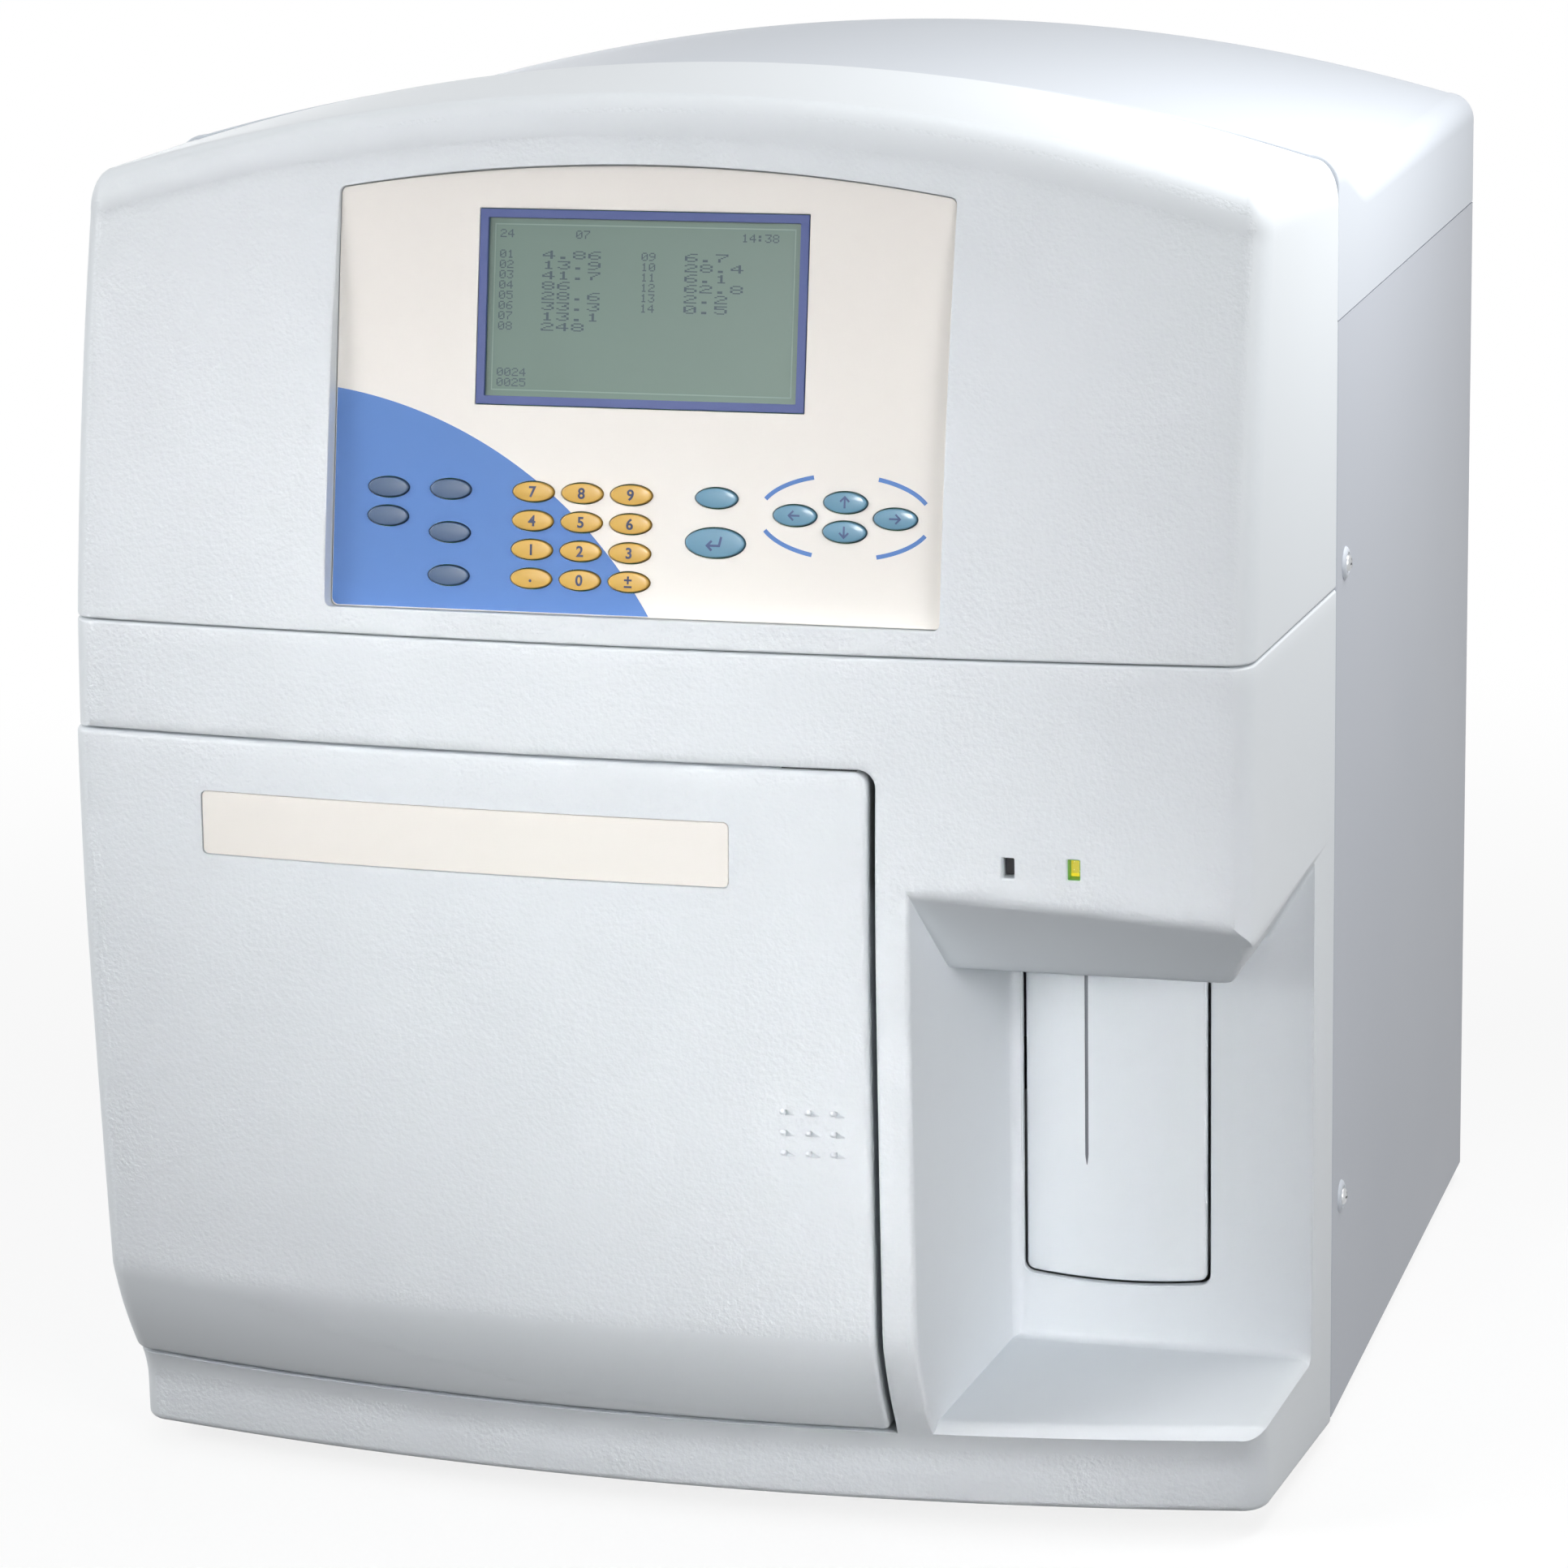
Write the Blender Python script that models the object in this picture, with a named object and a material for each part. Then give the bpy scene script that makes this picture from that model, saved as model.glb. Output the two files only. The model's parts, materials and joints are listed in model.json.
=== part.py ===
"""Hematology analyzer: a bench-top blood cell counter, built as separate pieces.

Run with: blender --background --python part.py
Units are metres, +Z is up, and the front faces -Y. The origin is the middle of the footprint.
"""
import math

import bmesh
import bpy
from mathutils import Vector

MM = 0.001

# Overall size: width over the side panels, depth from the front face to the rear edge,
# and the heights that stand on one another
WIDTH = 444 * MM
DEPTH = 481 * MM
FOOT_HEIGHT = 5.0 * MM
PLINTH_HEIGHT = 33.3 * MM
DOOR_FOOT_GAP = 1.2 * MM
DOOR_HEIGHT = 248 * MM
BAND_HEIGHT = 40.5 * MM
UPPER_COVER_HEIGHT = 188 * MM

# Clearances and tool sizes shared by all pieces
SEAT_GAP = 0.3 * MM
COVER_GAP = 0.6 * MM
DOOR_GAP = 1.0 * MM
WALL = 3.0 * MM
SHEET = 1.5 * MM
OVERRUN = 2.0 * MM
FAR_OVERRUN = 40 * MM
WELD = 0.001 * MM
SMOOTH_ANGLE = math.radians(35)

# Planes and heights that the sizes above fix
PANEL_HALF_WIDTH = WIDTH / 2
FRONT_Y = -DEPTH / 2
REAR_Y = DEPTH / 2
DECK_HEIGHT = FOOT_HEIGHT + PLINTH_HEIGHT
DOOR_BOTTOM = DECK_HEIGHT + DOOR_FOOT_GAP
DOOR_TOP = DOOR_BOTTOM + DOOR_HEIGHT
LINTEL_BOTTOM = DOOR_TOP + DOOR_GAP
LINTEL_TOP = LINTEL_BOTTOM + WALL
SEAM_HEIGHT = DOOR_TOP + BAND_HEIGHT
HEIGHT = SEAM_HEIGHT + UPPER_COVER_HEIGHT

# Where the covers end: the side panels' top and front edges
SIDE_DROP = 90.6 * MM
COVER_DEPTH = 153.8 * MM
FRONT_TAPER = 5.3 * MM
SIDE_TOP = HEIGHT - SIDE_DROP
COVER_REAR = FRONT_Y + COVER_DEPTH
BULKHEAD_Y = COVER_REAR + COVER_GAP
FRONT_HALF_WIDTH = PANEL_HALF_WIDTH - FRONT_TAPER

# Front face: an arc seen from the side, bowed in plan, tucked back under the crease
BULGE_DROP = 87.5 * MM
FACE_RADIUS = 952 * MM
LOWER_FACE_RADIUS = 5000 * MM
TUCK_HEIGHT = 40 * MM
TUCK_DEPTH = 18.9 * MM
TUCK_START_SHARE = 0.6
BOW_INSET = 7.0 * MM
SEAM_BOW = 9.8 * MM
DOOR_FOOT_BOW = 24.7 * MM
BULGE_HEIGHT = DOOR_TOP - BULGE_DROP
CREASE_HEIGHT = DOOR_BOTTOM + TUCK_HEIGHT
BOW_HALF_WIDTH = PANEL_HALF_WIDTH - BOW_INSET

# Rounding of the covers' edges: across, in depth and in height
EDGE_ACROSS = 9.0 * MM
EDGE_DEPTH = 12.0 * MM
EDGE_RISE = 16.0 * MM

# Upper front cover and rear hood: both are arched across, and the hood runs lower
COVER_ARCH_RISE = 32.4 * MM
HOOD_DROP = 17 * MM
HOOD_ARCH_RISE = 31.3 * MM
HOOD_SLOPE = 67.2 * MM
HOOD_EDGE = 11.0 * MM
HOOD_STEP = 1.0 * MM
COVER_SHOULDER = HEIGHT - COVER_ARCH_RISE
HOOD_APEX = HEIGHT - HOOD_DROP
HOOD_SHOULDER = HOOD_APEX - HOOD_ARCH_RISE
HOOD_SLOPE_END = COVER_REAR + HOOD_SLOPE

# Lower front cover: plinth, column and the sampling bay's walls
PLINTH_COVE = 5.3 * MM
PLINTH_COVE_HEIGHT = 16 * MM
PLINTH_LIFT = 6.3 * MM
DECK_THICKNESS = 5.3 * MM
COLUMN_INSET = 135 * MM
BAY_FRONT_INSET = 123.5 * MM
BAY_BACK_INSET = 114 * MM
MACHINE_SPACE = 32.8 * MM
BAY_CEILING_DROP = 81.5 * MM
BAY_LIP_SETBACK = 48.5 * MM
BAY_LIP_INSET = 18 * MM
BAY_FLOOR_RISE = 5.6 * MM
BAY_FLOOR_FALL = 2.0 * MM
BAY_FLOOR_EDGE = 3.8 * MM
BAY_FRONT_RISE = 34 * MM
BAY_SIDE_RISE = 31 * MM
BAY_WALL = 3.0 * MM
DECK_BOTTOM = DECK_HEIGHT - DECK_THICKNESS
COLUMN_LEFT = PANEL_HALF_WIDTH - COLUMN_INSET
BAY_LEFT_FRONT = PANEL_HALF_WIDTH - BAY_FRONT_INSET
BAY_LEFT_BACK = PANEL_HALF_WIDTH - BAY_BACK_INSET
BAY_BACK = COVER_REAR - MACHINE_SPACE
BAY_CEILING = DOOR_TOP - BAY_CEILING_DROP
BAY_LIP_Y = FRONT_Y + BAY_LIP_SETBACK
BAY_LIP_RIGHT = PANEL_HALF_WIDTH - BAY_LIP_INSET
BAY_FLOOR_BACK = DECK_HEIGHT + BAY_FLOOR_RISE
BAY_FLOOR_FRONT = BAY_FLOOR_BACK - BAY_FLOOR_FALL
BAY_FRONT_EDGE_HEIGHT = BAY_CEILING + BAY_FRONT_RISE
BAY_SIDE_EDGE_HEIGHT = BAY_CEILING + BAY_SIDE_RISE

# Status windows above the bay
WINDOW_WIDTH = 4.5 * MM
WINDOW_HEIGHT = 7.4 * MM
WINDOW_RISE = 16 * MM
WINDOW_INSET = 88.2 * MM
WINDOW_PITCH = 22.8 * MM
LENS_SUNK = 1.0 * MM
LENS_BAR = 2.0 * MM
WINDOW_X = PANEL_HALF_WIDTH - WINDOW_INSET
WINDOW_Z = BAY_FRONT_EDGE_HEIGHT + WINDOW_RISE

# Door on its left hinge
DOOR_COLUMN_GAP = 3.0 * MM
DOOR_PROUD = 1.2 * MM
DOOR_RETURN_DEPTH = 72.5 * MM
DOOR_SWING_GAP = 2.8 * MM
DOOR_PAN_DEPTH = 32.5 * MM
HINGE_INSET = 7.7 * MM
HINGE_SETBACK = 52.5 * MM
PIN_RADIUS = 2.0 * MM
PIN_CLEARANCE = 0.3 * MM
PIN_HEAD_RADIUS = 4.0 * MM
PIN_HEAD = 1.6 * MM
DOOR_RIGHT = COLUMN_LEFT - DOOR_COLUMN_GAP
DOOR_RETURN_REAR = FRONT_Y + DOOR_RETURN_DEPTH
DOOR_PAN_REAR = FRONT_Y + DOOR_PAN_DEPTH
HINGE_X = HINGE_INSET - FRONT_HALF_WIDTH
HINGE_Y = FRONT_Y + HINGE_SETBACK

# Finger pips on the door
PIP_COUNT = 3
PIP_INSET = 31.2 * MM
PIP_DROP = 138.3 * MM
PIP_PITCH_X = 9.1 * MM
PIP_PITCH_Z = 7.6 * MM
PIP_WIDTH = 5.4 * MM
PIP_HEIGHT = 3.4 * MM
PIP_PROUD = 0.9 * MM
PIP_X = DOOR_RIGHT - PIP_INSET
PIP_Z = DOOR_TOP - PIP_DROP

# Label plate in the door's face
LABEL_LEFT_INSET = 57 * MM
LABEL_RIGHT_INSET = 49.5 * MM
LABEL_DROP = 19.5 * MM
LABEL_HEIGHT = 23 * MM
LABEL_THICKNESS = 1.2 * MM
LABEL_SUNK = 0.4 * MM
LABEL_LEFT = LABEL_LEFT_INSET - PANEL_HALF_WIDTH
LABEL_RIGHT = DOOR_RIGHT - LABEL_RIGHT_INSET
LABEL_TOP = DOOR_TOP - LABEL_DROP
LABEL_BOTTOM = LABEL_TOP - LABEL_HEIGHT

# Control panel, in its own tilted plane: across, up the plane and out of it
PANEL_CENTRE_X = -3.6 * MM
PANEL_SETBACK = 18.6 * MM
PANEL_FOOT_RISE = 8.6 * MM
PANEL_TILT = math.radians(10.48)
PANEL_WIDTH = 224.2 * MM
PANEL_HEAD_SPACE = 1.6 * MM
PANEL_ARCH_RISE = 9.4 * MM
PANEL_CORNER = 2.5 * MM
PANEL_THICKNESS = 1.5 * MM
PANEL_LEDGE = 8.0 * MM
PANEL_BACKING = 2.5 * MM
PANEL_FRAME = 4.0 * MM
BOARD_THICKNESS = 1.6 * MM
PANEL_FOOT_Y = FRONT_Y + PANEL_SETBACK
PANEL_FOOT_Z = SEAM_HEIGHT + PANEL_FOOT_RISE
PANEL_CORNER_HEIGHT = (COVER_SHOULDER - PANEL_FOOT_Z) / math.cos(PANEL_TILT) - PANEL_HEAD_SPACE
PANEL_APEX_HEIGHT = PANEL_CORNER_HEIGHT + PANEL_ARCH_RISE

# Keys: their columns are shares of the panel's width, counted from its middle line
KEY_HEIGHT = 6.9 * MM
KEY_LAND_V = 3.27 * MM
KEY_LAND_U = 3.2 * MM
KEY_FOOT_V = 12.19 * MM
KEY_ROWS = 4
KEY_PROUD = 0.8 * MM
KEY_DEPTH = 3.5 * MM
KEY_CROWN = 0.5 * MM
KEY_CROWN_SHARE = 0.9
KEY_CLEARANCE = 0.35 * MM
KEY_SQUARENESS = 2.4
KEY_SIDES = 16
KEY_PITCH_SHARE = 0.0803
NUMBER_COLUMN_SHARE = -0.1673
FUNCTION_COLUMN_SHARE = -0.4077
FUNCTION_PITCH_SHARE = 0.1035
ESCAPE_COLUMN_SHARE = 0.132
ARROW_COLUMN_SHARE = 0.3394
ARROW_ROW_SHARE = 0.5
ENTER_ROW_SHARE = 1.534
ENTER_EXTRA = 3.3 * MM
ARROW_LAND_U = 2.8 * MM
ARROW_HEIGHT = 7.2 * MM
KEY_PITCH_U = PANEL_WIDTH * KEY_PITCH_SHARE
KEY_PITCH_V = KEY_HEIGHT + KEY_LAND_V
KEY_LENGTH = KEY_PITCH_U - KEY_LAND_U
KEY_TOP_V = KEY_FOOT_V + (KEY_ROWS - 1) * KEY_PITCH_V

# Display window between the keys and the panel's head
DISPLAY_WIDTH = 119.9 * MM
DISPLAY_HEAD_SPACE = 6.35 * MM
DISPLAY_KEY_SPACE = 26.9 * MM
DISPLAY_BORDER = 3.0 * MM
DISPLAY_GLASS_THICKNESS = 2.6 * MM
DISPLAY_PROUD = 0.2 * MM
DISPLAY_TOP = PANEL_CORNER_HEIGHT - DISPLAY_HEAD_SPACE
DISPLAY_BOTTOM = KEY_TOP_V + KEY_HEIGHT / 2 + DISPLAY_KEY_SPACE

# Sampling needle, its sliding holder and its guide
NEEDLE_INSET = 37 * MM
NEEDLE_STANDOFF = 41.1 * MM
NEEDLE_REACH = 79.4 * MM
NEEDLE_RADIUS = 0.6 * MM
NEEDLE_SHANK_RADIUS = 1.3 * MM
NEEDLE_SHANK_RISE = 6.0 * MM
NEEDLE_BEVEL = 4.0 * MM
NEEDLE_HOLE_RADIUS = 3.0 * MM
HOLDER_RISE = 84 * MM
HOLDER_HEIGHT = 22 * MM
HOLDER_WIDTH = 66 * MM
HOLDER_DEPTH = 18 * MM
HOLDER_ARM = 12 * MM
GUIDE_RISE = 30 * MM
GUIDE_HEIGHT = 168 * MM
GUIDE_PLATE = 4.0 * MM
GUIDE_ROD_RADIUS = 3.0 * MM
GUIDE_ROD_PITCH = 44 * MM
GUIDE_ROD_STANDOFF = 54.3 * MM
GUIDE_BACK_SHEET = 2.5 * MM
GUIDE_MOTOR = 35 * MM
GUIDE_MOTOR_HEIGHT = 26 * MM
RUNNING_GAP = 0.35 * MM
NEEDLE_X = BAY_LEFT_BACK + NEEDLE_INSET
NEEDLE_Y = BAY_BACK - NEEDLE_STANDOFF
NEEDLE_TIP = BAY_CEILING - NEEDLE_REACH
NEEDLE_SHANK_START = BAY_CEILING + NEEDLE_SHANK_RISE
HOLDER_BOTTOM = BAY_CEILING + HOLDER_RISE
GUIDE_BOTTOM = BAY_CEILING + GUIDE_RISE
GUIDE_ROD_Y = COVER_REAR - GUIDE_ROD_STANDOFF

# Start bar that the tube presses, hung from a rod
BAR_INSET = 5.0 * MM
BAR_WIDTH = 68 * MM
BAR_FOOT_SPACE = 32.7 * MM
BAR_RISE = 20 * MM
BAR_SAG = 2.0 * MM
BAR_GAP = 1.5 * MM
BAR_THICKNESS = 3.0 * MM
BAR_ROD_RADIUS = 2.0 * MM
BAR_ROD_SETBACK = 9.5 * MM
BAR_ROD_DROP = 4.0 * MM
BAR_ROD_END = 5.0 * MM
BAR_ARM_WIDTH = 5.0 * MM
BAR_ARM_INSET = 6.0 * MM
EAR_THICKNESS = 3.0 * MM
EAR_HEIGHT = 14.0 * MM
BAR_LEFT = BAY_LEFT_BACK + BAR_INSET
BAR_RIGHT = BAR_LEFT + BAR_WIDTH
BAR_BOTTOM = DECK_HEIGHT + BAR_FOOT_SPACE
BAR_TOP = BAY_CEILING + BAR_RISE

# Chassis, side panels, back panel and feet
TRAY_MARGIN = 9.7 * MM
TRAY_SETBACK = 75.5 * MM
TRAY_FLANGE = 12 * MM
BULKHEAD_MARGIN = 18 * MM
BULKHEAD_RISE = 14.6 * MM
BULKHEAD_WINDOW = 60 * MM
BULKHEAD_WINDOW_BOTTOM = 130 * MM
SIDE_FOOT_GAP = 3.0 * MM
SIDE_REAR_INSET = 2.5 * MM
SIDE_RETURN = 12 * MM
BACK_PANEL_INSET = 13.5 * MM
BACK_PANEL_MARGIN = 3.5 * MM
FOOT_RADIUS = 14 * MM
FOOT_FOOTPRINT_SHARE = 0.8
FOOT_INSET = 37 * MM
FOOT_FRONT_SETBACK = 100.5 * MM
FOOT_REAR_INSET = 40.5 * MM
TRAY_BOTTOM = FOOT_HEIGHT + SEAT_GAP
TRAY_TOP = TRAY_BOTTOM + SHEET
TRAY_FRONT = FRONT_Y + TRAY_SETBACK
TRAY_FRONT_HALF_WIDTH = FRONT_HALF_WIDTH - TRAY_MARGIN
BULKHEAD_HALF_WIDTH = PANEL_HALF_WIDTH - BULKHEAD_MARGIN
BULKHEAD_TOP = SIDE_TOP + BULKHEAD_RISE
SIDE_BOTTOM = FOOT_HEIGHT + SIDE_FOOT_GAP
SIDE_REAR = REAR_Y - SIDE_REAR_INSET
BACK_PANEL_Y = REAR_Y - BACK_PANEL_INSET
BACK_PANEL_HALF_WIDTH = PANEL_HALF_WIDTH - BACK_PANEL_MARGIN
TRAY_REAR = BACK_PANEL_Y - SHEET - SEAT_GAP
FOOT_X = PANEL_HALF_WIDTH - FOOT_INSET
FOOT_FRONT_Y = FRONT_Y + FOOT_FRONT_SETBACK
FOOT_REAR_Y = REAR_Y - FOOT_REAR_INSET

# Reagent bottles with their caps on: a row that fills the space behind the door
BOTTLE_NAMES = ("lyse_bottle", "stain_bottle", "cleaner_bottle")
BOTTLE_WALL_SPACE = 44 * MM
BOTTLE_COLUMN_SPACE = 9.0 * MM
BOTTLE_DEPTH = 54 * MM
BOTTLE_HEADROOM = 49.9 * MM
BOTTLE_NECK_HEIGHT = 6.0 * MM
BOTTLE_NECK_RADIUS = 13 * MM
BOTTLE_SPACE = 5.0 * MM
BOTTLE_SHOULDER_RISE = 16 * MM
BOTTLE_SQUARENESS = 6
CAP_RADIUS = 17 * MM
CAP_HEIGHT = 18 * MM
CAP_STEM_RADIUS = 4.0 * MM
CAP_STEM_HEIGHT = 10 * MM
BOTTLE_LEFT = BOTTLE_WALL_SPACE - PANEL_HALF_WIDTH
BOTTLE_ROW = COLUMN_LEFT - BOTTLE_COLUMN_SPACE - BOTTLE_LEFT
BOTTLE_WIDTH = (BOTTLE_ROW + BOTTLE_SPACE) / len(BOTTLE_NAMES) - BOTTLE_SPACE

# Fluidics in front of the bulkhead, over the reagent compartment
FLUIDICS_STANDOFF = 25.3 * MM
CHAMBER_COUNT = 5
CHAMBER_PITCH = 27 * MM
CHAMBER_RADIUS = 10 * MM
CHAMBER_BORE = 8.0 * MM
CHAMBER_HEIGHT = 46 * MM
CHAMBER_BASE = 12 * MM
CHAMBER_ROW_SHARE = 0.536
SYRINGE_COUNT = 3
SYRINGE_PITCH = 27 * MM
SYRINGE_WALL_SPACE = 58 * MM
SYRINGE_RADIUS = 9.0 * MM
SYRINGE_BORE = 7.0 * MM
SYRINGE_BARREL = 52 * MM
SYRINGE_RISE = 56.5 * MM
SYRINGE_BLOCK = 12 * MM
PISTON_LENGTH = 64 * MM
PISTON_SEAL = 8.0 * MM
PISTON_ROD = 3.0 * MM
PISTON_BAR = 7.0 * MM
FLUIDICS_Y = COVER_REAR - FLUIDICS_STANDOFF
SYRINGE_X = SYRINGE_WALL_SPACE - PANEL_HALF_WIDTH
SYRINGE_RIGHT = SYRINGE_X + (SYRINGE_COUNT - 1) * SYRINGE_PITCH + SYRINGE_RADIUS + SYRINGE_BLOCK / 2
SYRINGE_BOTTOM = LINTEL_TOP + SYRINGE_RISE
CHAMBER_SPACE = NEEDLE_X - HOLDER_WIDTH / 2 - SYRINGE_RIGHT
CHAMBER_MIDDLE = SYRINGE_RIGHT + CHAMBER_SPACE * CHAMBER_ROW_SHARE
CHAMBER_X = CHAMBER_MIDDLE - (CHAMBER_COUNT - 1) * CHAMBER_PITCH / 2

# Rear machinery
MACHINE_SIDE_SPACE = 32 * MM
OPTICS_BACK_SPACE = 117 * MM
OPTICS_LENGTH = 130 * MM
OPTICS_WIDTH = 90 * MM
OPTICS_PLATE = 10 * MM
OPTICS_LEG = 30 * MM
OPTICS_BOX = 50 * MM
OPTICS_TUBE_RADIUS = 14 * MM
MAIN_BOARD_FRONT_SPACE = 46.1 * MM
MAIN_BOARD_BACK_SPACE = 47 * MM
MAIN_BOARD_FOOT_SPACE = 133.2 * MM
MAIN_BOARD_HEAD_SPACE = 45.4 * MM
MAIN_BOARD_STAND = 12 * MM
CHIP_HEIGHT = 4.0 * MM
SUPPLY_BACK_SPACE = 37 * MM
SUPPLY_WIDTH = 110 * MM
SUPPLY_DEPTH = 100 * MM
SUPPLY_HEIGHT = 95 * MM
OPTICS_X = PANEL_HALF_WIDTH - MACHINE_SIDE_SPACE - OPTICS_LENGTH
OPTICS_Y = BACK_PANEL_Y - OPTICS_BACK_SPACE - OPTICS_WIDTH
MAIN_BOARD_Y = BULKHEAD_Y + MAIN_BOARD_FRONT_SPACE
MAIN_BOARD_Z = TRAY_TOP + MAIN_BOARD_FOOT_SPACE
MAIN_BOARD_LENGTH = BACK_PANEL_Y - MAIN_BOARD_BACK_SPACE - MAIN_BOARD_Y
MAIN_BOARD_HEIGHT = SIDE_TOP - MAIN_BOARD_HEAD_SPACE - MAIN_BOARD_Z
SUPPLY_X = MACHINE_SIDE_SPACE - PANEL_HALF_WIDTH
SUPPLY_Y = BACK_PANEL_Y - SUPPLY_BACK_SPACE - SUPPLY_DEPTH

# Rear connections: mains inlet with its switch, fan and hose ports
CONNECTION_RISE = 55 * MM
INLET_INSET = 72 * MM
INLET_WIDTH = 27 * MM
INLET_HEIGHT = 20 * MM
INLET_DEPTH = 24 * MM
INLET_FLANGE = 5.0 * MM
INLET_FLANGE_THICKNESS = 2.5 * MM
INLET_WALL = 2.5 * MM
INLET_PIN = 1.6 * MM
SWITCH_PITCH = 25 * MM
SWITCH_WIDTH = 24 * MM
SWITCH_HEIGHT = 18 * MM
SWITCH_FRAME = 2.0 * MM
SWITCH_DEPTH = 14 * MM
SWITCH_PROUD = 3.0 * MM
ROCKER_TIP_SHARE = 0.88
FAN_SIZE = 80 * MM
FAN_INSET = 102 * MM
FAN_DROP = 95.4 * MM
FAN_DEPTH = 25 * MM
FAN_BLADES = 7
FAN_HUB_RADIUS = 18 * MM
FAN_TIP_GAP = 2.0 * MM
FAN_BLADE = 1.6 * MM
FAN_RIM = 3.0 * MM
FAN_STRUT = 4.0 * MM
PORT_COUNT = 4
PORT_INSET = 84 * MM
PORT_PITCH = 26 * MM
PORT_RADIUS = 4.0 * MM
PORT_COLLAR = 8.0 * MM
PORT_REACH = 12.0 * MM
PORT_BORE = 2.0 * MM
PORT_PLATE = 3.0 * MM
PORT_NECK_SHARE = 0.75
INLET_X = INLET_INSET - PANEL_HALF_WIDTH
INLET_Z = FOOT_HEIGHT + CONNECTION_RISE
SWITCH_Z = INLET_Z + SWITCH_PITCH
FAN_X = PANEL_HALF_WIDTH - FAN_INSET
FAN_Z = SIDE_TOP - FAN_DROP
FAN_BORE_RADIUS = FAN_SIZE / 2 - FAN_RIM
PORT_X = PANEL_HALF_WIDTH - PORT_INSET - (PORT_COUNT - 1) * PORT_PITCH
PORT_Z = FOOT_HEIGHT + CONNECTION_RISE

COVER_FINISH = ((0.80, 0.83, 0.87, 1), 0.5, 0.0)
HOOD_FINISH = ((0.72, 0.75, 0.80, 1), 0.45, 0.0)
SHEET_FINISH = ((0.74, 0.77, 0.81, 1), 0.42, 0.2)
STEEL_FINISH = ((0.62, 0.63, 0.65, 1), 0.35, 1.0)
RUBBER_FINISH = ((0.06, 0.06, 0.07, 1), 0.8, 0.0)
BEIGE_FINISH = ((0.82, 0.80, 0.76, 1), 0.5, 0.0)
BLUE_FINISH = ((0.06, 0.11, 0.35, 1), 0.4, 0.0)
GLASS_FINISH = ((0.20, 0.32, 0.24, 1), 0.15, 0.0)
NUMBER_KEY_FINISH = ((0.74, 0.44, 0.09, 1), 0.45, 0.0)
FUNCTION_KEY_FINISH = ((0.11, 0.18, 0.38, 1), 0.45, 0.0)
LIGHT_KEY_FINISH = ((0.19, 0.42, 0.56, 1), 0.45, 0.0)
BOARD_FINISH = ((0.05, 0.25, 0.12, 1), 0.5, 0.0)
BLACK_FINISH = ((0.03, 0.03, 0.035, 1), 0.5, 0.0)
CLEAR_FINISH = ((0.78, 0.82, 0.84, 1), 0.2, 0.0)
LENS_FINISH = ((0.62, 0.78, 0.10, 1), 0.25, 0.0)
BOTTLE_FINISH = ((0.86, 0.87, 0.86, 1), 0.35, 0.0)


def clear_scene():
    for item in list(bpy.data.objects):
        bpy.data.objects.remove(item, do_unlink=True)


def material(name, finish):
    colour, roughness, metallic = finish
    made = bpy.data.materials.new(name)
    made.use_nodes = True
    shader = made.node_tree.nodes["Principled BSDF"]
    shader.inputs["Base Color"].default_value = colour
    shader.inputs["Roughness"].default_value = roughness
    shader.inputs["Metallic"].default_value = metallic
    return made


def solid(name, shape, origin, parent):
    """Make an object from (points, faces), with its origin at the given place."""
    points, faces = shape
    middle = Vector(origin)
    mesh = bpy.data.meshes.new(name)
    mesh.from_pydata([Vector(point) - middle for point in points], [], faces)
    model = bmesh.new()
    model.from_mesh(mesh)
    bmesh.ops.remove_doubles(model, verts=model.verts, dist=WELD)
    bmesh.ops.recalc_face_normals(model, faces=model.faces)
    model.to_mesh(mesh)
    model.free()
    made = bpy.data.objects.new(name, mesh)
    bpy.context.collection.objects.link(made)
    made.location = middle
    made.parent = parent
    return made


def piece(name, shape, finish, origin=(0, 0, 0), parent=None):
    made = solid(name, shape, origin, parent)
    made.data.shade_smooth()
    made.data.set_sharp_from_angle(angle=SMOOTH_ANGLE)
    made.data.materials.append(material(name, finish))
    return made


def cutter(name, shape, parent=None):
    made = solid(name, shape, (0, 0, 0), parent)
    made.hide_render = True
    made.display_type = "WIRE"
    return made


def combine(target, tool, operation):
    change = target.modifiers.new(tool.name, "BOOLEAN")
    change.operation = operation
    change.solver = "EXACT"
    change.object = tool


def cut(target, *tools):
    for tool in tools:
        combine(target, tool, "DIFFERENCE")


def unite(target, *tools):
    for tool in tools:
        combine(target, tool, "UNION")


def frame_empty(name, location, tilt=0):
    made = bpy.data.objects.new(name, None)
    made.location = location
    made.rotation_euler = (tilt, 0, 0)
    bpy.context.collection.objects.link(made)
    return made


def joined(*shapes):
    """Several closed shapes as one list of points and faces."""
    points = []
    faces = []
    for more_points, more_faces in shapes:
        base = len(points)
        points.extend(more_points)
        faces.extend([tuple(base + index for index in face) for face in more_faces])
    return points, faces


def loft(rings):
    """Closed rings of equal count, one after another, with flat ends."""
    count = len(rings[0])
    points = [point for ring in rings for point in ring]
    faces = []
    for level in range(len(rings) - 1):
        for index in range(count):
            following = (index + 1) % count
            low = level * count
            high = low + count
            faces.append((low + index, low + following, high + following, high + index))
    faces.append(tuple(range(count)))
    faces.append(tuple(range(len(points) - count, len(points))))
    return points, faces


def placed(outline, along, level):
    """A flat outline of (a, b) pairs as points across the named axis."""
    if along == "x":
        return [(level, a, b) for a, b in outline]
    if along == "y":
        return [(a, level, b) for a, b in outline]
    return [(a, b, level) for a, b in outline]


def prism(outline, along, low, high):
    return loft([placed(outline, along, low), placed(outline, along, high)])


def box(x_low, x_high, y_low, y_high, z_low, z_high):
    outline = [(x_low, y_low), (x_high, y_low), (x_high, y_high), (x_low, y_high)]
    return prism(outline, "z", z_low, z_high)


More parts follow.
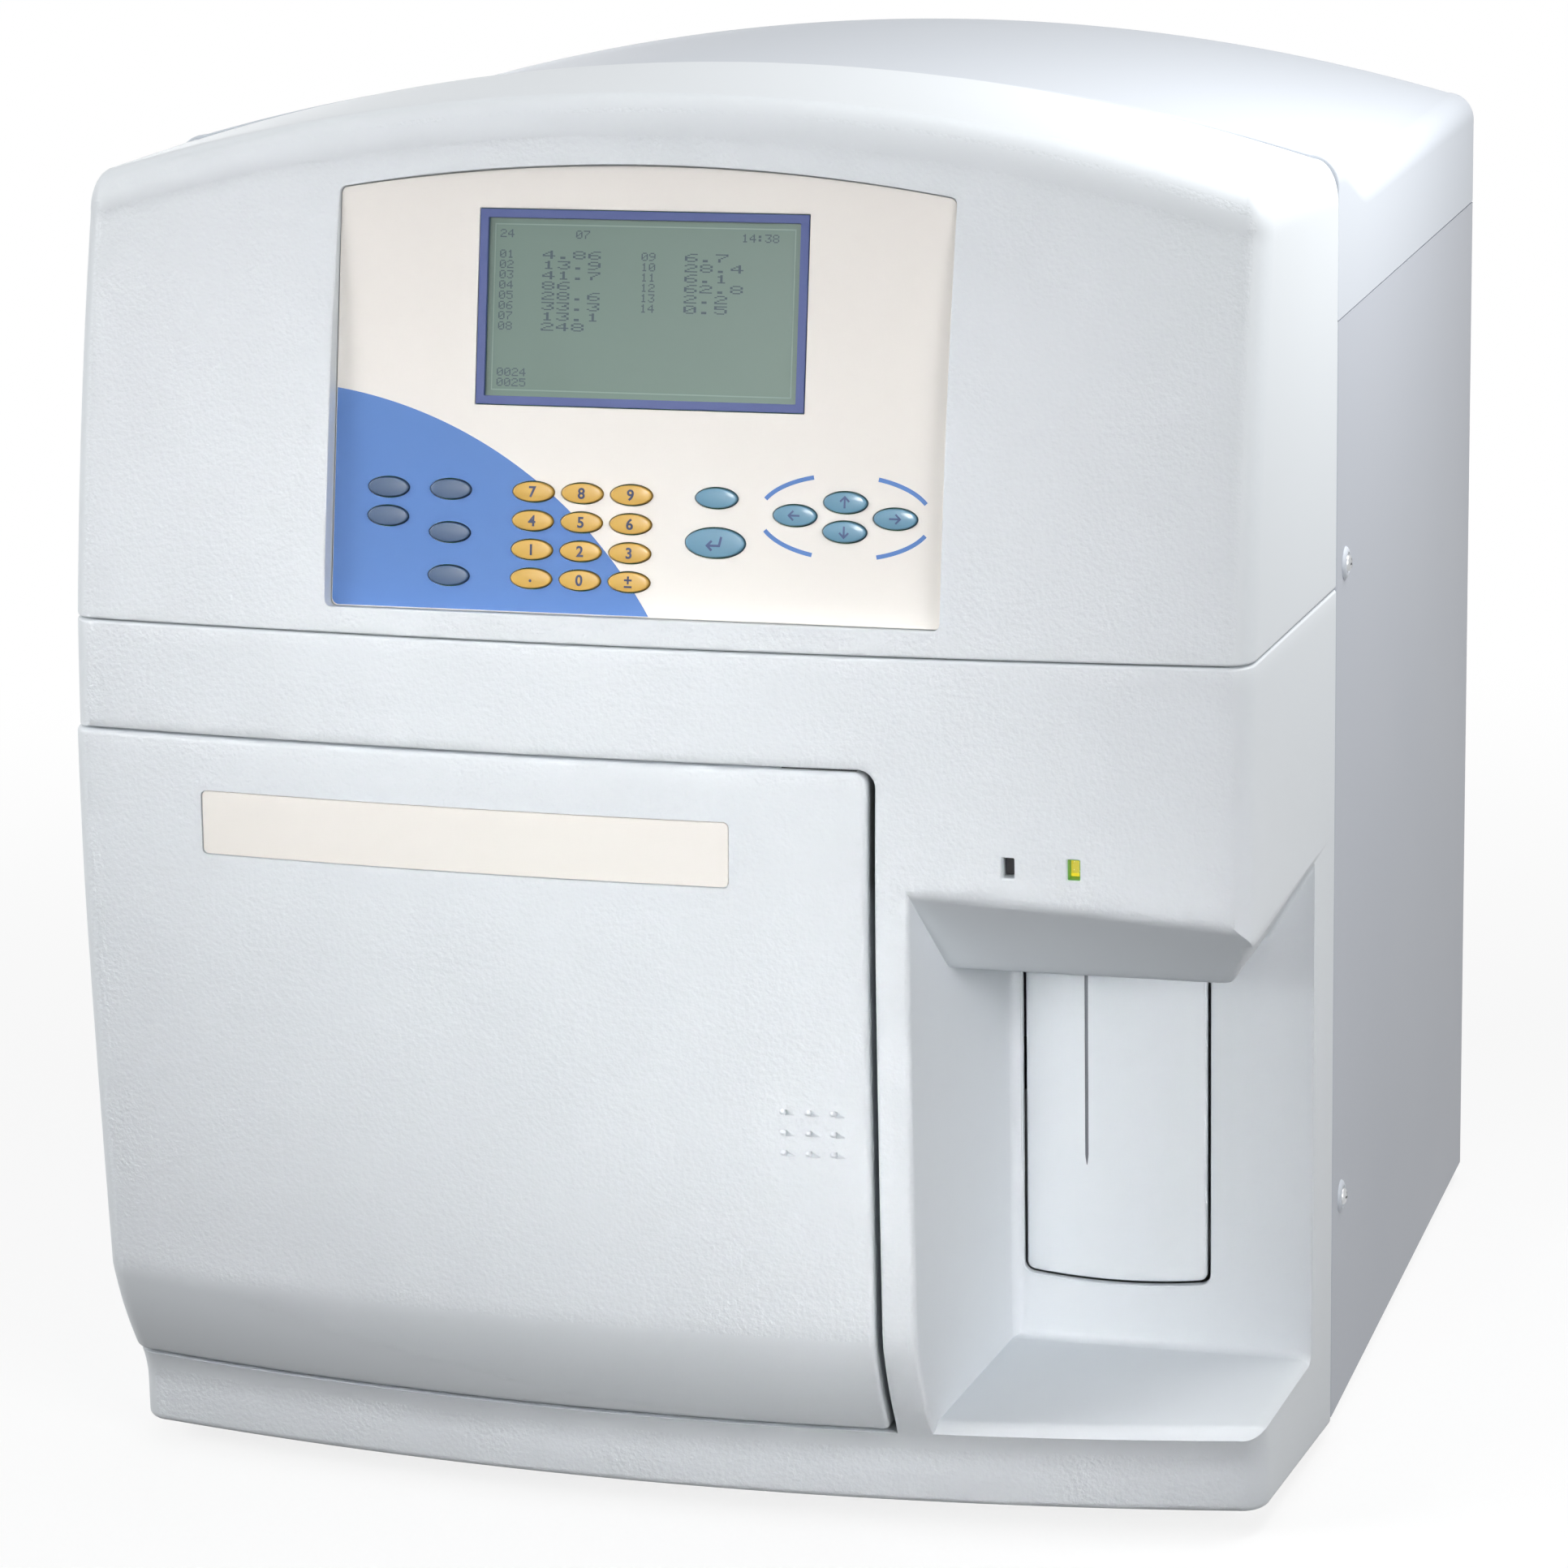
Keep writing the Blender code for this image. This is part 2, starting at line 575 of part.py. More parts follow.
def ellipse(a, b, half_a, half_b, sides, squareness=2.0):
    """A closed outline, from a true ellipse at 2 towards a rounded box above it."""
    outline = []
    for step in range(sides):
        turn = 2 * math.pi * (step + 0.5) / sides
        across = math.copysign(abs(math.cos(turn)) ** (2 / squareness), math.cos(turn))
        up = math.copysign(abs(math.sin(turn)) ** (2 / squareness), math.sin(turn))
        outline.append((a + half_a * across, b + half_b * up))
    return outline


def rod(a, b, radius, along, low, high, sides=12):
    return prism(ellipse(a, b, radius, radius, sides), along, low, high)


def turned(a, b, along, profile, sides=12):
    """A turned solid from (radius, level) pairs, in order along the axis."""
    return loft([placed(ellipse(a, b, radius, radius, sides), along, level)
                 for radius, level in profile])


def front_rise(z):
    """How far the front face lies behind its foremost line at this height."""
    above = z - BULGE_HEIGHT
    if above >= 0:
        return above * above / (2 * FACE_RADIUS)
    level = max(z, CREASE_HEIGHT)
    rise = (level - BULGE_HEIGHT) ** 2 / (2 * LOWER_FACE_RADIUS)
    share = max(CREASE_HEIGHT - z, 0) / (CREASE_HEIGHT - DOOR_BOTTOM)
    return rise + TUCK_DEPTH * (TUCK_START_SHARE * share + (1 - TUCK_START_SHARE) * share * share)


def bow(z):
    """Sagitta of the face in plan: it grows downwards from the seam."""
    share = max(SEAM_HEIGHT - z, 0) / (SEAM_HEIGHT - DOOR_BOTTOM)
    return SEAM_BOW + (DOOR_FOOT_BOW - SEAM_BOW) * share


def face_y(x, z):
    return FRONT_Y + front_rise(z) + bow(z) * (x / BOW_HALF_WIDTH) ** 2


def spread(low, high, count):
    return [low + (high - low) * step / count for step in range(count + 1)]


def arch(x, apex, shoulder, half_width):
    """Height of a circular arch at x, from its apex and its height at half_width."""
    drop = apex - shoulder
    radius = (half_width * half_width + drop * drop) / (2 * drop)
    return apex - radius + math.sqrt(radius * radius - x * x)


def side_half(y):
    """Half the covers' width: their sides spread from the front corner to the side panels."""
    share = min((y - FRONT_Y) / (COVER_REAR - FRONT_Y), 1)
    return FRONT_HALF_WIDTH + (PANEL_HALF_WIDTH - FRONT_HALF_WIDTH) * share


def plan_ring(z, inset, rear, extra=0, columns=20, corner=4):
    """The covers' outline at one height: along the left side, round the face and back."""
    half = FRONT_HALF_WIDTH + extra - inset
    across = EDGE_ACROSS - inset / 2
    deep = EDGE_DEPTH - inset / 2
    core = half - across
    rear_half = side_half(rear) + extra - inset
    ring = [(-rear_half, rear, z)]
    for turn in spread(-math.pi / 2, 0, corner)[:-1]:
        y = face_y(core, z) + inset + deep * (1 - math.cos(turn))
        ring.append((-core + across * math.sin(turn), y, z))
    for x in spread(-core, core, columns):
        ring.append((x, face_y(x, z) + inset, z))
    for turn in spread(0, math.pi / 2, corner)[1:]:
        y = face_y(core, z) + inset + deep * (1 - math.cos(turn))
        ring.append((core + across * math.sin(turn), y, z))
    ring.append((rear_half, rear, z))
    return ring


def dome(inset, bottom, rear, columns, rows, corner=4, steps=3):
    """Upper cover's body: bowed face, arched top and rounded edges, down to the seam."""
    half = FRONT_HALF_WIDTH - inset
    rear_half = PANEL_HALF_WIDTH - inset
    across = EDGE_ACROSS - inset / 2
    deep = EDGE_DEPTH - inset / 2
    rise = EDGE_RISE - inset / 2
    core = half - across
    rear_core = rear_half - across

    def top(x):
        return arch(x, HEIGHT, COVER_SHOULDER, BOW_HALF_WIDTH) - inset

    def edge_point(x, turn, lift):
        z = top(x) - rise
        side = math.copysign(across * math.sin(abs(turn)) * math.cos(lift), turn)
        y = face_y(x, z) + inset + deep * (1 - math.cos(turn) * math.cos(lift))
        return (x + side, y, z + rise * math.sin(lift))

    def column(x, turn):
        points = []
        for z in spread(bottom, top(x) - rise, rows)[:-1]:
            side = math.copysign(across * math.sin(abs(turn)), turn)
            points.append((x + side, face_y(x, z) + inset + deep * (1 - math.cos(turn)), z))
        points.extend([edge_point(x, turn, lift) for lift in spread(0, math.pi / 2, corner)])
        return points

    strips = [column(-core, turn) for turn in spread(-math.pi / 2, 0, corner)[:-1]]
    strips.extend([column(x, 0) for x in spread(-core, core, columns)])
    strips.extend([column(core, turn) for turn in spread(0, math.pi / 2, corner)[1:]])
    front = [point for strip in strips for point in strip]
    height = rows + corner + 1
    faces = []
    for index in range(len(strips) - 1):
        for level in range(height - 1):
            low = index * height + level
            faces.append((low, low + height, low + height + 1, low + 1))
    shapes = [(front, faces)]

    def top_point(x, share):
        start = edge_point(x, 0, math.pi / 2)
        wide = x * (1 + (rear_core / core - 1) * share)
        return (wide, start[1] + (rear - start[1]) * share, top(wide))

    def side_point(sign, level, share):
        start = column(sign * core, sign * math.pi / 2)[level]
        wide = sign * (core + (rear_core - core) * share)
        lift = 0 if level < rows else spread(0, math.pi / 2, corner)[level - rows]
        z = start[2]
        if level >= rows:
            z = top(wide) - rise + rise * math.sin(lift)
        x = wide + sign * across * math.cos(lift)
        return (x, start[1] + (rear - start[1]) * share, z)

    shares = spread(0, 1, steps)
    shapes.append(sheet([[top_point(x, share) for share in shares] for x in spread(-core, core, columns)]))
    for sign in (-1, 1):
        lines = [[side_point(sign, level, share) for share in shares] for level in range(height)]
        shapes.append(sheet(lines))
    left = [side_point(-1, level, 1) for level in range(height)]
    ridge = [top_point(x, 1) for x in spread(-core, core, columns)][1:]
    right = [side_point(1, level, 1) for level in range(height)][:-1]
    back = left + ridge + list(reversed(right))
    shapes.append((back, [tuple(range(len(back)))]))
    base = [side_point(-1, 0, share) for share in reversed(shares)]
    base.extend([strip[0] for strip in strips[1:-1]])
    base.extend([side_point(1, 0, share) for share in shares])
    shapes.append((base, [tuple(range(len(base)))]))
    return joined(*shapes)


def sheet(lines):
    """Faces between lines of equal count."""
    count = len(lines[0])
    points = [point for line in lines for point in line]
    faces = []
    for index in range(len(lines) - 1):
        for level in range(count - 1):
            low = index * count + level
            faces.append((low, low + count, low + count + 1, low + 1))
    return points, faces


def face_slab(x_low, x_high, z_low, z_high, out, back, columns, rows):
    """A curved plate that follows the front face, between two depths behind it."""
    xs = spread(x_low, x_high, columns)
    zs = spread(z_low, z_high, rows)
    outer = [[(x, face_y(x, z) + out, z) for z in zs] for x in xs]
    inner = [[(x, face_y(x, z) + back, z) for z in zs] for x in xs]
    rims = [
        sheet([outer[0], inner[0]]),
        sheet([outer[-1], inner[-1]]),
        sheet([[line[0] for line in outer], [line[0] for line in inner]]),
        sheet([[line[-1] for line in outer], [line[-1] for line in inner]]),
    ]
    return joined(sheet(outer), sheet(inner), *rims)


def panel_outline(grow):
    """The control panel's outline: square foot, arched head, small rounded corners."""
    half = PANEL_WIDTH / 2 + grow
    low = -grow
    radius = PANEL_CORNER

    def head(u):
        return arch(u, PANEL_APEX_HEIGHT, PANEL_CORNER_HEIGHT, PANEL_WIDTH / 2) + grow

    outline = []
    corners = [(-half + radius, low + radius, math.pi), (half - radius, low + radius, 1.5 * math.pi)]
    for u, v, start in corners:
        for turn in spread(start, start + math.pi / 2, 2):
            outline.append((u + radius * math.cos(turn), v + radius * math.sin(turn)))
    top_v = head(half - radius) - radius
    for turn in spread(0, math.pi / 2, 2)[:-1]:
        outline.append((half - radius + radius * math.cos(turn), top_v + radius * math.sin(turn)))
    outline.extend([(u, head(u)) for u in reversed(spread(-half + radius, half - radius, 14))])
    for turn in spread(math.pi / 2, math.pi, 2)[1:]:
        outline.append((-half + radius + radius * math.cos(turn), top_v + radius * math.sin(turn)))
    return outline


def control_panel(panel):
    """The keypad's flat plate, its display, the board behind and the 23 keys."""
    half = PANEL_WIDTH / 2
    plate = piece("control_panel_plate", prism(panel_outline(0), "z", -PANEL_THICKNESS, 0),
                  BEIGE_FINISH, parent=panel)
    holes = [key_prism(key, KEY_CLEARANCE, -PANEL_THICKNESS - OVERRUN, OVERRUN) for key in key_table()]
    cut(plate, cutter("key_holes", joined(*holes), panel))
    cut(plate, cutter("display_hole", display_box(SEAT_GAP, -PANEL_THICKNESS - OVERRUN, OVERRUN), panel))
    bezel = piece("display_bezel", display_box(0, -PANEL_THICKNESS + SEAT_GAP, DISPLAY_PROUD),
                  BLUE_FINISH, parent=panel)
    cut(bezel, cutter("bezel_window", display_box(-DISPLAY_BORDER, -PANEL_THICKNESS, OVERRUN), panel))
    glass_front = -PANEL_THICKNESS
    glass_back = glass_front - DISPLAY_GLASS_THICKNESS
    piece("display_glass", display_box(-SEAT_GAP, glass_back, glass_front), GLASS_FINISH, parent=panel)
    board_front = board_level()
    outline = [(-half + PANEL_FRAME, PANEL_FRAME), (half - PANEL_FRAME, PANEL_FRAME),
               (half - PANEL_FRAME, PANEL_CORNER_HEIGHT - PANEL_FRAME),
               (-half + PANEL_FRAME, PANEL_CORNER_HEIGHT - PANEL_FRAME)]
    piece("keypad_board", prism(outline, "z", board_front - BOARD_THICKNESS, board_front),
          BOARD_FINISH, parent=panel)
    for key in key_table():
        name, u, v, length, height, finish = key
        piece(name, key_body(key), finish, origin=(u, v, 0), parent=panel)


def board_level():
    return -PANEL_THICKNESS - SEAT_GAP - PANEL_BACKING - SEAT_GAP


def display_box(grow, low, high):
    half = DISPLAY_WIDTH / 2 + grow
    return box(-half, half, DISPLAY_BOTTOM - grow, DISPLAY_TOP + grow, low, high)


def key_table():
    """Every key: name, place across and up the panel, length, height and finish."""
    keys = []
    numbers = (("7", "8", "9"), ("4", "5", "6"), ("1", "2", "3"), ("point", "0", "sign"))
    for row, names in enumerate(numbers):
        for column, mark in enumerate(names):
            name = mark + "_key" if mark in ("point", "sign") else "number_key_" + mark
            u = PANEL_WIDTH * NUMBER_COLUMN_SHARE + column * KEY_PITCH_U
            v = KEY_TOP_V - row * KEY_PITCH_V
            keys.append((name, u, v, KEY_LENGTH, KEY_HEIGHT, NUMBER_KEY_FINISH))
    function_shares = ((0, 0), (1, 0), (0, 1), (1, 1.5), (1, 3))
    for index, (column_share, row_share) in enumerate(function_shares):
        u = PANEL_WIDTH * (FUNCTION_COLUMN_SHARE + column_share * FUNCTION_PITCH_SHARE)
        v = KEY_TOP_V - row_share * KEY_PITCH_V
        name = "function_key_" + str(index + 1)
        keys.append((name, u, v, KEY_LENGTH, KEY_HEIGHT, FUNCTION_KEY_FINISH))
    escape_u = PANEL_WIDTH * ESCAPE_COLUMN_SHARE
    enter_v = KEY_TOP_V - KEY_PITCH_V * ENTER_ROW_SHARE
    keys.append(("escape_key", escape_u, KEY_TOP_V, KEY_LENGTH, KEY_HEIGHT, LIGHT_KEY_FINISH))
    keys.append(("enter_key", escape_u, enter_v, KEY_PITCH_U + ENTER_EXTRA, KEY_HEIGHT + ENTER_EXTRA,
                 LIGHT_KEY_FINISH))
    arrow_u = PANEL_WIDTH * ARROW_COLUMN_SHARE
    arrow_v = KEY_TOP_V - KEY_PITCH_V * ARROW_ROW_SHARE
    half_pitch = KEY_PITCH_V / 2
    arrows = (("left", -KEY_PITCH_U, 0), ("right", KEY_PITCH_U, 0), ("up", 0, half_pitch),
              ("down", 0, -half_pitch))
    for side, du, dv in arrows:
        name = "arrow_" + side + "_key"
        keys.append((name, arrow_u + du, arrow_v + dv, KEY_PITCH_U - ARROW_LAND_U, ARROW_HEIGHT,
                     LIGHT_KEY_FINISH))
    return keys


def key_prism(key, grow, low, high):
    name, u, v, length, height, finish = key
    outline = ellipse(u, v, length / 2 + grow, height / 2 + grow, KEY_SIDES, KEY_SQUARENESS)
    return prism(outline, "z", low, high)


def key_body(key):
    name, u, v, length, height, finish = key
    full = ellipse(u, v, length / 2, height / 2, KEY_SIDES, KEY_SQUARENESS)
    small = ellipse(u, v, length * KEY_CROWN_SHARE / 2, height * KEY_CROWN_SHARE / 2,
                    KEY_SIDES, KEY_SQUARENESS)
    levels = [(full, -KEY_DEPTH), (full, KEY_PROUD - KEY_CROWN), (small, KEY_PROUD)]
    return loft([placed(outline, "z", level) for outline, level in levels])


def upper_front_cover(panel):
    cover = piece("upper_front_cover", dome(0, SEAM_HEIGHT, COVER_REAR, 22, 9), COVER_FINISH)
    hollow = cutter("cover_hollow",
                    dome(WALL, SEAM_HEIGHT - OVERRUN, COVER_REAR + OVERRUN, 12, 5, corner=2, steps=1))
    backing_back = -PANEL_THICKNESS - SEAT_GAP - PANEL_BACKING
    backing = cutter("panel_backing",
                     prism(panel_outline(PANEL_FRAME), "z", backing_back, FAR_OVERRUN), panel)
    cut(hollow, backing)
    recess = cutter("panel_recess",
                    prism(panel_outline(SEAT_GAP), "z", -PANEL_THICKNESS - SEAT_GAP, FAR_OVERRUN), panel)
    half = PANEL_WIDTH / 2 - PANEL_LEDGE
    opening = cutter("panel_opening", box(-half, half, PANEL_LEDGE, PANEL_CORNER_HEIGHT - PANEL_FRAME,
                                          -FAR_OVERRUN, 0), panel)
    cut(cover, hollow, recess, opening)
    return cover


def plinth_ring(z, inset, rear):
    """The cover's outline carried down under the door, where a cove sets the front back."""
    share = min((DOOR_BOTTOM - z) / PLINTH_COVE_HEIGHT, 1)
    setback = PLINTH_COVE * (1 - (1 - share) ** 2)
    first, *front, last = plan_ring(DOOR_BOTTOM, inset, rear)
    return [(first[0], rear, z)] + [(x, y + setback, z) for x, y, level in front] + [(last[0], rear, z)]


def plinth_foot():
    """The plinth's lower edge, which rises from the feet's height towards the front."""
    reach = COVER_REAR - FRONT_Y
    return [(x, y, z + PLINTH_LIFT * (COVER_REAR - y) / reach)
            for x, y, z in plinth_ring(FOOT_HEIGHT, 0, COVER_REAR)]


def bay_left(y, wall):
    """The bay's left wall in plan, or with a wall the far side of the column behind it."""
    front_x = COLUMN_LEFT if wall else BAY_LEFT_FRONT
    rear_x = BAY_LEFT_BACK - wall
    share = (y - FRONT_Y) / (BAY_BACK - FRONT_Y)
    return front_x + (rear_x - front_x) * share


def bay_solid(wall):
    """The space of the sampling bay, or with a wall the block that its walls are left from."""
    lip_y = BAY_LIP_Y
    front_slope = (BAY_FRONT_EDGE_HEIGHT - BAY_CEILING) / (lip_y - FRONT_Y - SEAM_BOW)
    side_slope = (BAY_SIDE_EDGE_HEIGHT - BAY_CEILING) / (PANEL_HALF_WIDTH - BAY_LIP_RIGHT)
    lip_y += wall * (math.sqrt(1 + front_slope ** 2) - 1) / front_slope
    lip_x = BAY_LIP_RIGHT - wall * (math.sqrt(1 + side_slope ** 2) - 1) / side_slope
    ceiling = BAY_CEILING + wall
    far_x = PANEL_HALF_WIDTH + FAR_OVERRUN
    far_z = ceiling + (far_x - lip_x) * side_slope
    far_y = lip_y - (far_z - ceiling) / front_slope
    back = BAY_BACK + wall
    floor_slope = BAY_FLOOR_FALL / (BAY_BACK - FRONT_Y)
    floor_back = BAY_FLOOR_BACK
    floor_far = BAY_FLOOR_BACK + (far_y - back) * floor_slope
    if wall:
        floor_back = DECK_HEIGHT - OVERRUN
        floor_far = floor_back
    points = [
        (bay_left(far_y, wall), far_y, floor_far), (far_x, far_y, floor_far),
        (far_x, back, floor_back), (bay_left(back, wall), back, floor_back),
        (bay_left(lip_y, wall), lip_y, ceiling), (lip_x, lip_y, ceiling),
        (lip_x, back, ceiling), (bay_left(back, wall), back, ceiling),
        (bay_left(far_y, wall), far_y, far_z), (far_x, far_y, far_z), (far_x, back, far_z),
    ]
    faces = [(4, 5, 6, 7), (8, 9, 5, 4), (9, 10, 6, 5), (3, 0, 8, 4, 7), (2, 3, 7, 6, 10),
             (1, 2, 10, 9), (0, 1, 9, 8), (0, 1, 2, 3)]
    return points, faces


def lower_front_cover():
    """Plinth, column, band over the door, and the sampling bay with its overhang."""
    top = SEAM_HEIGHT - COVER_GAP
    cove_foot = DOOR_BOTTOM - PLINTH_COVE_HEIGHT
    heights = spread(DOOR_BOTTOM, CREASE_HEIGHT, 4) + spread(CREASE_HEIGHT, top, 8)[1:]
    rings = [plinth_foot()]
    rings.extend([plinth_ring(z, 0, COVER_REAR) for z in spread(cove_foot, DOOR_BOTTOM, 3)[:-1]])
    rings.extend([plan_ring(z, 0, COVER_REAR) for z in heights])
    cover = piece("lower_front_cover", loft(rings), COVER_FINISH)
    side = PANEL_HALF_WIDTH + FAR_OVERRUN
    front = FRONT_Y - FAR_OVERRUN
    over_deck = box(-side, COLUMN_LEFT, front, DOOR_RETURN_REAR + DOOR_SWING_GAP,
                    DECK_HEIGHT, LINTEL_BOTTOM)
    cut(cover, cutter("door_opening", over_deck))
    rear = COVER_REAR + OVERRUN
    compartment_heights = [DECK_HEIGHT] + spread(CREASE_HEIGHT, LINTEL_BOTTOM, 3)
    compartment = cutter("compartment",
                         loft([plan_ring(z, WALL, rear, columns=12, corner=2) for z in compartment_heights]))
    loft_heights = [LINTEL_TOP, SEAM_HEIGHT + OVERRUN]
    loft_space = cutter("loft_space",
                        loft([plan_ring(z, WALL, rear, columns=12, corner=2) for z in loft_heights]))
    bay_block = cutter("bay_block", bay_solid(BAY_WALL))
    cut(compartment, bay_block)
    bay_shaft = bay_shaft_space(rear)
    cut(bay_shaft, bay_block)
    under = loft([plinth_ring(z, WALL, rear) for z in (FOOT_HEIGHT - OVERRUN, cove_foot, DECK_BOTTOM)])
    cut(cover, compartment, bay_shaft, loft_space, cutter("plinth_hollow", under))
    cut(cover, cutter("sampling_bay", bay_solid(0)), cutter("bay_floor_edge", bay_floor_edge()))
    cut(cover, cutter("bar_slot", bar_slot()), cutter("needle_hole", needle_hole()))
    cut(cover, cutter("status_windows", joined(*[window_box(index, 0) for index in range(2)])))
    pins = [hinge_rod(PIN_RADIUS + PIN_CLEARANCE, LINTEL_BOTTOM - OVERRUN, LINTEL_TOP + OVERRUN),
            hinge_rod(PIN_RADIUS + PIN_CLEARANCE, DECK_BOTTOM - OVERRUN, DECK_HEIGHT + OVERRUN)]
    cut(cover, cutter("pin_holes", joined(*pins)))
    return cover


def bay_floor_edge():
    """The slope that joins the bay's floor to the plinth's front along its bowed edge."""
    rings = []
    left = bay_left(face_y(BAY_LEFT_FRONT, DOOR_BOTTOM), 0)
    for x in spread(left, PANEL_HALF_WIDTH + OVERRUN, 8):
        front = face_y(x, DOOR_BOTTOM)
        near = front - 2 * OVERRUN
        far = front + BAY_FLOOR_EDGE + OVERRUN
        low = BAY_FLOOR_FRONT - BAY_FLOOR_EDGE - 2 * OVERRUN
        high = BAY_FLOOR_FRONT + OVERRUN
        rings.append([(x, near, low), (x, far, high), (x, near, high)])
    return loft(rings)


def bay_shaft_space(rear):
    """The space over the bay where the lintel is left out for the needle's guide."""
    heights = [LINTEL_BOTTOM - OVERRUN, LINTEL_TOP + OVERRUN]
    half = PANEL_HALF_WIDTH - 2 * WALL - EDGE_ACROSS
    y = face_y(half, LINTEL_BOTTOM) + WALL + EDGE_DEPTH
    outline = [(BAY_LEFT_BACK, y), (half, y), (half, rear), (BAY_LEFT_BACK, rear)]
    return cutter("bay_shaft", loft([placed(outline, "z", z) for z in heights]))


def bar_slot():
    left = BAR_LEFT - BAR_GAP
    right = BAR_RIGHT + BAR_GAP
    bottom = BAR_BOTTOM - BAR_SAG - BAR_GAP
    return box(left, right, BAY_BACK - BAR_GAP, BAY_BACK + BAY_WALL + OVERRUN,
               bottom, BAY_CEILING + BAY_WALL + OVERRUN)


def needle_hole():
    return rod(NEEDLE_X, NEEDLE_Y, NEEDLE_HOLE_RADIUS, "z", BAY_CEILING - OVERRUN,
               BAY_CEILING + BAY_WALL + OVERRUN)


def window_box(index, inset):
    x = WINDOW_X + index * WINDOW_PITCH
    half = WINDOW_WIDTH / 2 - inset
    high = WINDOW_HEIGHT / 2 - inset
    y = face_y(x, WINDOW_Z)
    if inset:
        back = light_bar_y() + LENS_BAR / 2
        return box(x - half, x + half, y + LENS_SUNK, back, WINDOW_Z - high, WINDOW_Z + high)
    return box(x - half, x + half, y - OVERRUN, y + WALL + OVERRUN, WINDOW_Z - high, WINDOW_Z + high)


def light_bar_y():
    """Where the light guide's bar starts: just behind the wall at its far end."""
    return face_y(WINDOW_X + WINDOW_PITCH + WINDOW_WIDTH, WINDOW_Z) + WALL + 2 * SEAT_GAP


def status_light_guide():
    """Clear moulding behind the wall: two windows on one bar."""
    lenses = [window_box(index, SEAT_GAP) for index in range(2)]
    guide = piece("status_light_guide", lenses[0], LENS_FINISH)
    unite(guide, cutter("second_window", lenses[1]))
    last = WINDOW_X + WINDOW_PITCH
    start = light_bar_y()
    half = WINDOW_WIDTH / 2
    unite(guide, cutter("guide_bar", box(WINDOW_X - half, last + half, start, start + LENS_BAR,
                                         WINDOW_Z - half, WINDOW_Z + half)))


def hinge_rod(radius, low, high):
    return rod(HINGE_X, HINGE_Y, radius, "z", low, high, sides=12)


def front_door():
    """A deep pan that follows the face, with pin bores, finger pips and the label's recess."""
    def ring(z, inset, over):
        full = plan_ring(z, inset, DOOR_RETURN_REAR, extra=DOOR_PROUD, columns=20)
        right = DOOR_RIGHT - inset
        core = [point for point in full if point[0] < right - EDGE_DEPTH]
        xs = spread(core[-1][0], right, 3)[1:]
        core.extend([(x, face_y(x, z) + inset, z) for x in xs])
        core.append((right, DOOR_PAN_REAR, z))
        if over:
            core[0] = (core[0][0], core[0][1] + OVERRUN, z)
            core[-1] = (core[-1][0], core[-1][1] + OVERRUN, z)
        return core

    heights = spread(DOOR_BOTTOM, CREASE_HEIGHT, 4) + spread(CREASE_HEIGHT, DOOR_TOP, 7)[1:]
    door = piece("front_door", loft([ring(z, 0, False) for z in heights]), COVER_FINISH,
                 origin=(HINGE_X, HINGE_Y, 0))
    inner = spread(DOOR_BOTTOM + WALL, CREASE_HEIGHT, 2) + spread(CREASE_HEIGHT, DOOR_TOP - WALL, 3)[1:]
    cut(door, cutter("door_hollow", loft([ring(z, WALL, True) for z in inner])))
    depth = LABEL_SUNK + LABEL_THICKNESS + SEAT_GAP
    recess = face_slab(LABEL_LEFT - SEAT_GAP, LABEL_RIGHT + SEAT_GAP, LABEL_BOTTOM - SEAT_GAP,
                       LABEL_TOP + SEAT_GAP, -OVERRUN, depth, 10, 1)
    cut(door, cutter("label_recess", recess))
    bores = [hinge_rod(PIN_RADIUS + PIN_CLEARANCE, low, low + WALL + 2 * OVERRUN)
             for low in (DOOR_BOTTOM - OVERRUN, DOOR_TOP - WALL - OVERRUN)]
    cut(door, cutter("pin_bores", joined(*bores)))
    unite(door, cutter("finger_pips", joined(*finger_pips())))
    label = face_slab(LABEL_LEFT, LABEL_RIGHT, LABEL_BOTTOM, LABEL_TOP, LABEL_SUNK,
                      LABEL_SUNK + LABEL_THICKNESS, 10, 1)
    piece("door_label_plate", label, BEIGE_FINISH, origin=(HINGE_X, HINGE_Y, 0))


def finger_pips():
    """Small wedges on the door where fingers pull: thick at the left, thin at the right."""
    shapes = []
    for row in range(PIP_COUNT):
        for column in range(PIP_COUNT):
            x = PIP_X + column * PIP_PITCH_X
            z = PIP_Z + row * PIP_PITCH_Z
            y = face_y(x, z)
            low = y + WALL / 2
            thin = y - PIP_PROUD / 4
            outline = [(x, low), (x, y - PIP_PROUD), (x + PIP_WIDTH, thin), (x + PIP_WIDTH, low)]
            shapes.append(prism(outline, "z", z, z + PIP_HEIGHT))
    return shapes


def door_hinge_rod():
    """One long rod: its head rests on the lintel, and its foot stands in the deck's hole."""
    head = LINTEL_TOP + SEAT_GAP
    profile = [(PIN_RADIUS, DECK_BOTTOM), (PIN_RADIUS, head), (PIN_HEAD_RADIUS, head),
               (PIN_HEAD_RADIUS, head + PIN_HEAD)]
    piece("door_hinge_rod", turned(HINGE_X, HINGE_Y, "z", profile, sides=12), STEEL_FINISH)


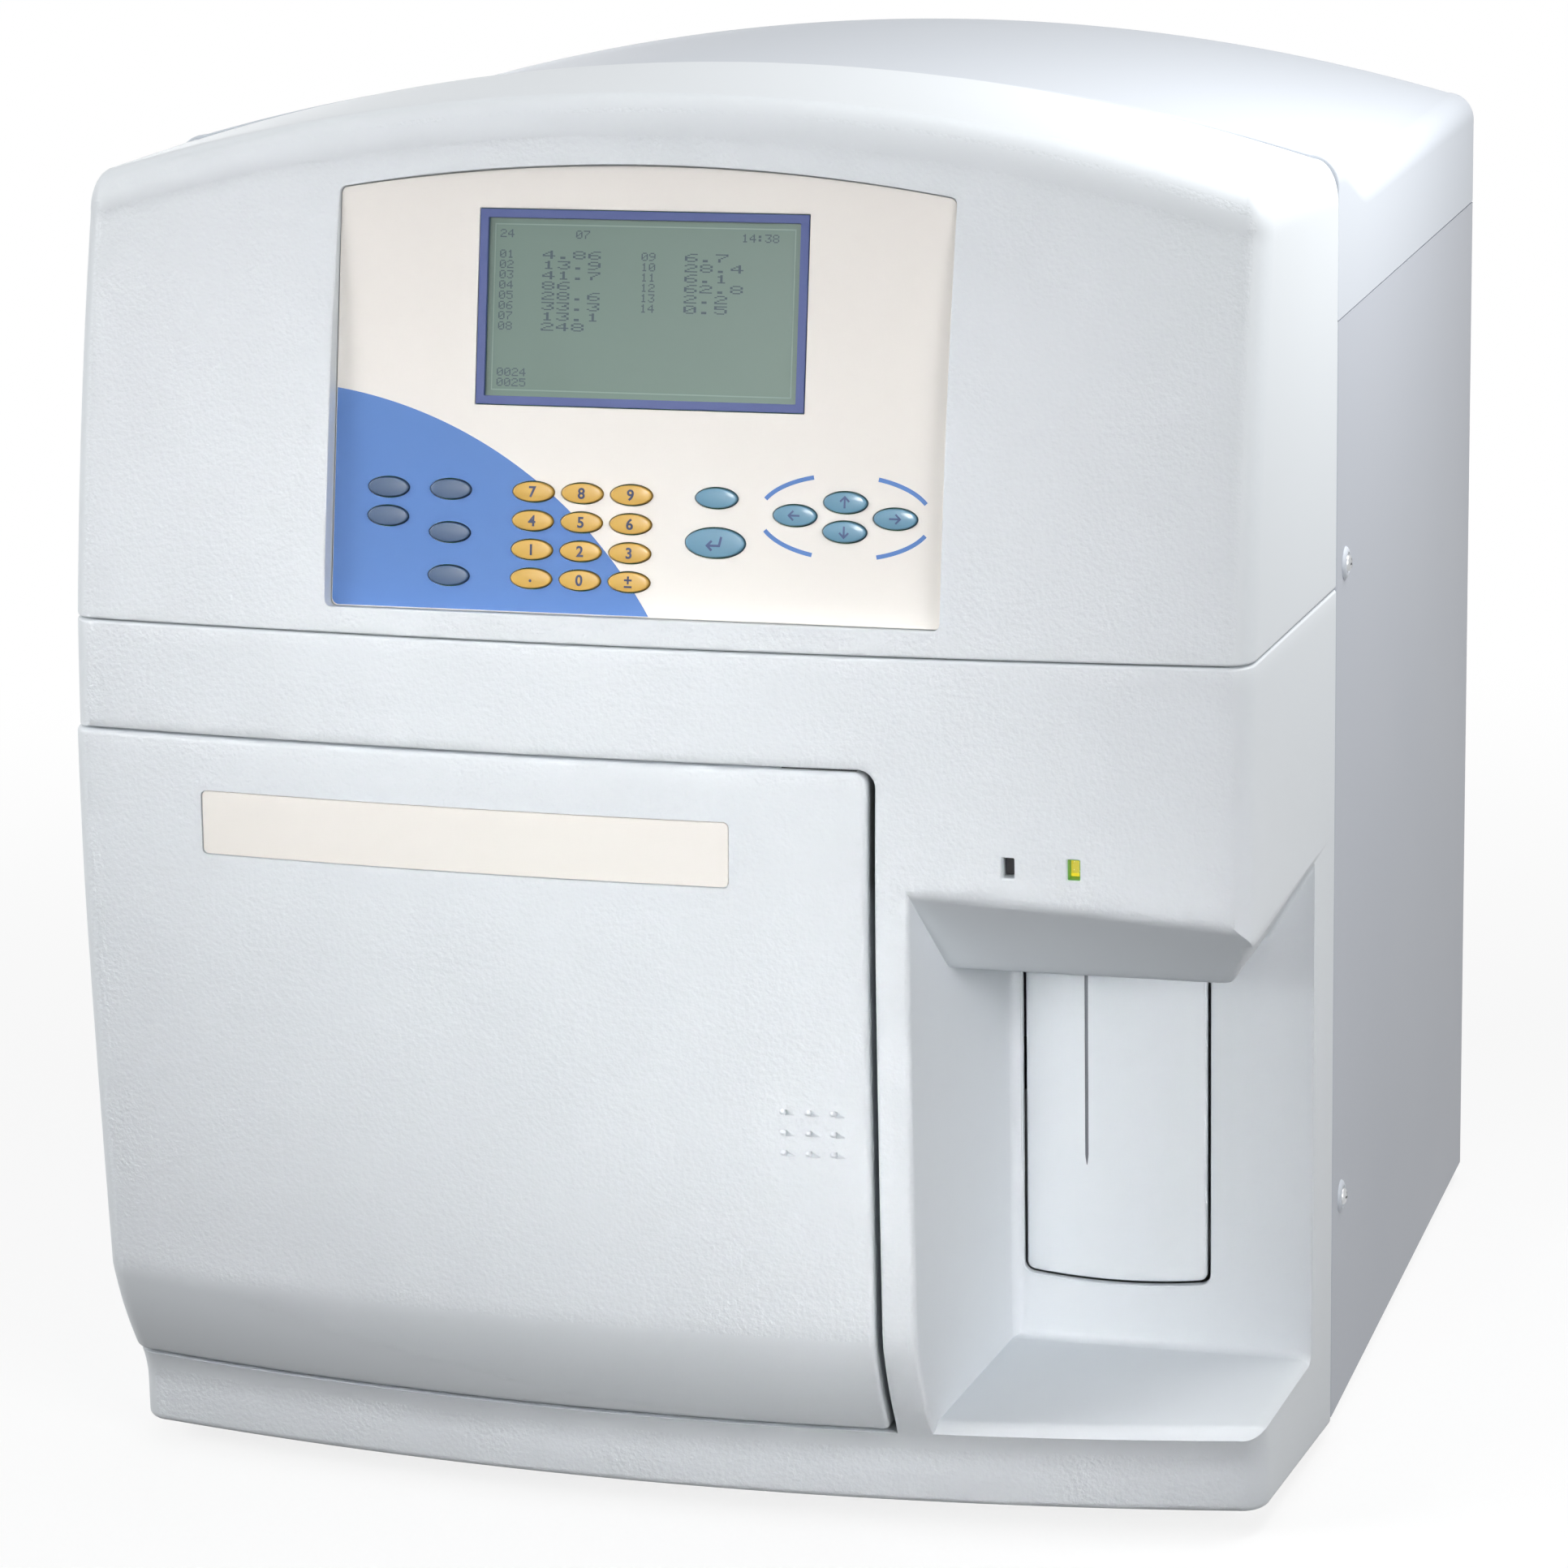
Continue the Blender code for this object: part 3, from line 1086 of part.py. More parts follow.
def hood_ring(y, inset, drop, columns, corner=4):
    """One cross-section of the hood: up the left side, over the arch and down."""
    half = PANEL_HALF_WIDTH - inset
    edge = HOOD_EDGE - inset / 2
    core = half - edge
    low = SIDE_TOP + COVER_GAP - (OVERRUN if inset else 0)

    def top(x):
        flat = arch(x, HOOD_APEX, HOOD_SHOULDER, half)
        high = arch(x, HEIGHT, COVER_SHOULDER, half) - HOOD_STEP
        return flat + (high - flat) * drop - inset

    ring = [(-half, y, low)]
    for turn in spread(-math.pi / 2, 0, corner)[:-1]:
        ring.append((-core + edge * math.sin(turn), y, top(core) - edge * (1 - math.cos(turn))))
    ring.extend([(x, y, top(x)) for x in spread(-core, core, columns)])
    for turn in spread(0, math.pi / 2, corner)[1:]:
        ring.append((core + edge * math.sin(turn), y, top(core) - edge * (1 - math.cos(turn))))
    ring.append((half, y, low))
    return ring


def rear_hood():
    """Arched top behind the front covers: it drops from their height, then runs level."""
    start = COVER_REAR + COVER_GAP
    rings = []
    hollow = []
    for share in spread(0, 1, 5):
        drop = (1 + math.cos(math.pi * share)) / 2
        y = start + (HOOD_SLOPE_END - start) * share
        rings.append(hood_ring(y, 0, drop, 20))
        hollow.append(hood_ring(y - (OVERRUN if share == 0 else 0), WALL, drop, 12, corner=2))
    rings.append(hood_ring(REAR_Y, 0, 0, 20))
    hollow.append(hood_ring(REAR_Y - WALL, WALL, 0, 12, corner=2))
    hood = piece("rear_hood", loft(rings), HOOD_FINISH)
    cut(hood, cutter("hood_hollow", loft(hollow)))


def side_panels():
    """Folded sheet sides, with a return at the front and at the rear."""
    front = COVER_REAR + COVER_GAP
    for name, sign in (("left_side_panel", -1), ("right_side_panel", 1)):
        outer = PANEL_HALF_WIDTH
        inner = outer - SHEET
        lip = outer - SIDE_RETURN
        outline = [(outer, front), (outer, SIDE_REAR), (lip, SIDE_REAR), (lip, SIDE_REAR - SHEET),
                   (inner, SIDE_REAR - SHEET), (inner, front + SHEET), (lip, front + SHEET), (lip, front)]
        outline = [(sign * x, y) for x, y in outline]
        piece(name, prism(outline, "z", SIDE_BOTTOM, SIDE_TOP), SHEET_FINISH)


def base_chassis():
    """Folded tray under everything, with the front bulkhead standing on it."""
    narrow = TRAY_FRONT_HALF_WIDTH
    half = PANEL_HALF_WIDTH - SHEET - SEAT_GAP
    step_y = BULKHEAD_Y + SHEET
    outline = [(-narrow, TRAY_FRONT), (narrow, TRAY_FRONT), (narrow, step_y), (half, step_y),
               (half, TRAY_REAR), (-half, TRAY_REAR), (-half, step_y), (-narrow, step_y)]
    tray = piece("base_chassis", prism(outline, "z", TRAY_BOTTOM, TRAY_TOP), STEEL_FINISH)
    flange_top = TRAY_TOP + TRAY_FLANGE
    low = TRAY_BOTTOM + SHEET / 2
    for sign in (-1, 1):
        ends = sorted((sign * half, sign * (half - SHEET)))
        unite(tray, cutter("tray_flange", box(ends[0], ends[1], BULKHEAD_Y + SIDE_RETURN, TRAY_REAR,
                                              low, flange_top)))
    wide = BULKHEAD_HALF_WIDTH
    unite(tray, cutter("bulkhead", box(-wide, wide, BULKHEAD_Y, BULKHEAD_Y + SHEET, low, BULKHEAD_TOP)))
    windows = []
    for sign in (-1, 1):
        ends = sorted((sign * BULKHEAD_WINDOW / 2, sign * BULKHEAD_WINDOW * 2))
        windows.append(box(ends[0], ends[1], BULKHEAD_Y - OVERRUN, BULKHEAD_Y + SHEET + OVERRUN,
                           BULKHEAD_WINDOW_BOTTOM, BULKHEAD_WINDOW_BOTTOM + BULKHEAD_WINDOW))
    cut(tray, cutter("bulkhead_windows", joined(*windows)))


def feet():
    for side, x in (("left", -FOOT_X), ("right", FOOT_X)):
        for end, y in (("front", FOOT_FRONT_Y), ("rear", FOOT_REAR_Y)):
            profile = [(FOOT_RADIUS * FOOT_FOOTPRINT_SHARE, 0), (FOOT_RADIUS, FOOT_HEIGHT / 2),
                       (FOOT_RADIUS, FOOT_HEIGHT)]
            piece("foot_" + end + "_" + side, turned(x, y, "z", profile), RUBBER_FINISH)


def start_bar():
    """The plate that a tube presses: it hangs from its rod and swings back a little."""
    rod_y = BAY_BACK + BAR_ROD_SETBACK
    rod_z = BAR_TOP - BAR_ROD_DROP
    half = (BAR_RIGHT - BAR_LEFT) / 2
    middle = (BAR_RIGHT + BAR_LEFT) / 2
    radius = BAR_GAP * 2
    outline = [(BAR_RIGHT, BAR_TOP), (BAR_LEFT, BAR_TOP), (BAR_LEFT, BAR_BOTTOM + radius)]
    for share in spread(-1, 1, 10):
        drop = BAR_SAG * (1 - share * share)
        outline.append((middle + share * (half - radius / 2), BAR_BOTTOM - drop))
    outline.append((BAR_RIGHT, BAR_BOTTOM + radius))
    pivot = (middle, rod_y, rod_z)
    bar = piece("start_bar", prism(outline, "y", BAY_BACK, BAY_BACK + BAR_THICKNESS), COVER_FINISH,
                origin=pivot)
    left = BAR_LEFT - BAR_ROD_END
    right = BAR_RIGHT + BAR_ROD_END
    unite(bar, cutter("bar_rod", rod(rod_y, rod_z, BAR_ROD_RADIUS, "x", left, right, sides=12)))
    for x in (BAR_LEFT + BAR_ARM_INSET, BAR_RIGHT - BAR_ARM_INSET - BAR_ARM_WIDTH):
        arm = box(x, x + BAR_ARM_WIDTH, BAY_BACK + BAR_THICKNESS / 2, rod_y,
                  rod_z - BAR_ROD_RADIUS / 2, rod_z + BAR_ROD_RADIUS / 2)
        unite(bar, cutter("bar_arm", arm))


def needle_guide():
    """Two rods between end plates on a back sheet, with the motor on top and the bar's ears."""
    half = HOLDER_WIDTH / 2
    back = BULKHEAD_Y - SEAT_GAP
    top = GUIDE_BOTTOM + GUIDE_HEIGHT
    front = GUIDE_ROD_Y - HOLDER_DEPTH / 2
    guide = piece("needle_guide", box(NEEDLE_X - half, NEEDLE_X + half, back - GUIDE_BACK_SHEET, back,
                                      GUIDE_BOTTOM, top), STEEL_FINISH)
    inner = back - GUIDE_BACK_SHEET / 2
    ear_left = BAR_LEFT - BAR_ROD_END + SEAT_GAP
    ear_right = BAR_RIGHT + BAR_ROD_END - SEAT_GAP
    unite(guide, cutter("guide_foot", box(ear_left, ear_right, front, inner,
                                          GUIDE_BOTTOM, GUIDE_BOTTOM + GUIDE_PLATE)))
    unite(guide, cutter("guide_head", box(NEEDLE_X - half, NEEDLE_X + half, front, inner,
                                          top - GUIDE_PLATE, top)))
    for x in rod_places():
        unite(guide, cutter("guide_rod", rod(x, GUIDE_ROD_Y, GUIDE_ROD_RADIUS, "z",
                                             GUIDE_BOTTOM + GUIDE_PLATE / 2, top - GUIDE_PLATE / 2)))
    motor = GUIDE_MOTOR / 2
    unite(guide, cutter("guide_motor", box(NEEDLE_X - motor, NEEDLE_X + motor, GUIDE_ROD_Y - motor / 2,
                                           GUIDE_ROD_Y + motor, top - GUIDE_PLATE / 2,
                                           top + GUIDE_MOTOR_HEIGHT)))
    rod_y = BAY_BACK + BAR_ROD_SETBACK
    rod_z = BAR_TOP - BAR_ROD_DROP
    for x in (ear_left, ear_right - EAR_THICKNESS):
        ear = box(x, x + EAR_THICKNESS, rod_y - EAR_HEIGHT / 3, inner, rod_z - EAR_HEIGHT / 2,
                  GUIDE_BOTTOM + GUIDE_PLATE)
        unite(guide, cutter("bar_ear", ear))
    cut(guide, cutter("ear_bores", rod(rod_y, rod_z, BAR_ROD_RADIUS + SEAT_GAP, "x",
                                       BAR_LEFT - FAR_OVERRUN, BAR_RIGHT + FAR_OVERRUN, sides=12)))


def rod_places():
    return [NEEDLE_X - GUIDE_ROD_PITCH / 2, NEEDLE_X + GUIDE_ROD_PITCH / 2]


def needle_holder():
    """Block that runs on the two rods and carries the needle on its arm."""
    half = HOLDER_WIDTH / 2
    top = HOLDER_BOTTOM + HOLDER_HEIGHT
    front = GUIDE_ROD_Y - HOLDER_DEPTH / 2
    holder = piece("needle_holder", box(NEEDLE_X - half, NEEDLE_X + half, front, front + HOLDER_DEPTH,
                                        HOLDER_BOTTOM, top), BLACK_FINISH,
                   origin=(NEEDLE_X, NEEDLE_Y, HOLDER_BOTTOM))
    arm = box(NEEDLE_X - HOLDER_ARM / 2, NEEDLE_X + HOLDER_ARM / 2, NEEDLE_Y - HOLDER_ARM / 2,
              front + OVERRUN, HOLDER_BOTTOM, top)
    unite(holder, cutter("holder_arm", arm))
    bores = [rod(x, GUIDE_ROD_Y, GUIDE_ROD_RADIUS + RUNNING_GAP, "z", HOLDER_BOTTOM - OVERRUN, top + OVERRUN)
             for x in rod_places()]
    cut(holder, cutter("holder_bores", joined(*bores)))


def sampling_needle():
    profile = [(NEEDLE_RADIUS / 4, NEEDLE_TIP), (NEEDLE_RADIUS, NEEDLE_TIP + NEEDLE_BEVEL),
               (NEEDLE_RADIUS, NEEDLE_SHANK_START), (NEEDLE_SHANK_RADIUS, NEEDLE_SHANK_START),
               (NEEDLE_SHANK_RADIUS, HOLDER_BOTTOM - SEAT_GAP)]
    piece("sampling_needle", turned(NEEDLE_X, NEEDLE_Y, "z", profile, sides=10), STEEL_FINISH,
          origin=(NEEDLE_X, NEEDLE_Y, NEEDLE_TIP))


def reagent_bottles():
    """Rounded square bottles in a row on the deck, each with its screw cap and hose stem."""
    low = DECK_HEIGHT + SEAT_GAP
    stem_top = LINTEL_BOTTOM - BOTTLE_HEADROOM
    cap_top = stem_top - CAP_STEM_HEIGHT
    cap_low = cap_top - CAP_HEIGHT
    neck_low = cap_low - BOTTLE_NECK_HEIGHT
    shoulder = neck_low - BOTTLE_SHOULDER_RISE
    y = COVER_REAR - BOTTLE_SPACE - BOTTLE_DEPTH / 2
    for index, name in enumerate(BOTTLE_NAMES):
        x = BOTTLE_LEFT + BOTTLE_WIDTH / 2 + index * (BOTTLE_WIDTH + BOTTLE_SPACE)
        body = ellipse(x, y, BOTTLE_WIDTH / 2, BOTTLE_DEPTH / 2, 16, BOTTLE_SQUARENESS)
        neck, cap, stem = [ellipse(x, y, radius, radius, 16)
                           for radius in (BOTTLE_NECK_RADIUS, CAP_RADIUS, CAP_STEM_RADIUS)]
        levels = [(body, low), (body, shoulder), (neck, neck_low), (neck, cap_low), (cap, cap_low),
                  (cap, cap_top), (stem, cap_top), (stem, stem_top)]
        piece(name, loft([placed(outline, "z", z) for outline, z in levels]), BOTTLE_FINISH)


def dilution_chambers():
    """A row of open cups on one rail, where the needle delivers the sample."""
    low = LINTEL_TOP + SEAT_GAP
    left = CHAMBER_X - CHAMBER_RADIUS
    right = CHAMBER_X + (CHAMBER_COUNT - 1) * CHAMBER_PITCH + CHAMBER_RADIUS
    front = FLUIDICS_Y - CHAMBER_RADIUS
    rear = FLUIDICS_Y + CHAMBER_RADIUS
    rail = piece("dilution_chambers", box(left, right, front, rear, low, low + CHAMBER_BASE), CLEAR_FINISH)
    top = low + CHAMBER_BASE + CHAMBER_HEIGHT
    cups = []
    bores = []
    for index in range(CHAMBER_COUNT):
        x = CHAMBER_X + index * CHAMBER_PITCH
        cups.append(rod(x, FLUIDICS_Y, CHAMBER_RADIUS - SEAT_GAP, "z", low + CHAMBER_BASE / 2, top, sides=12))
        bores.append(rod(x, FLUIDICS_Y, CHAMBER_BORE, "z", low + CHAMBER_BASE, top + OVERRUN, sides=12))
    unite(rail, cutter("cups", joined(*cups)))
    cut(rail, cutter("cup_bores", joined(*bores)))


def syringe_places():
    return [SYRINGE_X + index * SYRINGE_PITCH for index in range(SYRINGE_COUNT)]


def syringe_block():
    """Barrels open at the foot, held by a bracket on the bulkhead."""
    left = SYRINGE_X - SYRINGE_RADIUS - SYRINGE_BLOCK / 2
    right = SYRINGE_RIGHT
    top = SYRINGE_BOTTOM + SYRINGE_BARREL
    block = piece("syringe_block", box(left, right, FLUIDICS_Y - SYRINGE_RADIUS, BULKHEAD_Y - SEAT_GAP,
                                       top - SYRINGE_BLOCK, top), CLEAR_FINISH)
    barrels = []
    bores = []
    for x in syringe_places():
        barrels.append(rod(x, FLUIDICS_Y, SYRINGE_RADIUS - SEAT_GAP, "z", SYRINGE_BOTTOM,
                           top - SYRINGE_BLOCK / 2, sides=12))
        bores.append(rod(x, FLUIDICS_Y, SYRINGE_BORE, "z", SYRINGE_BOTTOM - OVERRUN,
                         top - SYRINGE_BLOCK / 2, sides=12))
    unite(block, cutter("barrels", joined(*barrels)))
    cut(block, cutter("barrel_bores", joined(*bores)))


def syringe_pistons():
    """Pistons on one crossbar, which a motor draws down together."""
    top = SYRINGE_BOTTOM + SYRINGE_BARREL - SYRINGE_BLOCK / 2 - OVERRUN
    bar_top = top - PISTON_LENGTH
    left = SYRINGE_X - SYRINGE_RADIUS
    right = SYRINGE_RIGHT - SYRINGE_BLOCK / 2
    bar = piece("syringe_pistons", box(left, right, FLUIDICS_Y - SYRINGE_BORE, FLUIDICS_Y + SYRINGE_BORE,
                                       bar_top - PISTON_BAR, bar_top), STEEL_FINISH,
                origin=(SYRINGE_X, FLUIDICS_Y, bar_top))
    pistons = []
    for x in syringe_places():
        pistons.append(turned(x, FLUIDICS_Y, "z", [
            (PISTON_ROD, bar_top - PISTON_BAR / 2), (PISTON_ROD, top - PISTON_SEAL),
            (SYRINGE_BORE - 2 * RUNNING_GAP, top - PISTON_SEAL), (SYRINGE_BORE - 2 * RUNNING_GAP, top)],
            sides=12))
    unite(bar, cutter("pistons", joined(*pistons)))


def optical_bench():
    """Plate on legs with the lamp house and the detector tube."""
    low = TRAY_TOP + SEAT_GAP
    plate_low = low + OPTICS_LEG
    plate_top = plate_low + OPTICS_PLATE
    right = OPTICS_X + OPTICS_LENGTH
    rear = OPTICS_Y + OPTICS_WIDTH
    bench = piece("optical_bench", box(OPTICS_X, right, OPTICS_Y, rear, plate_low, plate_top), BLACK_FINISH)
    legs = []
    for x in (OPTICS_X, right - OPTICS_PLATE):
        for y in (OPTICS_Y, rear - OPTICS_PLATE):
            legs.append(box(x, x + OPTICS_PLATE, y, y + OPTICS_PLATE, low, plate_low + OPTICS_PLATE / 2))
    unite(bench, cutter("bench_legs", joined(*legs)))
    middle = (OPTICS_Y + rear) / 2
    house_right = OPTICS_X + OPTICS_BOX
    unite(bench, cutter("lamp_house", box(OPTICS_X + OVERRUN, house_right, middle - OPTICS_BOX / 2,
                                          middle + OPTICS_BOX / 2, plate_top - OVERRUN,
                                          plate_top + OPTICS_BOX)))
    unite(bench, cutter("detector_tube", rod(middle, plate_top + OPTICS_TUBE_RADIUS - OVERRUN,
                                             OPTICS_TUBE_RADIUS, "x", house_right - OVERRUN, right)))


def main_board():
    """Circuit board on four stand-offs from the left side panel."""
    wall = -PANEL_HALF_WIDTH + SHEET + SEAT_GAP
    board_x = wall + MAIN_BOARD_STAND
    rear = MAIN_BOARD_Y + MAIN_BOARD_LENGTH
    top = MAIN_BOARD_Z + MAIN_BOARD_HEIGHT
    board = piece("main_board", box(board_x, board_x + BOARD_THICKNESS, MAIN_BOARD_Y, rear,
                                    MAIN_BOARD_Z, top), BOARD_FINISH)
    posts = []
    margin = MAIN_BOARD_STAND
    for y in (MAIN_BOARD_Y + margin, rear - margin):
        for z in (MAIN_BOARD_Z + margin, top - margin):
            posts.append(rod(y, z, margin / 4, "x", wall, board_x + BOARD_THICKNESS / 2, sides=8))
    unite(board, cutter("board_posts", joined(*posts)))
    chips = []
    chip_shares = ((0.15, 0.2, 0.2, 0.15), (0.5, 0.25, 0.25, 0.2),
                   (0.2, 0.6, 0.3, 0.2), (0.65, 0.65, 0.2, 0.25))
    for y_share, z_share, long_share, high_share in chip_shares:
        y = MAIN_BOARD_Y + MAIN_BOARD_LENGTH * y_share
        z = MAIN_BOARD_Z + MAIN_BOARD_HEIGHT * z_share
        chips.append(box(board_x + BOARD_THICKNESS / 2, board_x + BOARD_THICKNESS + CHIP_HEIGHT,
                         y, y + MAIN_BOARD_LENGTH * long_share, z, z + MAIN_BOARD_HEIGHT * high_share))
    unite(board, cutter("board_chips", joined(*chips)))


def power_supply():
    low = TRAY_TOP + SEAT_GAP
    piece("power_supply", box(SUPPLY_X, SUPPLY_X + SUPPLY_WIDTH, SUPPLY_Y, SUPPLY_Y + SUPPLY_DEPTH,
                              low, low + SUPPLY_HEIGHT), STEEL_FINISH)


def back_panel():
    """Inset sheet at the rear, with holes for everything that passes through it."""
    low = TRAY_BOTTOM
    half = BACK_PANEL_HALF_WIDTH
    rear = BACK_PANEL_Y
    panel = piece("back_panel", box(-half, half, rear - SHEET, rear, low, SIDE_TOP), SHEET_FINISH)
    near = rear - SHEET - OVERRUN
    far = rear + OVERRUN
    module_low, module_high = power_module_height()
    holes = [box(INLET_X - INLET_WIDTH / 2 - SEAT_GAP, INLET_X + INLET_WIDTH / 2 + SEAT_GAP, near, far,
                 module_low - SEAT_GAP, module_high + SEAT_GAP),
             rod(FAN_X, FAN_Z, FAN_BORE_RADIUS, "y", near, far, sides=24)]
    for index in range(PORT_COUNT):
        x = PORT_X + index * PORT_PITCH
        holes.append(rod(x, PORT_Z, PORT_RADIUS + SEAT_GAP, "y", near, far))
    cut(panel, cutter("panel_holes", joined(*holes)))


def power_module_height():
    """The lowest and highest edges of the hole that the inlet and its switch share."""
    return INLET_Z - INLET_HEIGHT / 2, SWITCH_Z + SWITCH_HEIGHT / 2


def mains_inlet():
    """Power module: one flange, the inlet's socket with three flat pins, and the rocker's well."""
    half = INLET_WIDTH / 2
    flange = INLET_FLANGE
    rear = BACK_PANEL_Y + SEAT_GAP
    front = BACK_PANEL_Y - SHEET - INLET_DEPTH
    outer = rear + INLET_FLANGE_THICKNESS
    low, high = power_module_height()
    inlet = piece("mains_inlet", box(INLET_X - half - flange, INLET_X + half + flange, rear, outer,
                                     low - flange / 2, high + flange / 2), BLACK_FINISH)
    unite(inlet, cutter("module_shell", box(INLET_X - half, INLET_X + half, front, outer - OVERRUN / 2,
                                            low, high)))
    wall = INLET_WALL
    cut(inlet, cutter("inlet_socket", box(INLET_X - half + wall, INLET_X + half - wall, front + wall,
                                          outer + OVERRUN, low + wall, low + INLET_HEIGHT - wall)))
    grow = SEAT_GAP + SWITCH_FRAME / 4
    well_half = SWITCH_WIDTH / 2 - SWITCH_FRAME + grow
    well_high = SWITCH_HEIGHT / 2 - SWITCH_FRAME + grow
    cut(inlet, cutter("rocker_well", box(INLET_X - well_half, INLET_X + well_half, outer - SWITCH_DEPTH,
                                         outer + OVERRUN, SWITCH_Z - well_high, SWITCH_Z + well_high)))
    pins = []
    for share in (-0.5, 0, 0.5):
        x = INLET_X + share * (half - wall)
        z = INLET_Z - INLET_HEIGHT / 8
        pins.append(box(x - INLET_PIN / 2, x + INLET_PIN / 2, front + wall / 2, rear - wall,
                        z - INLET_PIN, z + INLET_PIN))
    unite(inlet, cutter("inlet_pins", joined(*pins)))


def power_switch():
    """Rocker in the module's well: its origin is on the rocking axis."""
    face = BACK_PANEL_Y + SEAT_GAP + INLET_FLANGE_THICKNESS
    half = SWITCH_WIDTH / 2 - SWITCH_FRAME
    high = SWITCH_HEIGHT / 2 - SWITCH_FRAME
    axis_y = face - SWITCH_PROUD
    outline = [(axis_y - SWITCH_PROUD, SWITCH_Z - high / 2), (face - SWITCH_PROUD / 3, SWITCH_Z - high),
               (face + SWITCH_PROUD / 6, SWITCH_Z - high), (face + SWITCH_PROUD / 3, SWITCH_Z),
               (face + SWITCH_PROUD, SWITCH_Z + high * ROCKER_TIP_SHARE),
               (face, SWITCH_Z + high * ROCKER_TIP_SHARE),
               (axis_y - SWITCH_PROUD, SWITCH_Z + high / 2)]
    piece("power_switch", prism(outline, "x", INLET_X - half, INLET_X + half), BLACK_FINISH,
          origin=(INLET_X, axis_y, SWITCH_Z))


def fan():
    """Frame with struts and a bearing boss; the rotor turns on the boss."""
    face = BACK_PANEL_Y - SHEET - SEAT_GAP
    inner = face - FAN_DEPTH
    half = FAN_SIZE / 2
    frame = piece("fan_frame", box(FAN_X - half, FAN_X + half, inner, face,
                                   FAN_Z - half, FAN_Z + half), BLACK_FINISH)
    strut_face = inner + FAN_STRUT
    cut(frame, cutter("fan_bore", rod(FAN_X, FAN_Z, FAN_BORE_RADIUS, "y", inner - OVERRUN,
                                      face + OVERRUN, sides=24)))
    reach = FAN_BORE_RADIUS + OVERRUN
    wide = FAN_STRUT
    unite(frame, cutter("fan_strut", box(FAN_X - reach, FAN_X + reach, inner, strut_face,
                                         FAN_Z - wide / 2, FAN_Z + wide / 2)))
    unite(frame, cutter("fan_strut_up", box(FAN_X - wide / 2, FAN_X + wide / 2, inner, strut_face,
                                            FAN_Z - reach, FAN_Z + reach)))
    unite(frame, cutter("fan_boss", rod(FAN_X, FAN_Z, FAN_STRUT, "y", inner, face - FAN_STRUT)))
    back = strut_face + OVERRUN
    bore = FAN_STRUT + SEAT_GAP
    hub = turned(FAN_X, FAN_Z, "y", [(FAN_HUB_RADIUS, back), (FAN_HUB_RADIUS, face - OVERRUN)], sides=20)
    rotor = piece("fan_rotor", hub, BLACK_FINISH, origin=(FAN_X, (back + face) / 2, FAN_Z))
    cut(rotor, cutter("rotor_bore", rod(FAN_X, FAN_Z, bore, "y", back - OVERRUN,
                                        face - FAN_STRUT + SEAT_GAP)))
    blades = []
    for index in range(FAN_BLADES):
        blades.append(fan_blade(index, back + OVERRUN, face - 2 * OVERRUN))
    unite(rotor, cutter("rotor_blades", joined(*blades)))


def fan_blade(index, near, far):
    """One twisted blade: a thin box whose ends lean over."""
    turn = 2 * math.pi * index / FAN_BLADES
    outer = FAN_BORE_RADIUS - FAN_TIP_GAP
    inner = FAN_HUB_RADIUS - OVERRUN
    half = FAN_BLADE / 2
    lean = FAN_STRUT * 2
    rings = []
    for level, shift in ((near, -lean), (far, lean)):
        corners = [(inner, shift - half), (outer, shift - half), (outer, shift + half), (inner, shift + half)]
        ring = []
        for along, across in corners:
            a = FAN_X + along * math.cos(turn) - across * math.sin(turn)
            b = FAN_Z + along * math.sin(turn) + across * math.cos(turn)
            ring.append((a, level, b))
        rings.append(ring)
    return loft(rings)


def fluid_ports():
    """Barbed hose ports on one plate."""
    start = BACK_PANEL_Y + SEAT_GAP
    front = BACK_PANEL_Y - PORT_REACH
    tip = BACK_PANEL_Y + PORT_REACH
    collar_top = start + PORT_PLATE
    last = PORT_X + (PORT_COUNT - 1) * PORT_PITCH
    block = piece("fluid_ports", box(PORT_X - PORT_COLLAR, last + PORT_COLLAR, start, collar_top,
                                     PORT_Z - PORT_COLLAR, PORT_Z + PORT_COLLAR), CLEAR_FINISH)
    barb = PORT_RADIUS * PORT_NECK_SHARE
    profile = [(PORT_RADIUS, front), (PORT_RADIUS, collar_top + PORT_PLATE / 2),
               (barb, collar_top + PORT_PLATE), (PORT_RADIUS, tip - PORT_PLATE), (barb, tip)]
    places = [PORT_X + index * PORT_PITCH for index in range(PORT_COUNT)]
    unite(block, cutter("port_stems", joined(*[turned(x, PORT_Z, "y", profile, sides=10) for x in places])))
    bores = [rod(x, PORT_Z, PORT_BORE, "y", front + PORT_REACH / 2, tip + OVERRUN, sides=6) for x in places]
    cut(block, cutter("port_bores", joined(*bores)))


def build():
    clear_scene()
    panel = frame_empty("control_panel_frame", (PANEL_CENTRE_X, PANEL_FOOT_Y, PANEL_FOOT_Z),
                        math.pi / 2 - PANEL_TILT)
    control_panel(panel)
    upper_front_cover(panel)
    lower_front_cover()
    status_light_guide()
    front_door()
    door_hinge_rod()
    rear_hood()
    side_panels()
    base_chassis()
    feet()
    start_bar()
    needle_guide()
    needle_holder()
    sampling_needle()
    reagent_bottles()
    dilution_chambers()
    syringe_block()
    syringe_pistons()
    optical_bench()
    main_board()
    power_supply()
    back_panel()
    mains_inlet()
    power_switch()
    fan()
    fluid_ports()


build()
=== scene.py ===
"""Looks of the hematology analyzer: fine covers, keypad, finishes, camera, floor and light."""
import json
from math import atan2, copysign, cos, hypot, pi, radians, sin, sqrt, tan

import bmesh
import bpy
from mathutils import Matrix, Vector


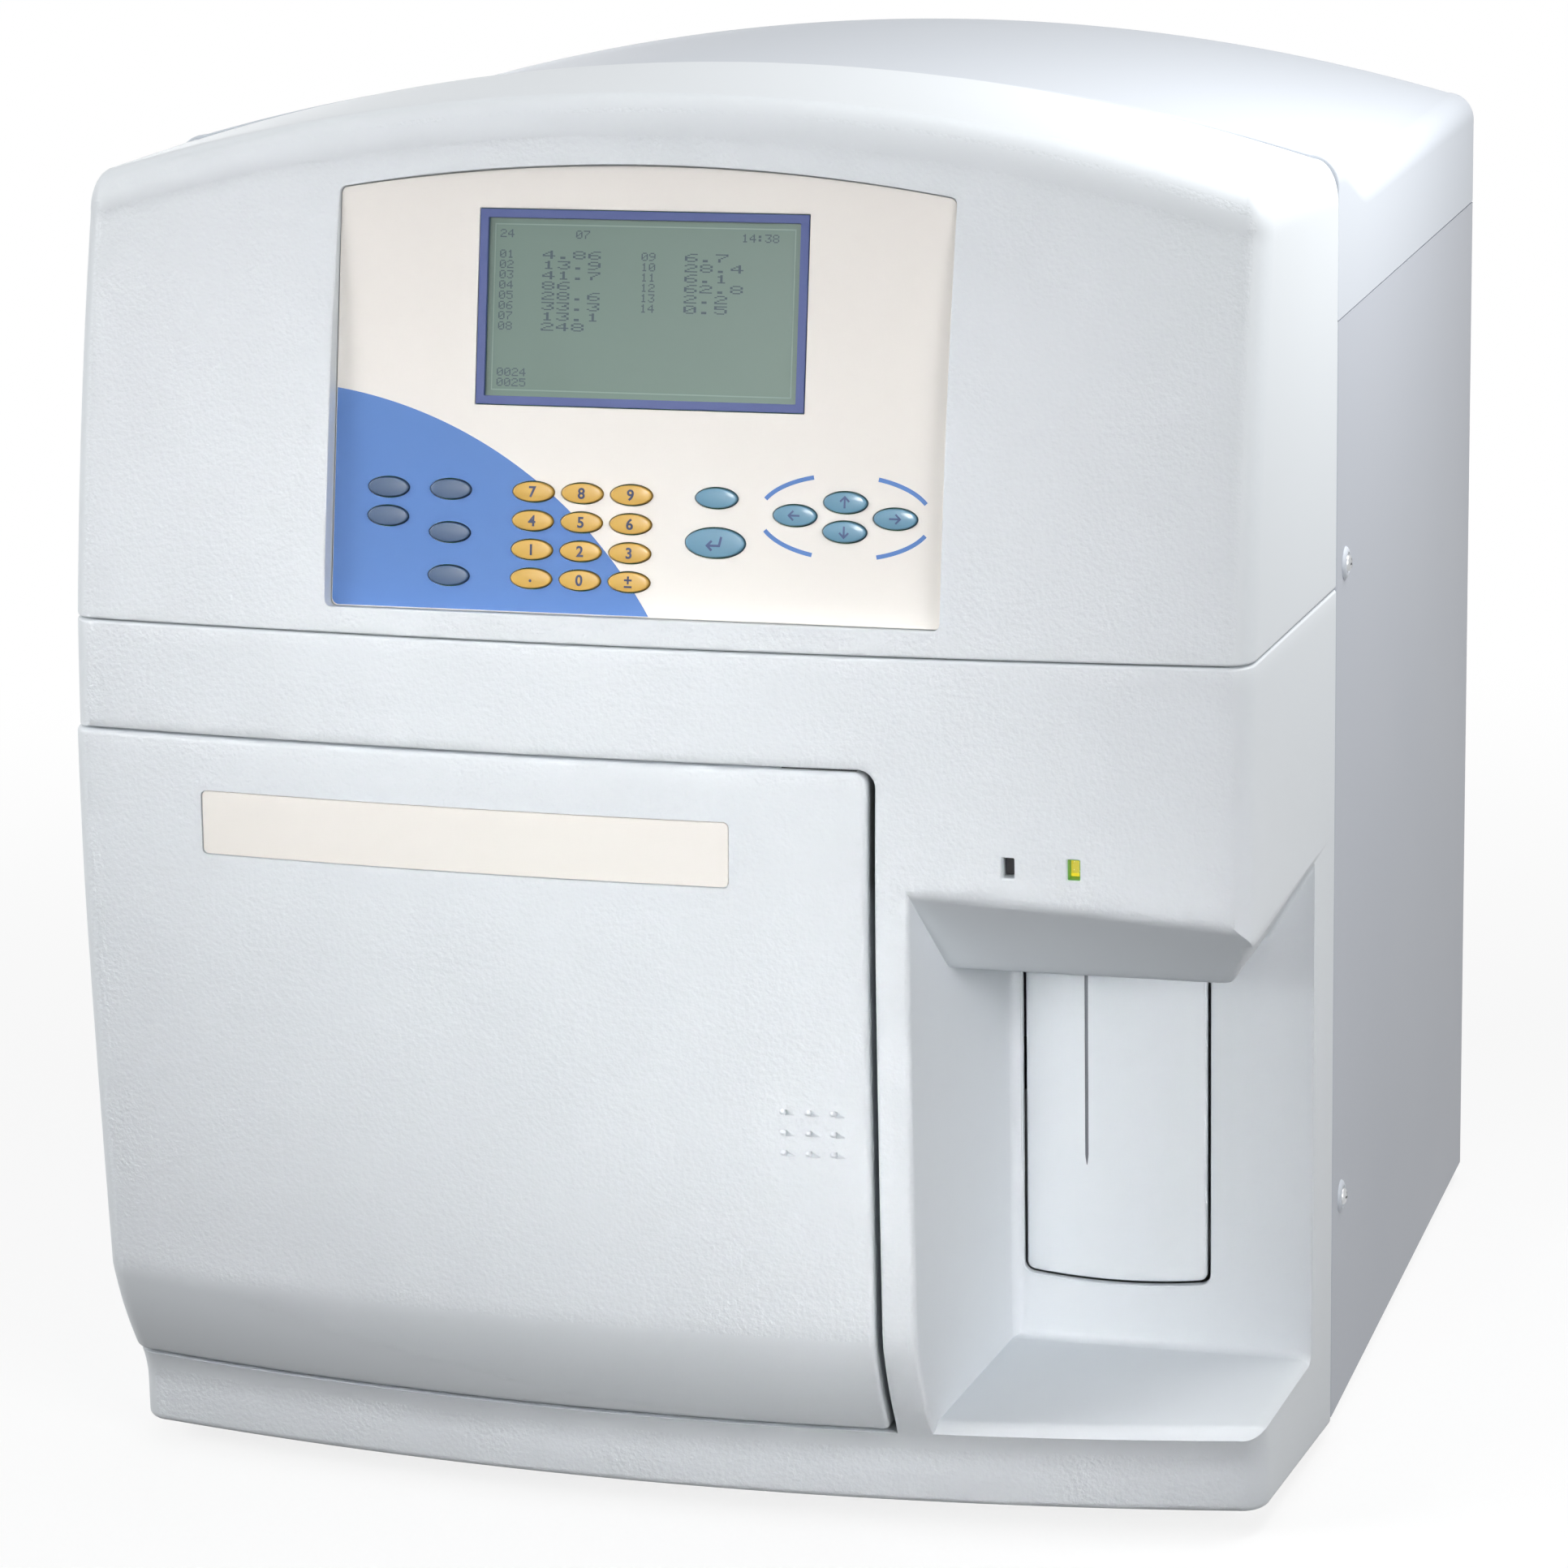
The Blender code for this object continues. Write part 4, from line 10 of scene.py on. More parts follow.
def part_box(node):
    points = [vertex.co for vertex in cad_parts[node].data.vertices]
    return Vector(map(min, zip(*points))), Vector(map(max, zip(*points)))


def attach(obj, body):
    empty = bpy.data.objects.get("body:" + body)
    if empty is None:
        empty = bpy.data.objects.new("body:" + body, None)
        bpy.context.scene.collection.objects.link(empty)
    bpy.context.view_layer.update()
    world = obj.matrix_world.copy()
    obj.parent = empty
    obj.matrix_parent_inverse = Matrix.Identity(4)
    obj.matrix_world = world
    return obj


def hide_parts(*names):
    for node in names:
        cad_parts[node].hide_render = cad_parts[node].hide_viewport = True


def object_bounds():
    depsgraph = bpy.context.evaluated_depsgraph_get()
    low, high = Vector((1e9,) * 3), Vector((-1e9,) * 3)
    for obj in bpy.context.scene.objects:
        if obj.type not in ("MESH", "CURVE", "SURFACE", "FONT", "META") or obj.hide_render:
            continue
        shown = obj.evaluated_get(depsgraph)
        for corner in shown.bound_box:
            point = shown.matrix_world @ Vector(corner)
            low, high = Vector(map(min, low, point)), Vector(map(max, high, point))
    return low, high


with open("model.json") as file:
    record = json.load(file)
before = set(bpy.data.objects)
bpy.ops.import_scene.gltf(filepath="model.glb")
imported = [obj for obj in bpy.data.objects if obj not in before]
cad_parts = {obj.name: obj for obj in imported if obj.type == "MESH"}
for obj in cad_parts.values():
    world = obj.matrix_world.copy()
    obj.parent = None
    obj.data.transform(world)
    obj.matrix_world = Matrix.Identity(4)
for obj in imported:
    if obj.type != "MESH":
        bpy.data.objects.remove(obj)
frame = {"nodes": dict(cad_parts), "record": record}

MM = 0.001
CAD_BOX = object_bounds()


def mm(*sizes):
    return [size * MM for size in sizes]


def centre(name):
    return [(low + high) / 2 for low, high in zip(*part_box(name))]


# Places and heights read from the frame
HALF_WIDTH, REAR_Y, HEIGHT = CAD_BOX[1]
FRONT_Y = CAD_BOX[0].y
SEAM_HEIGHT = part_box("upper_front_cover")[0].z
COVER_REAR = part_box("upper_front_cover")[1].y
PLINTH_LOW, LOWER_TOP = [corner.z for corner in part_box("lower_front_cover")]
_, HOOD_FRONT, HOOD_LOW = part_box("rear_hood")[0]
DOOR_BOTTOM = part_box("front_door")[0].z
DOOR_RIGHT, _, DOOR_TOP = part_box("front_door")[1]
LABEL_LOW, LABEL_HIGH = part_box("door_label_plate")
BAY_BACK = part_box("start_bar")[0].y
BAR_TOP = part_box("start_bar")[1].z
SHEET_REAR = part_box("back_panel")[1].y
NEEDLE_X, NEEDLE_Y, _ = centre("sampling_needle")
NEEDLE_TIP, NEEDLE_HIGH = [corner.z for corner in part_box("sampling_needle")]

# Walls and gaps
COVER_GAP, SEAT_GAP, DOOR_GAP, WALL = mm(0.6, 0.3, 1.0, 3.0)
OVERRUN, FAR_OVERRUN = mm(2.0, 40)

# Front face: an arc seen from the side, bowed in plan, tucked back under the crease
FRONT_TAPER, BULGE_DROP, FACE_RADIUS, LOWER_FACE_RADIUS = mm(5.3, 87.5, 952, 5000)
TUCK_HEIGHT, TUCK_DEPTH = mm(40, 18.9)
TUCK_START_SHARE = 0.6
BOW_INSET, SEAM_BOW, DOOR_FOOT_BOW = mm(7.0, 9.8, 24.7)
FRONT_HALF_WIDTH = HALF_WIDTH - FRONT_TAPER
BOW_HALF_WIDTH = HALF_WIDTH - BOW_INSET
BULGE_HEIGHT = DOOR_TOP - BULGE_DROP
CREASE_HEIGHT = DOOR_BOTTOM + TUCK_HEIGHT

# Rounding of the covers' edges, and the bevels of small pieces
EDGE_ACROSS, EDGE_DEPTH, EDGE_RISE, SEAM_ROUND = mm(9.0, 12.0, 16.0, 1.1)
COVER_BEVEL, PLATE_BEVEL, LABEL_BEVEL, SMALL_BEVEL = mm(0.5, 0.25, 0.2, 0.15)
RATING_BEVEL, CATCH_BEVEL = mm(0.12, 0.1)

# Arched tops
COVER_ARCH_RISE, HOOD_DROP, HOOD_ARCH_RISE, HOOD_SLOPE = mm(32.4, 17, 31.3, 67.2)
HOOD_EDGE, HOOD_STEP, HOOD_REAR_ROUND, FRONT_LIP = mm(11.0, 1.0, 5.0, 0.6)
COVER_SHOULDER = HEIGHT - COVER_ARCH_RISE
HOOD_APEX = HEIGHT - HOOD_DROP
HOOD_SHOULDER = HOOD_APEX - HOOD_ARCH_RISE

# Plinth and column
DECK_HEIGHT = DOOR_BOTTOM - 1.2 * MM
DECK_BOTTOM = DECK_HEIGHT - 5.3 * MM
PLINTH_COVE, PLINTH_COVE_HEIGHT, PLINTH_LIFT, PLINTH_ROUND = mm(5.3, 16, 6.3, 3.0)
COLUMN_LEFT = DOOR_RIGHT + 3.0 * MM
LINTEL_BOTTOM = DOOR_TOP + DOOR_GAP
LINTEL_TOP = LINTEL_BOTTOM + WALL

# Sampling bay; its stations are shares of its depth, with the rings between them
BAY_LEFT_FRONT = HALF_WIDTH - 123.5 * MM
BAY_LEFT_BACK = HALF_WIDTH - 114 * MM
BAY_CEILING = DOOR_TOP - 81.5 * MM
BAY_LIP_Y = FRONT_Y + 48.5 * MM
BAY_LIP_RIGHT = HALF_WIDTH - 18 * MM
BAY_LIP_BAND, BAY_LIP_END = mm(8, 12)
BAY_FLOOR_BACK = DECK_HEIGHT + 5.6 * MM
BAY_FLOOR_FALL, BAY_FLOOR_EDGE, BAY_FRONT_RISE, BAY_SIDE_RISE = mm(2.0, 3.8, 34, 31)
BAY_WALL, BAY_EDGE_ROUND, BAY_FILLET, BAY_FILLET_RISE = mm(3.0, 3.0, 5.5, 3.0)
BAY_LIP_SOFTNESS, BAY_FLOOR_SOFTNESS, BAY_SIDE_ROUND, BAY_SIDE_FALL = mm(1.2, 0.5, 7.0, 4.5)
BAY_COLUMN_ROUND_SHARE, BAY_FLARE_SHARE = 0.6, 0.83
BAY_FRONT_SLOPE = BAY_FRONT_RISE / (BAY_LIP_Y - FRONT_Y - SEAM_BOW)
BAY_SIDE_SLOPE = BAY_SIDE_RISE / (HALF_WIDTH - BAY_LIP_RIGHT)
BAY_STATIONS = ((0, 0.08, 6), (0.08, 0.22, 4), (0.22, 0.42, 14), (0.42, 1, 6))

# Door, hinge and finger drops
DOOR_RETURN_REAR = FRONT_Y + 72.5 * MM
DOOR_PAN_REAR = FRONT_Y + 32.5 * MM
DOOR_SWING_GAP, DOOR_PROUD, DOOR_ROUND, DOOR_CORNER = mm(2.8, 1.2, 2.0, 5.0)
OPENING_CORNER, OPENING_ROUND = mm(6.5, 1.0)
HINGE_X = 7.7 * MM - FRONT_HALF_WIDTH
HINGE_Y = FRONT_Y + 52.5 * MM
PIN_RADIUS, PIN_CLEARANCE = mm(2.0, 0.3)
LABEL_SUNK, LABEL_THICKNESS, LABEL_CORNER = mm(0.4, 1.2, 2.0)
GRAIN_BAND = 0.6 * MM
FOOT_GRAIN_Y = FRONT_Y + 50 * MM
PIP_INSET, PIP_DROP, PIP_PITCH_X, PIP_PITCH_Z = mm(31.2, 138.3, 9.1, 7.6)
PIP_RADIUS, PIP_TAIL, PIP_TAIL_DROP = mm(1.1, 3.4, 0.9)
PIP_HEIGHT, PIP_PROUD, PIP_DEPTH = mm(2.6, 0.9, 2.0)
PIP_PROFILE = ((1, -0.5), (1, 0), (0.8, 0.3), (0.55, 0.62), (0.3, 0.86), (0.1, 0.98), (0.02, 1))

# Start bar, its slot and the needle
BAR_LEFT = BAY_LEFT_BACK + 5.0 * MM
BAR_RIGHT = BAR_LEFT + 68 * MM
BAR_BOTTOM = DECK_HEIGHT + 32.7 * MM
BAR_SAG, BAR_GAP, BAR_THICKNESS, BAR_CORNER, BAR_EDGE = mm(2.0, 1.5, 3.0, 3.0, 1.0)
BAR_ROD_RADIUS, BAR_ROD_SETBACK, BAR_ROD_DROP, BAR_ROD_END = mm(2.0, 9.5, 4.0, 5.0)
BAR_ARM_WIDTH, BAR_ARM_INSET, SLOT_ROUND = mm(5.0, 6.0, 0.6)
NEEDLE_RADIUS, NEEDLE_SHANK_RADIUS, NEEDLE_BEVEL = mm(0.6, 1.3, 4.0)
NEEDLE_SHANK = BAY_CEILING + 6.0 * MM
NEEDLE_HOLE, NEEDLE_HOLE_MOUTH, NEEDLE_HOLE_STEP = mm(3.0, 4.2, 1.2)

# Status windows above the bay; the flare is depth and growth of the opening
WINDOW_WIDTH, WINDOW_HEIGHT, WINDOW_CORNER = mm(4.5, 7.4, 0.5)
WINDOW_X = HALF_WIDTH - 88.2 * MM
WINDOW_XS = (WINDOW_X, WINDOW_X + 22.8 * MM)
WINDOW_Z = BAY_CEILING + BAY_FRONT_RISE + 16 * MM
WINDOW_FLARE = ((-OVERRUN, 0.7 * MM), (0, 0.45 * MM), (0.45 * MM, 0), (WALL + OVERRUN, 0))
SLEEVE_WALL, LINER_WALL, LINER_SUNK, LENS_DEPTH, LENS_BAR = mm(0.9, 0.25, 0.6, 5.0, 1.2)

# Side screws with cup washers (shares of radius and rise), and the black catch strip above the door, which
# also paints the shade of its slot
SCREW_Y = COVER_REAR + 18.7 * MM
SCREW_HEIGHTS = mm(90.4, 333.7)
SCREW_RADIUS, SCREW_RISE, CROSS_LENGTH, CROSS_WIDTH, CROSS_DEPTH = mm(3.3, 1.9, 1.9, 0.8, 1.1)
WASHER_RADIUS, WASHER_RISE, WASHER_EDGE = mm(6.2, 1.3, 0.15)
WASHER_CUP = ((0.93, 0.55), (0.8, 0.92), (0.68, 1), (0.55, 0.5))
CATCH_LEFT = DOOR_RIGHT - 31 * MM
CATCH_WIDTH, CATCH_LIFT, CATCH_LAP = mm(27, 0.15, 0.2)

# Rear: button heads, the fan's wire guard and a bare rating plate
BUTTON_RADIUS, BUTTON_RISE, BUTTON_EDGE, BUTTON_SUNK, BUTTON_SKIRT = mm(3.0, 1.7, 0.3, 0.5, 0.4)
SOCKET_RADIUS, SOCKET_FLOOR, SOCKET_CENTRE = mm(1.2, 0.5, 0.4)
REAR_HEIGHTS = mm(20, 150, 285, 412)
REAR_INSET, REAR_LOW_X, REAR_HIGH_X = mm(14, 60, 75)
GUARD_RADII = mm(11, 19, 27, 35, 41)
GUARD_WIRE, GUARD_EYE, GUARD_STAND = mm(0.85, 35.7, 2.6)
WIRE_SIDES = 10
RATING_LEFT, RATING_WIDTH, RATING_LOW, RATING_HEIGHT = mm(-110, 62, 58, 34)
RATING_CORNER, RATING_SUNK, RATING_PROUD = mm(2.0, 0.1, 0.4)
QUADRANTS = [(across, up) for across in (-1, 1) for up in (-1, 1)]

# Reagent bottles and feet
BOTTLE_SQUARENESS = 6
BOTTLE_FOOT_ROUND, BOTTLE_SHOULDER_RISE, BOTTLE_NECK_HEIGHT, BOTTLE_NECK_RADIUS = mm(3.0, 16, 6.0, 13)
CAP_RADIUS, CAP_HEIGHT, CAP_RIB, CAP_ROUND = mm(17, 18, 0.5, 2.0)
CAP_STEM_RADIUS, CAP_STEM_HEIGHT, CAP_STEM_BARB, CAP_STEM_END = mm(4.0, 10, 3.0, 2.6)
FOOT_EDGE = 0.3 * MM
CAP_RIBS = 40

# Keys: columns and rows as shares of the panel's width and of the row pitch
KEY_HEIGHT = 6.9 * MM
KEY_PITCH_V = KEY_HEIGHT + 3.27 * MM
KEY_FOOT_V, KEY_LAND_U, ARROW_LAND_U, ARROW_HEIGHT, ENTER_EXTRA = mm(12.19, 3.2, 2.8, 7.2, 3.3)
KEY_PROUD, KEY_DEPTH, KEY_CLEARANCE, DIGIT_HEIGHT, PRINT = mm(1.3, 3.5, 0.45, 3.9, 0.06)
KEY_PITCH_SHARE, NUMBER_COLUMN_SHARE = 0.0803, -0.1673
FUNCTION_COLUMN_SHARE, FUNCTION_PITCH_SHARE = -0.4077, 0.1035
ESCAPE_COLUMN_SHARE, ARROW_COLUMN_SHARE, ENTER_ROW_SHARE = 0.132, 0.3394, 1.534
FUNCTION_PLACES = ((0, 0), (1, 0), (0, 1), (1, 1.5), (1, 3))
CAP_CROWN = ((0.7, 0.93), (0.5, 0.97), (0.25, 0.99), (0.05, 1))

# Signs as lines, in shares of a digit's height
SIGN_LINES = {
    "sign": (((-0.36, 0.18), (0.36, 0.18)), ((0, -0.18), (0, 0.54)), ((-0.36, -0.42), (0.36, -0.42))),
    "return": (((0.5, 0.45), (0.35, -0.2), (-0.5, -0.2)), ((-0.2, 0.15), (-0.55, -0.2), (-0.2, -0.55))),
}
ARROW_LINES = (((-0.5, 0), (0.46, 0)), ((0.08, 0.42), (0.5, 0), (0.08, -0.42)))
ARROW_TURNS = {"right": 0, "up": pi / 2, "left": pi, "down": -pi / 2}

# Printed field and arcs on the keypad plate
FIELD_TOP_SHARE, FIELD_FOOT_SHARE = 0.525, 0.066
FIELD_MIDDLE_SHARE, FIELD_MIDDLE_RISE_SHARE = -0.387, 0.347
PLATE_RIM, ARC_HALF_WIDTH, ARC_HALF_HEIGHT, ARC_LINE = mm(0.4, 31, 14.5, 1.5)
ARC_START, ARC_END = 22, 68

# Display
DISPLAY_WIDTH, DISPLAY_BORDER, DISPLAY_GLASS, DISPLAY_PROUD, GLASS_CORNER = mm(119.9, 3.0, 2.6, 0.2, 0.4)
DOT_PITCH, DOT_RISE, LINE_PITCH, DOT_MARGIN, RIM_LINE = mm(0.465, 0.41, 3.6, 4.0, 0.4)
DOT_SHARE = 0.97
FIRST_READINGS = ("4.86", "13.9", "41.7", "86", "28.6", "33.3", "13.1", "248")
SECOND_READINGS = ("6.7", "28.4", "6.1", "62.8", "2.2", "0.5")
DIGIT_ROWS = {
    "0": ("01110", "10001", "10011", "10101", "11001", "10001", "01110"),
    "1": ("00100", "01100", "00100", "00100", "00100", "00100", "01110"),
    "2": ("01110", "10001", "00001", "00110", "01000", "10000", "11111"),
    "3": ("11111", "00001", "00010", "00110", "00001", "10001", "01110"),
    "4": ("00010", "00110", "01010", "10010", "11111", "00010", "00010"),
    "5": ("11111", "10000", "11110", "00001", "00001", "10001", "01110"),
    "6": ("00111", "01000", "10000", "11110", "10001", "10001", "01110"),
    "7": ("11111", "00001", "00010", "00100", "01000", "01000", "01000"),
    "8": ("01110", "10001", "10001", "01110", "10001", "10001", "01110"),
    "9": ("01110", "10001", "10001", "01111", "00001", "00010", "11100"),
    ".": ("00000", "00000", "00000", "00000", "00000", "01100", "01100"),
    ":": ("00000", "01100", "01100", "00000", "01100", "01100", "00000"),
}

# Folded sheet
SHEET, SIDE_RETURN = mm(1.5, 12)

# Control panel: a plane that leans back from a foot above the seam
PANEL_CENTRE_X, PANEL_WIDTH, PANEL_CORNER, PANEL_THICKNESS = mm(-3.6, 224.2, 2.5, 1.5)
PANEL_BACKING, PANEL_FRAME, PANEL_LEDGE = mm(2.5, 4.0, 8.0)
PANEL_TILT = radians(10.48)
PANEL_FOOT_Y = FRONT_Y + 18.6 * MM
PANEL_FOOT_Z = SEAM_HEIGHT + 8.6 * MM
PANEL_CORNER_HEIGHT = (COVER_SHOULDER - PANEL_FOOT_Z) / cos(PANEL_TILT) - 1.6 * MM
PANEL_APEX_HEIGHT = PANEL_CORNER_HEIGHT + 9.4 * MM
DISPLAY_TOP = PANEL_CORNER_HEIGHT - 6.35 * MM
DISPLAY_BOTTOM = KEY_FOOT_V + 3 * KEY_PITCH_V + KEY_HEIGHT / 2 + 26.9 * MM
PANEL_PLANE = (Matrix.Translation((PANEL_CENTRE_X, PANEL_FOOT_Y, PANEL_FOOT_Z))
               @ Matrix.Rotation(pi / 2 - PANEL_TILT, 4, "X"))


# Shapes: a pair of points and faces

def joined(*shapes):
    """Several shapes as one."""
    points, faces = [], []
    for more_points, more_faces in shapes:
        base = len(points)
        points.extend(more_points)
        faces.extend([tuple(base + index for index in face) for face in more_faces])
    return points, faces


def spread(low, high, count):
    return [low + (high - low) * step / count for step in range(count + 1)]


def quarter(count):
    """Turns of a quarter circle."""
    return spread(0, pi / 2, count)


def flipped(points):
    """The same points on the other side of the middle."""
    return [(-x, y, z) for x, y, z in points]


def sheet(lines, closed=False):
    """Faces between lines of equal count."""
    count = len(lines[0])
    faces = []
    for base in range(0, (len(lines) - 1) * count, count):
        for level in range(count if closed else count - 1):
            low, side = base + level, base + (level + 1) % count
            faces.append((low, side, side + count, low + count))
    return [point for line in lines for point in line], faces


def loft(rings):
    """Closed rings of equal count, one after another, with flat ends."""
    points, faces = sheet(rings, closed=True)
    count, total = len(rings[0]), len(points)
    return points, faces + [tuple(range(count)), tuple(range(total - count, total))]


def placed(outline, along, level):
    if along == "x":
        return [(level, a, b) for a, b in outline]
    if along == "y":
        return [(a, level, b) for a, b in outline]
    return [(a, b, level) for a, b in outline]


def prism(outline, along, low, high):
    return loft([placed(outline, along, low), placed(outline, along, high)])


def box(x_low, x_high, y_low, y_high, z_low, z_high):
    return prism([(x_low, y_low), (x_high, y_low), (x_high, y_high), (x_low, y_high)], "z", z_low, z_high)


def ellipse(a, b, half_a, half_b, sides, squareness=2.0):
    outline = []
    for step in range(sides):
        turn = 2 * pi * (step + 0.5) / sides
        across, up = [copysign(abs(part) ** (2 / squareness), part) for part in (cos(turn), sin(turn))]
        outline.append((a + half_a * across, b + half_b * up))
    return outline


def turned(a, b, along, profile, sides=32):
    """A turned solid from (radius, level) pairs, in order along the axis."""
    return loft([placed(ellipse(a, b, radius, radius, sides), along, level) for radius, level in profile])


def rounded(corners, arc=5):
    """A closed outline whose corners (a, b, radius) are rounded."""
    outline = []
    for index, (a, b, radius) in enumerate(corners):
        if radius <= 0:
            outline.append((a, b))
            continue
        here = Vector((a, b))
        before = (Vector(corners[index - 1][:2]) - here).normalized()
        after = (Vector(corners[(index + 1) % len(corners)][:2]) - here).normalized()
        half = before.angle(after) / 2
        reach = radius / tan(half)
        middle = here + (before + after).normalized() * (radius / sin(half))
        start = here + before * reach - middle
        end = here + after * reach - middle
        sweep = start.angle(end)
        for share in spread(0, 1, arc):
            mix = start * sin((1 - share) * sweep) + end * sin(share * sweep)
            outline.append(tuple(middle + mix / sin(sweep)))
    return outline


def rounded_box(a_low, a_high, b_low, b_high, radius, arc=6):
    corners = (a_low, b_low), (a_high, b_low), (a_high, b_high), (a_low, b_high)
    return rounded([(a, b, radius) for a, b in corners], arc)


def wire(points, radius, closed=False):
    """A round wire through points of one upright plane that faces the rear."""
    rings = []
    count = len(points)
    for index, point in enumerate(points):
        here = Vector(point)
        ahead = Vector(points[(index + 1) % count if closed else min(index + 1, count - 1)])
        behind = Vector(points[index - 1 if closed or index else 0])
        side = (ahead - behind).normalized().cross(Vector((0, 1, 0)))
        turns = [2 * pi * step / WIRE_SIDES for step in range(WIRE_SIDES)]
        rings.append([tuple(here + side * radius * cos(turn) + Vector((0, radius * sin(turn), 0)))
                      for turn in turns])
    return sheet(rings + rings[:1], closed=True) if closed else loft(rings)


def stroke(points, width, low, high):
    """A line of one width through points on the panel, as a thin raised strip."""
    left, right = [], []
    for index, point in enumerate(points):
        here = Vector(point)
        ahead = Vector(points[min(index + 1, len(points) - 1)]) - here
        behind = here - Vector(points[max(index - 1, 0)])
        ahead = ahead.normalized() if ahead.length > 0 else behind.normalized()
        behind = behind.normalized() if behind.length > 0 else ahead
        side = Vector((-(ahead + behind).y, (ahead + behind).x)).normalized()
        reach = width / 2 / max(side.dot(Vector((-ahead.y, ahead.x))), 0.4)
        left.append(tuple(here + side * reach))
        right.append(tuple(here - side * reach))
    return prism(left + right[::-1], "z", low, high)


# Objects

def add_object(name, data):
    made = bpy.data.objects.new(name, data)
    bpy.context.scene.collection.objects.link(made)
    return made


def make(name, shape):
    points, faces = shape
    mesh = bpy.data.meshes.new(name)
    mesh.from_pydata([tuple(point) for point in points], [], faces)
    model = bmesh.new()
    model.from_mesh(mesh)
    bmesh.ops.remove_doubles(model, verts=model.verts, dist=0.002 * MM)
    bmesh.ops.recalc_face_normals(model, faces=model.faces)
    model.to_mesh(mesh)
    model.free()
    return add_object(name, mesh)


def settle(target):
    """Apply the modifiers of an object to its mesh."""
    graph = bpy.context.evaluated_depsgraph_get()
    mesh = bpy.data.meshes.new_from_object(target.evaluated_get(graph))
    target.modifiers.clear()
    target.data = mesh


def carve(target, *tools, operation="DIFFERENCE"):
    """Exact Booleans with shapes or objects, which are then removed."""
    for tool in tools:
        if isinstance(tool, tuple):
            tool = make("tool", tool)
        change = target.modifiers.new("carve", "BOOLEAN")
        change.operation = operation
        change.solver = "EXACT"
        change.object = tool
        settle(target)
        bpy.data.objects.remove(tool, do_unlink=True)
    return target


def absorb(target, *others):
    """Take the meshes of other objects into the target's, and remove those objects."""
    model = bmesh.new()
    for source in (target, *others):
        model.from_mesh(source.data)
    model.to_mesh(target.data)
    model.free()
    for other in others:
        bpy.data.objects.remove(other, do_unlink=True)


def shade(target, degrees=35):
    target.data.shade_smooth()
    target.data.set_sharp_from_angle(angle=radians(degrees))
    return target


def smooth(name, shape, degrees=35):
    return shade(make(name, shape), degrees)


def soften(target, width):
    """Round the sharp edges and shade the piece smooth."""
    change = target.modifiers.new("soft_edges", "BEVEL")
    change.width = width
    change.segments = 2
    change.limit_method = "ANGLE"
    change.angle_limit = radians(30)
    change.use_clamp_overlap = False
    change.miter_outer = "MITER_ARC"
    settle(target)
    shade(target)
    flat = target.modifiers.new("flat_faces", "WEIGHTED_NORMAL")
    flat.keep_sharp = True
    settle(target)
    return target


# Laws of the front

def front_rise(z):
    above = z - BULGE_HEIGHT
    if above >= 0:
        return above * above / (2 * FACE_RADIUS)
    level = max(z, CREASE_HEIGHT)
    share = max(CREASE_HEIGHT - z, 0) / TUCK_HEIGHT
    tuck = TUCK_DEPTH * (TUCK_START_SHARE * share + (1 - TUCK_START_SHARE) * share * share)
    return (level - BULGE_HEIGHT) ** 2 / (2 * LOWER_FACE_RADIUS) + tuck


def face_y(x, z):
    share = max(SEAM_HEIGHT - z, 0) / (SEAM_HEIGHT - DOOR_BOTTOM)
    bow = SEAM_BOW + (DOOR_FOOT_BOW - SEAM_BOW) * share
    return FRONT_Y + front_rise(z) + bow * (x / BOW_HALF_WIDTH) ** 2


def arch(x, apex, shoulder, half_width):
    drop = apex - shoulder
    radius = (half_width * half_width + drop * drop) / (2 * drop)
    return apex - radius + sqrt(radius * radius - x * x)


def side_x(y):
    return FRONT_HALF_WIDTH + FRONT_TAPER * (y - FRONT_Y) / (COVER_REAR - FRONT_Y)


def plan_ring(z, inset, rear, extra=0, columns=80, corner=10):
    """The covers' outline at one height: along the left side, round the face and back."""
    across = EDGE_ACROSS - inset / 2
    deep = EDGE_DEPTH - inset / 2
    core = FRONT_HALF_WIDTH + extra - inset - across
    share = min((rear - FRONT_Y) / (COVER_REAR - FRONT_Y), 1)
    rear_half = FRONT_HALF_WIDTH + FRONT_TAPER * share + extra - inset
    side = [(core + across * sin(turn), face_y(core, z) + inset + deep * (1 - cos(turn)), z)
            for turn in quarter(corner)[1:]] + [(rear_half, rear, z)]
    front = [(x, face_y(x, z) + inset, z) for x in spread(-core, core, columns)]
    return flipped(side[::-1]) + front + side


def round_levels(edge, radius, count, down=False):
    """Heights and insets of a quarter round that ends at an edge."""
    sign = 1 if down else -1
    pairs = [(edge + sign * radius * (1 - sin(turn)), radius * (1 - cos(turn))) for turn in quarter(count)]
    return pairs[::-1] if down else pairs


# Upper front cover

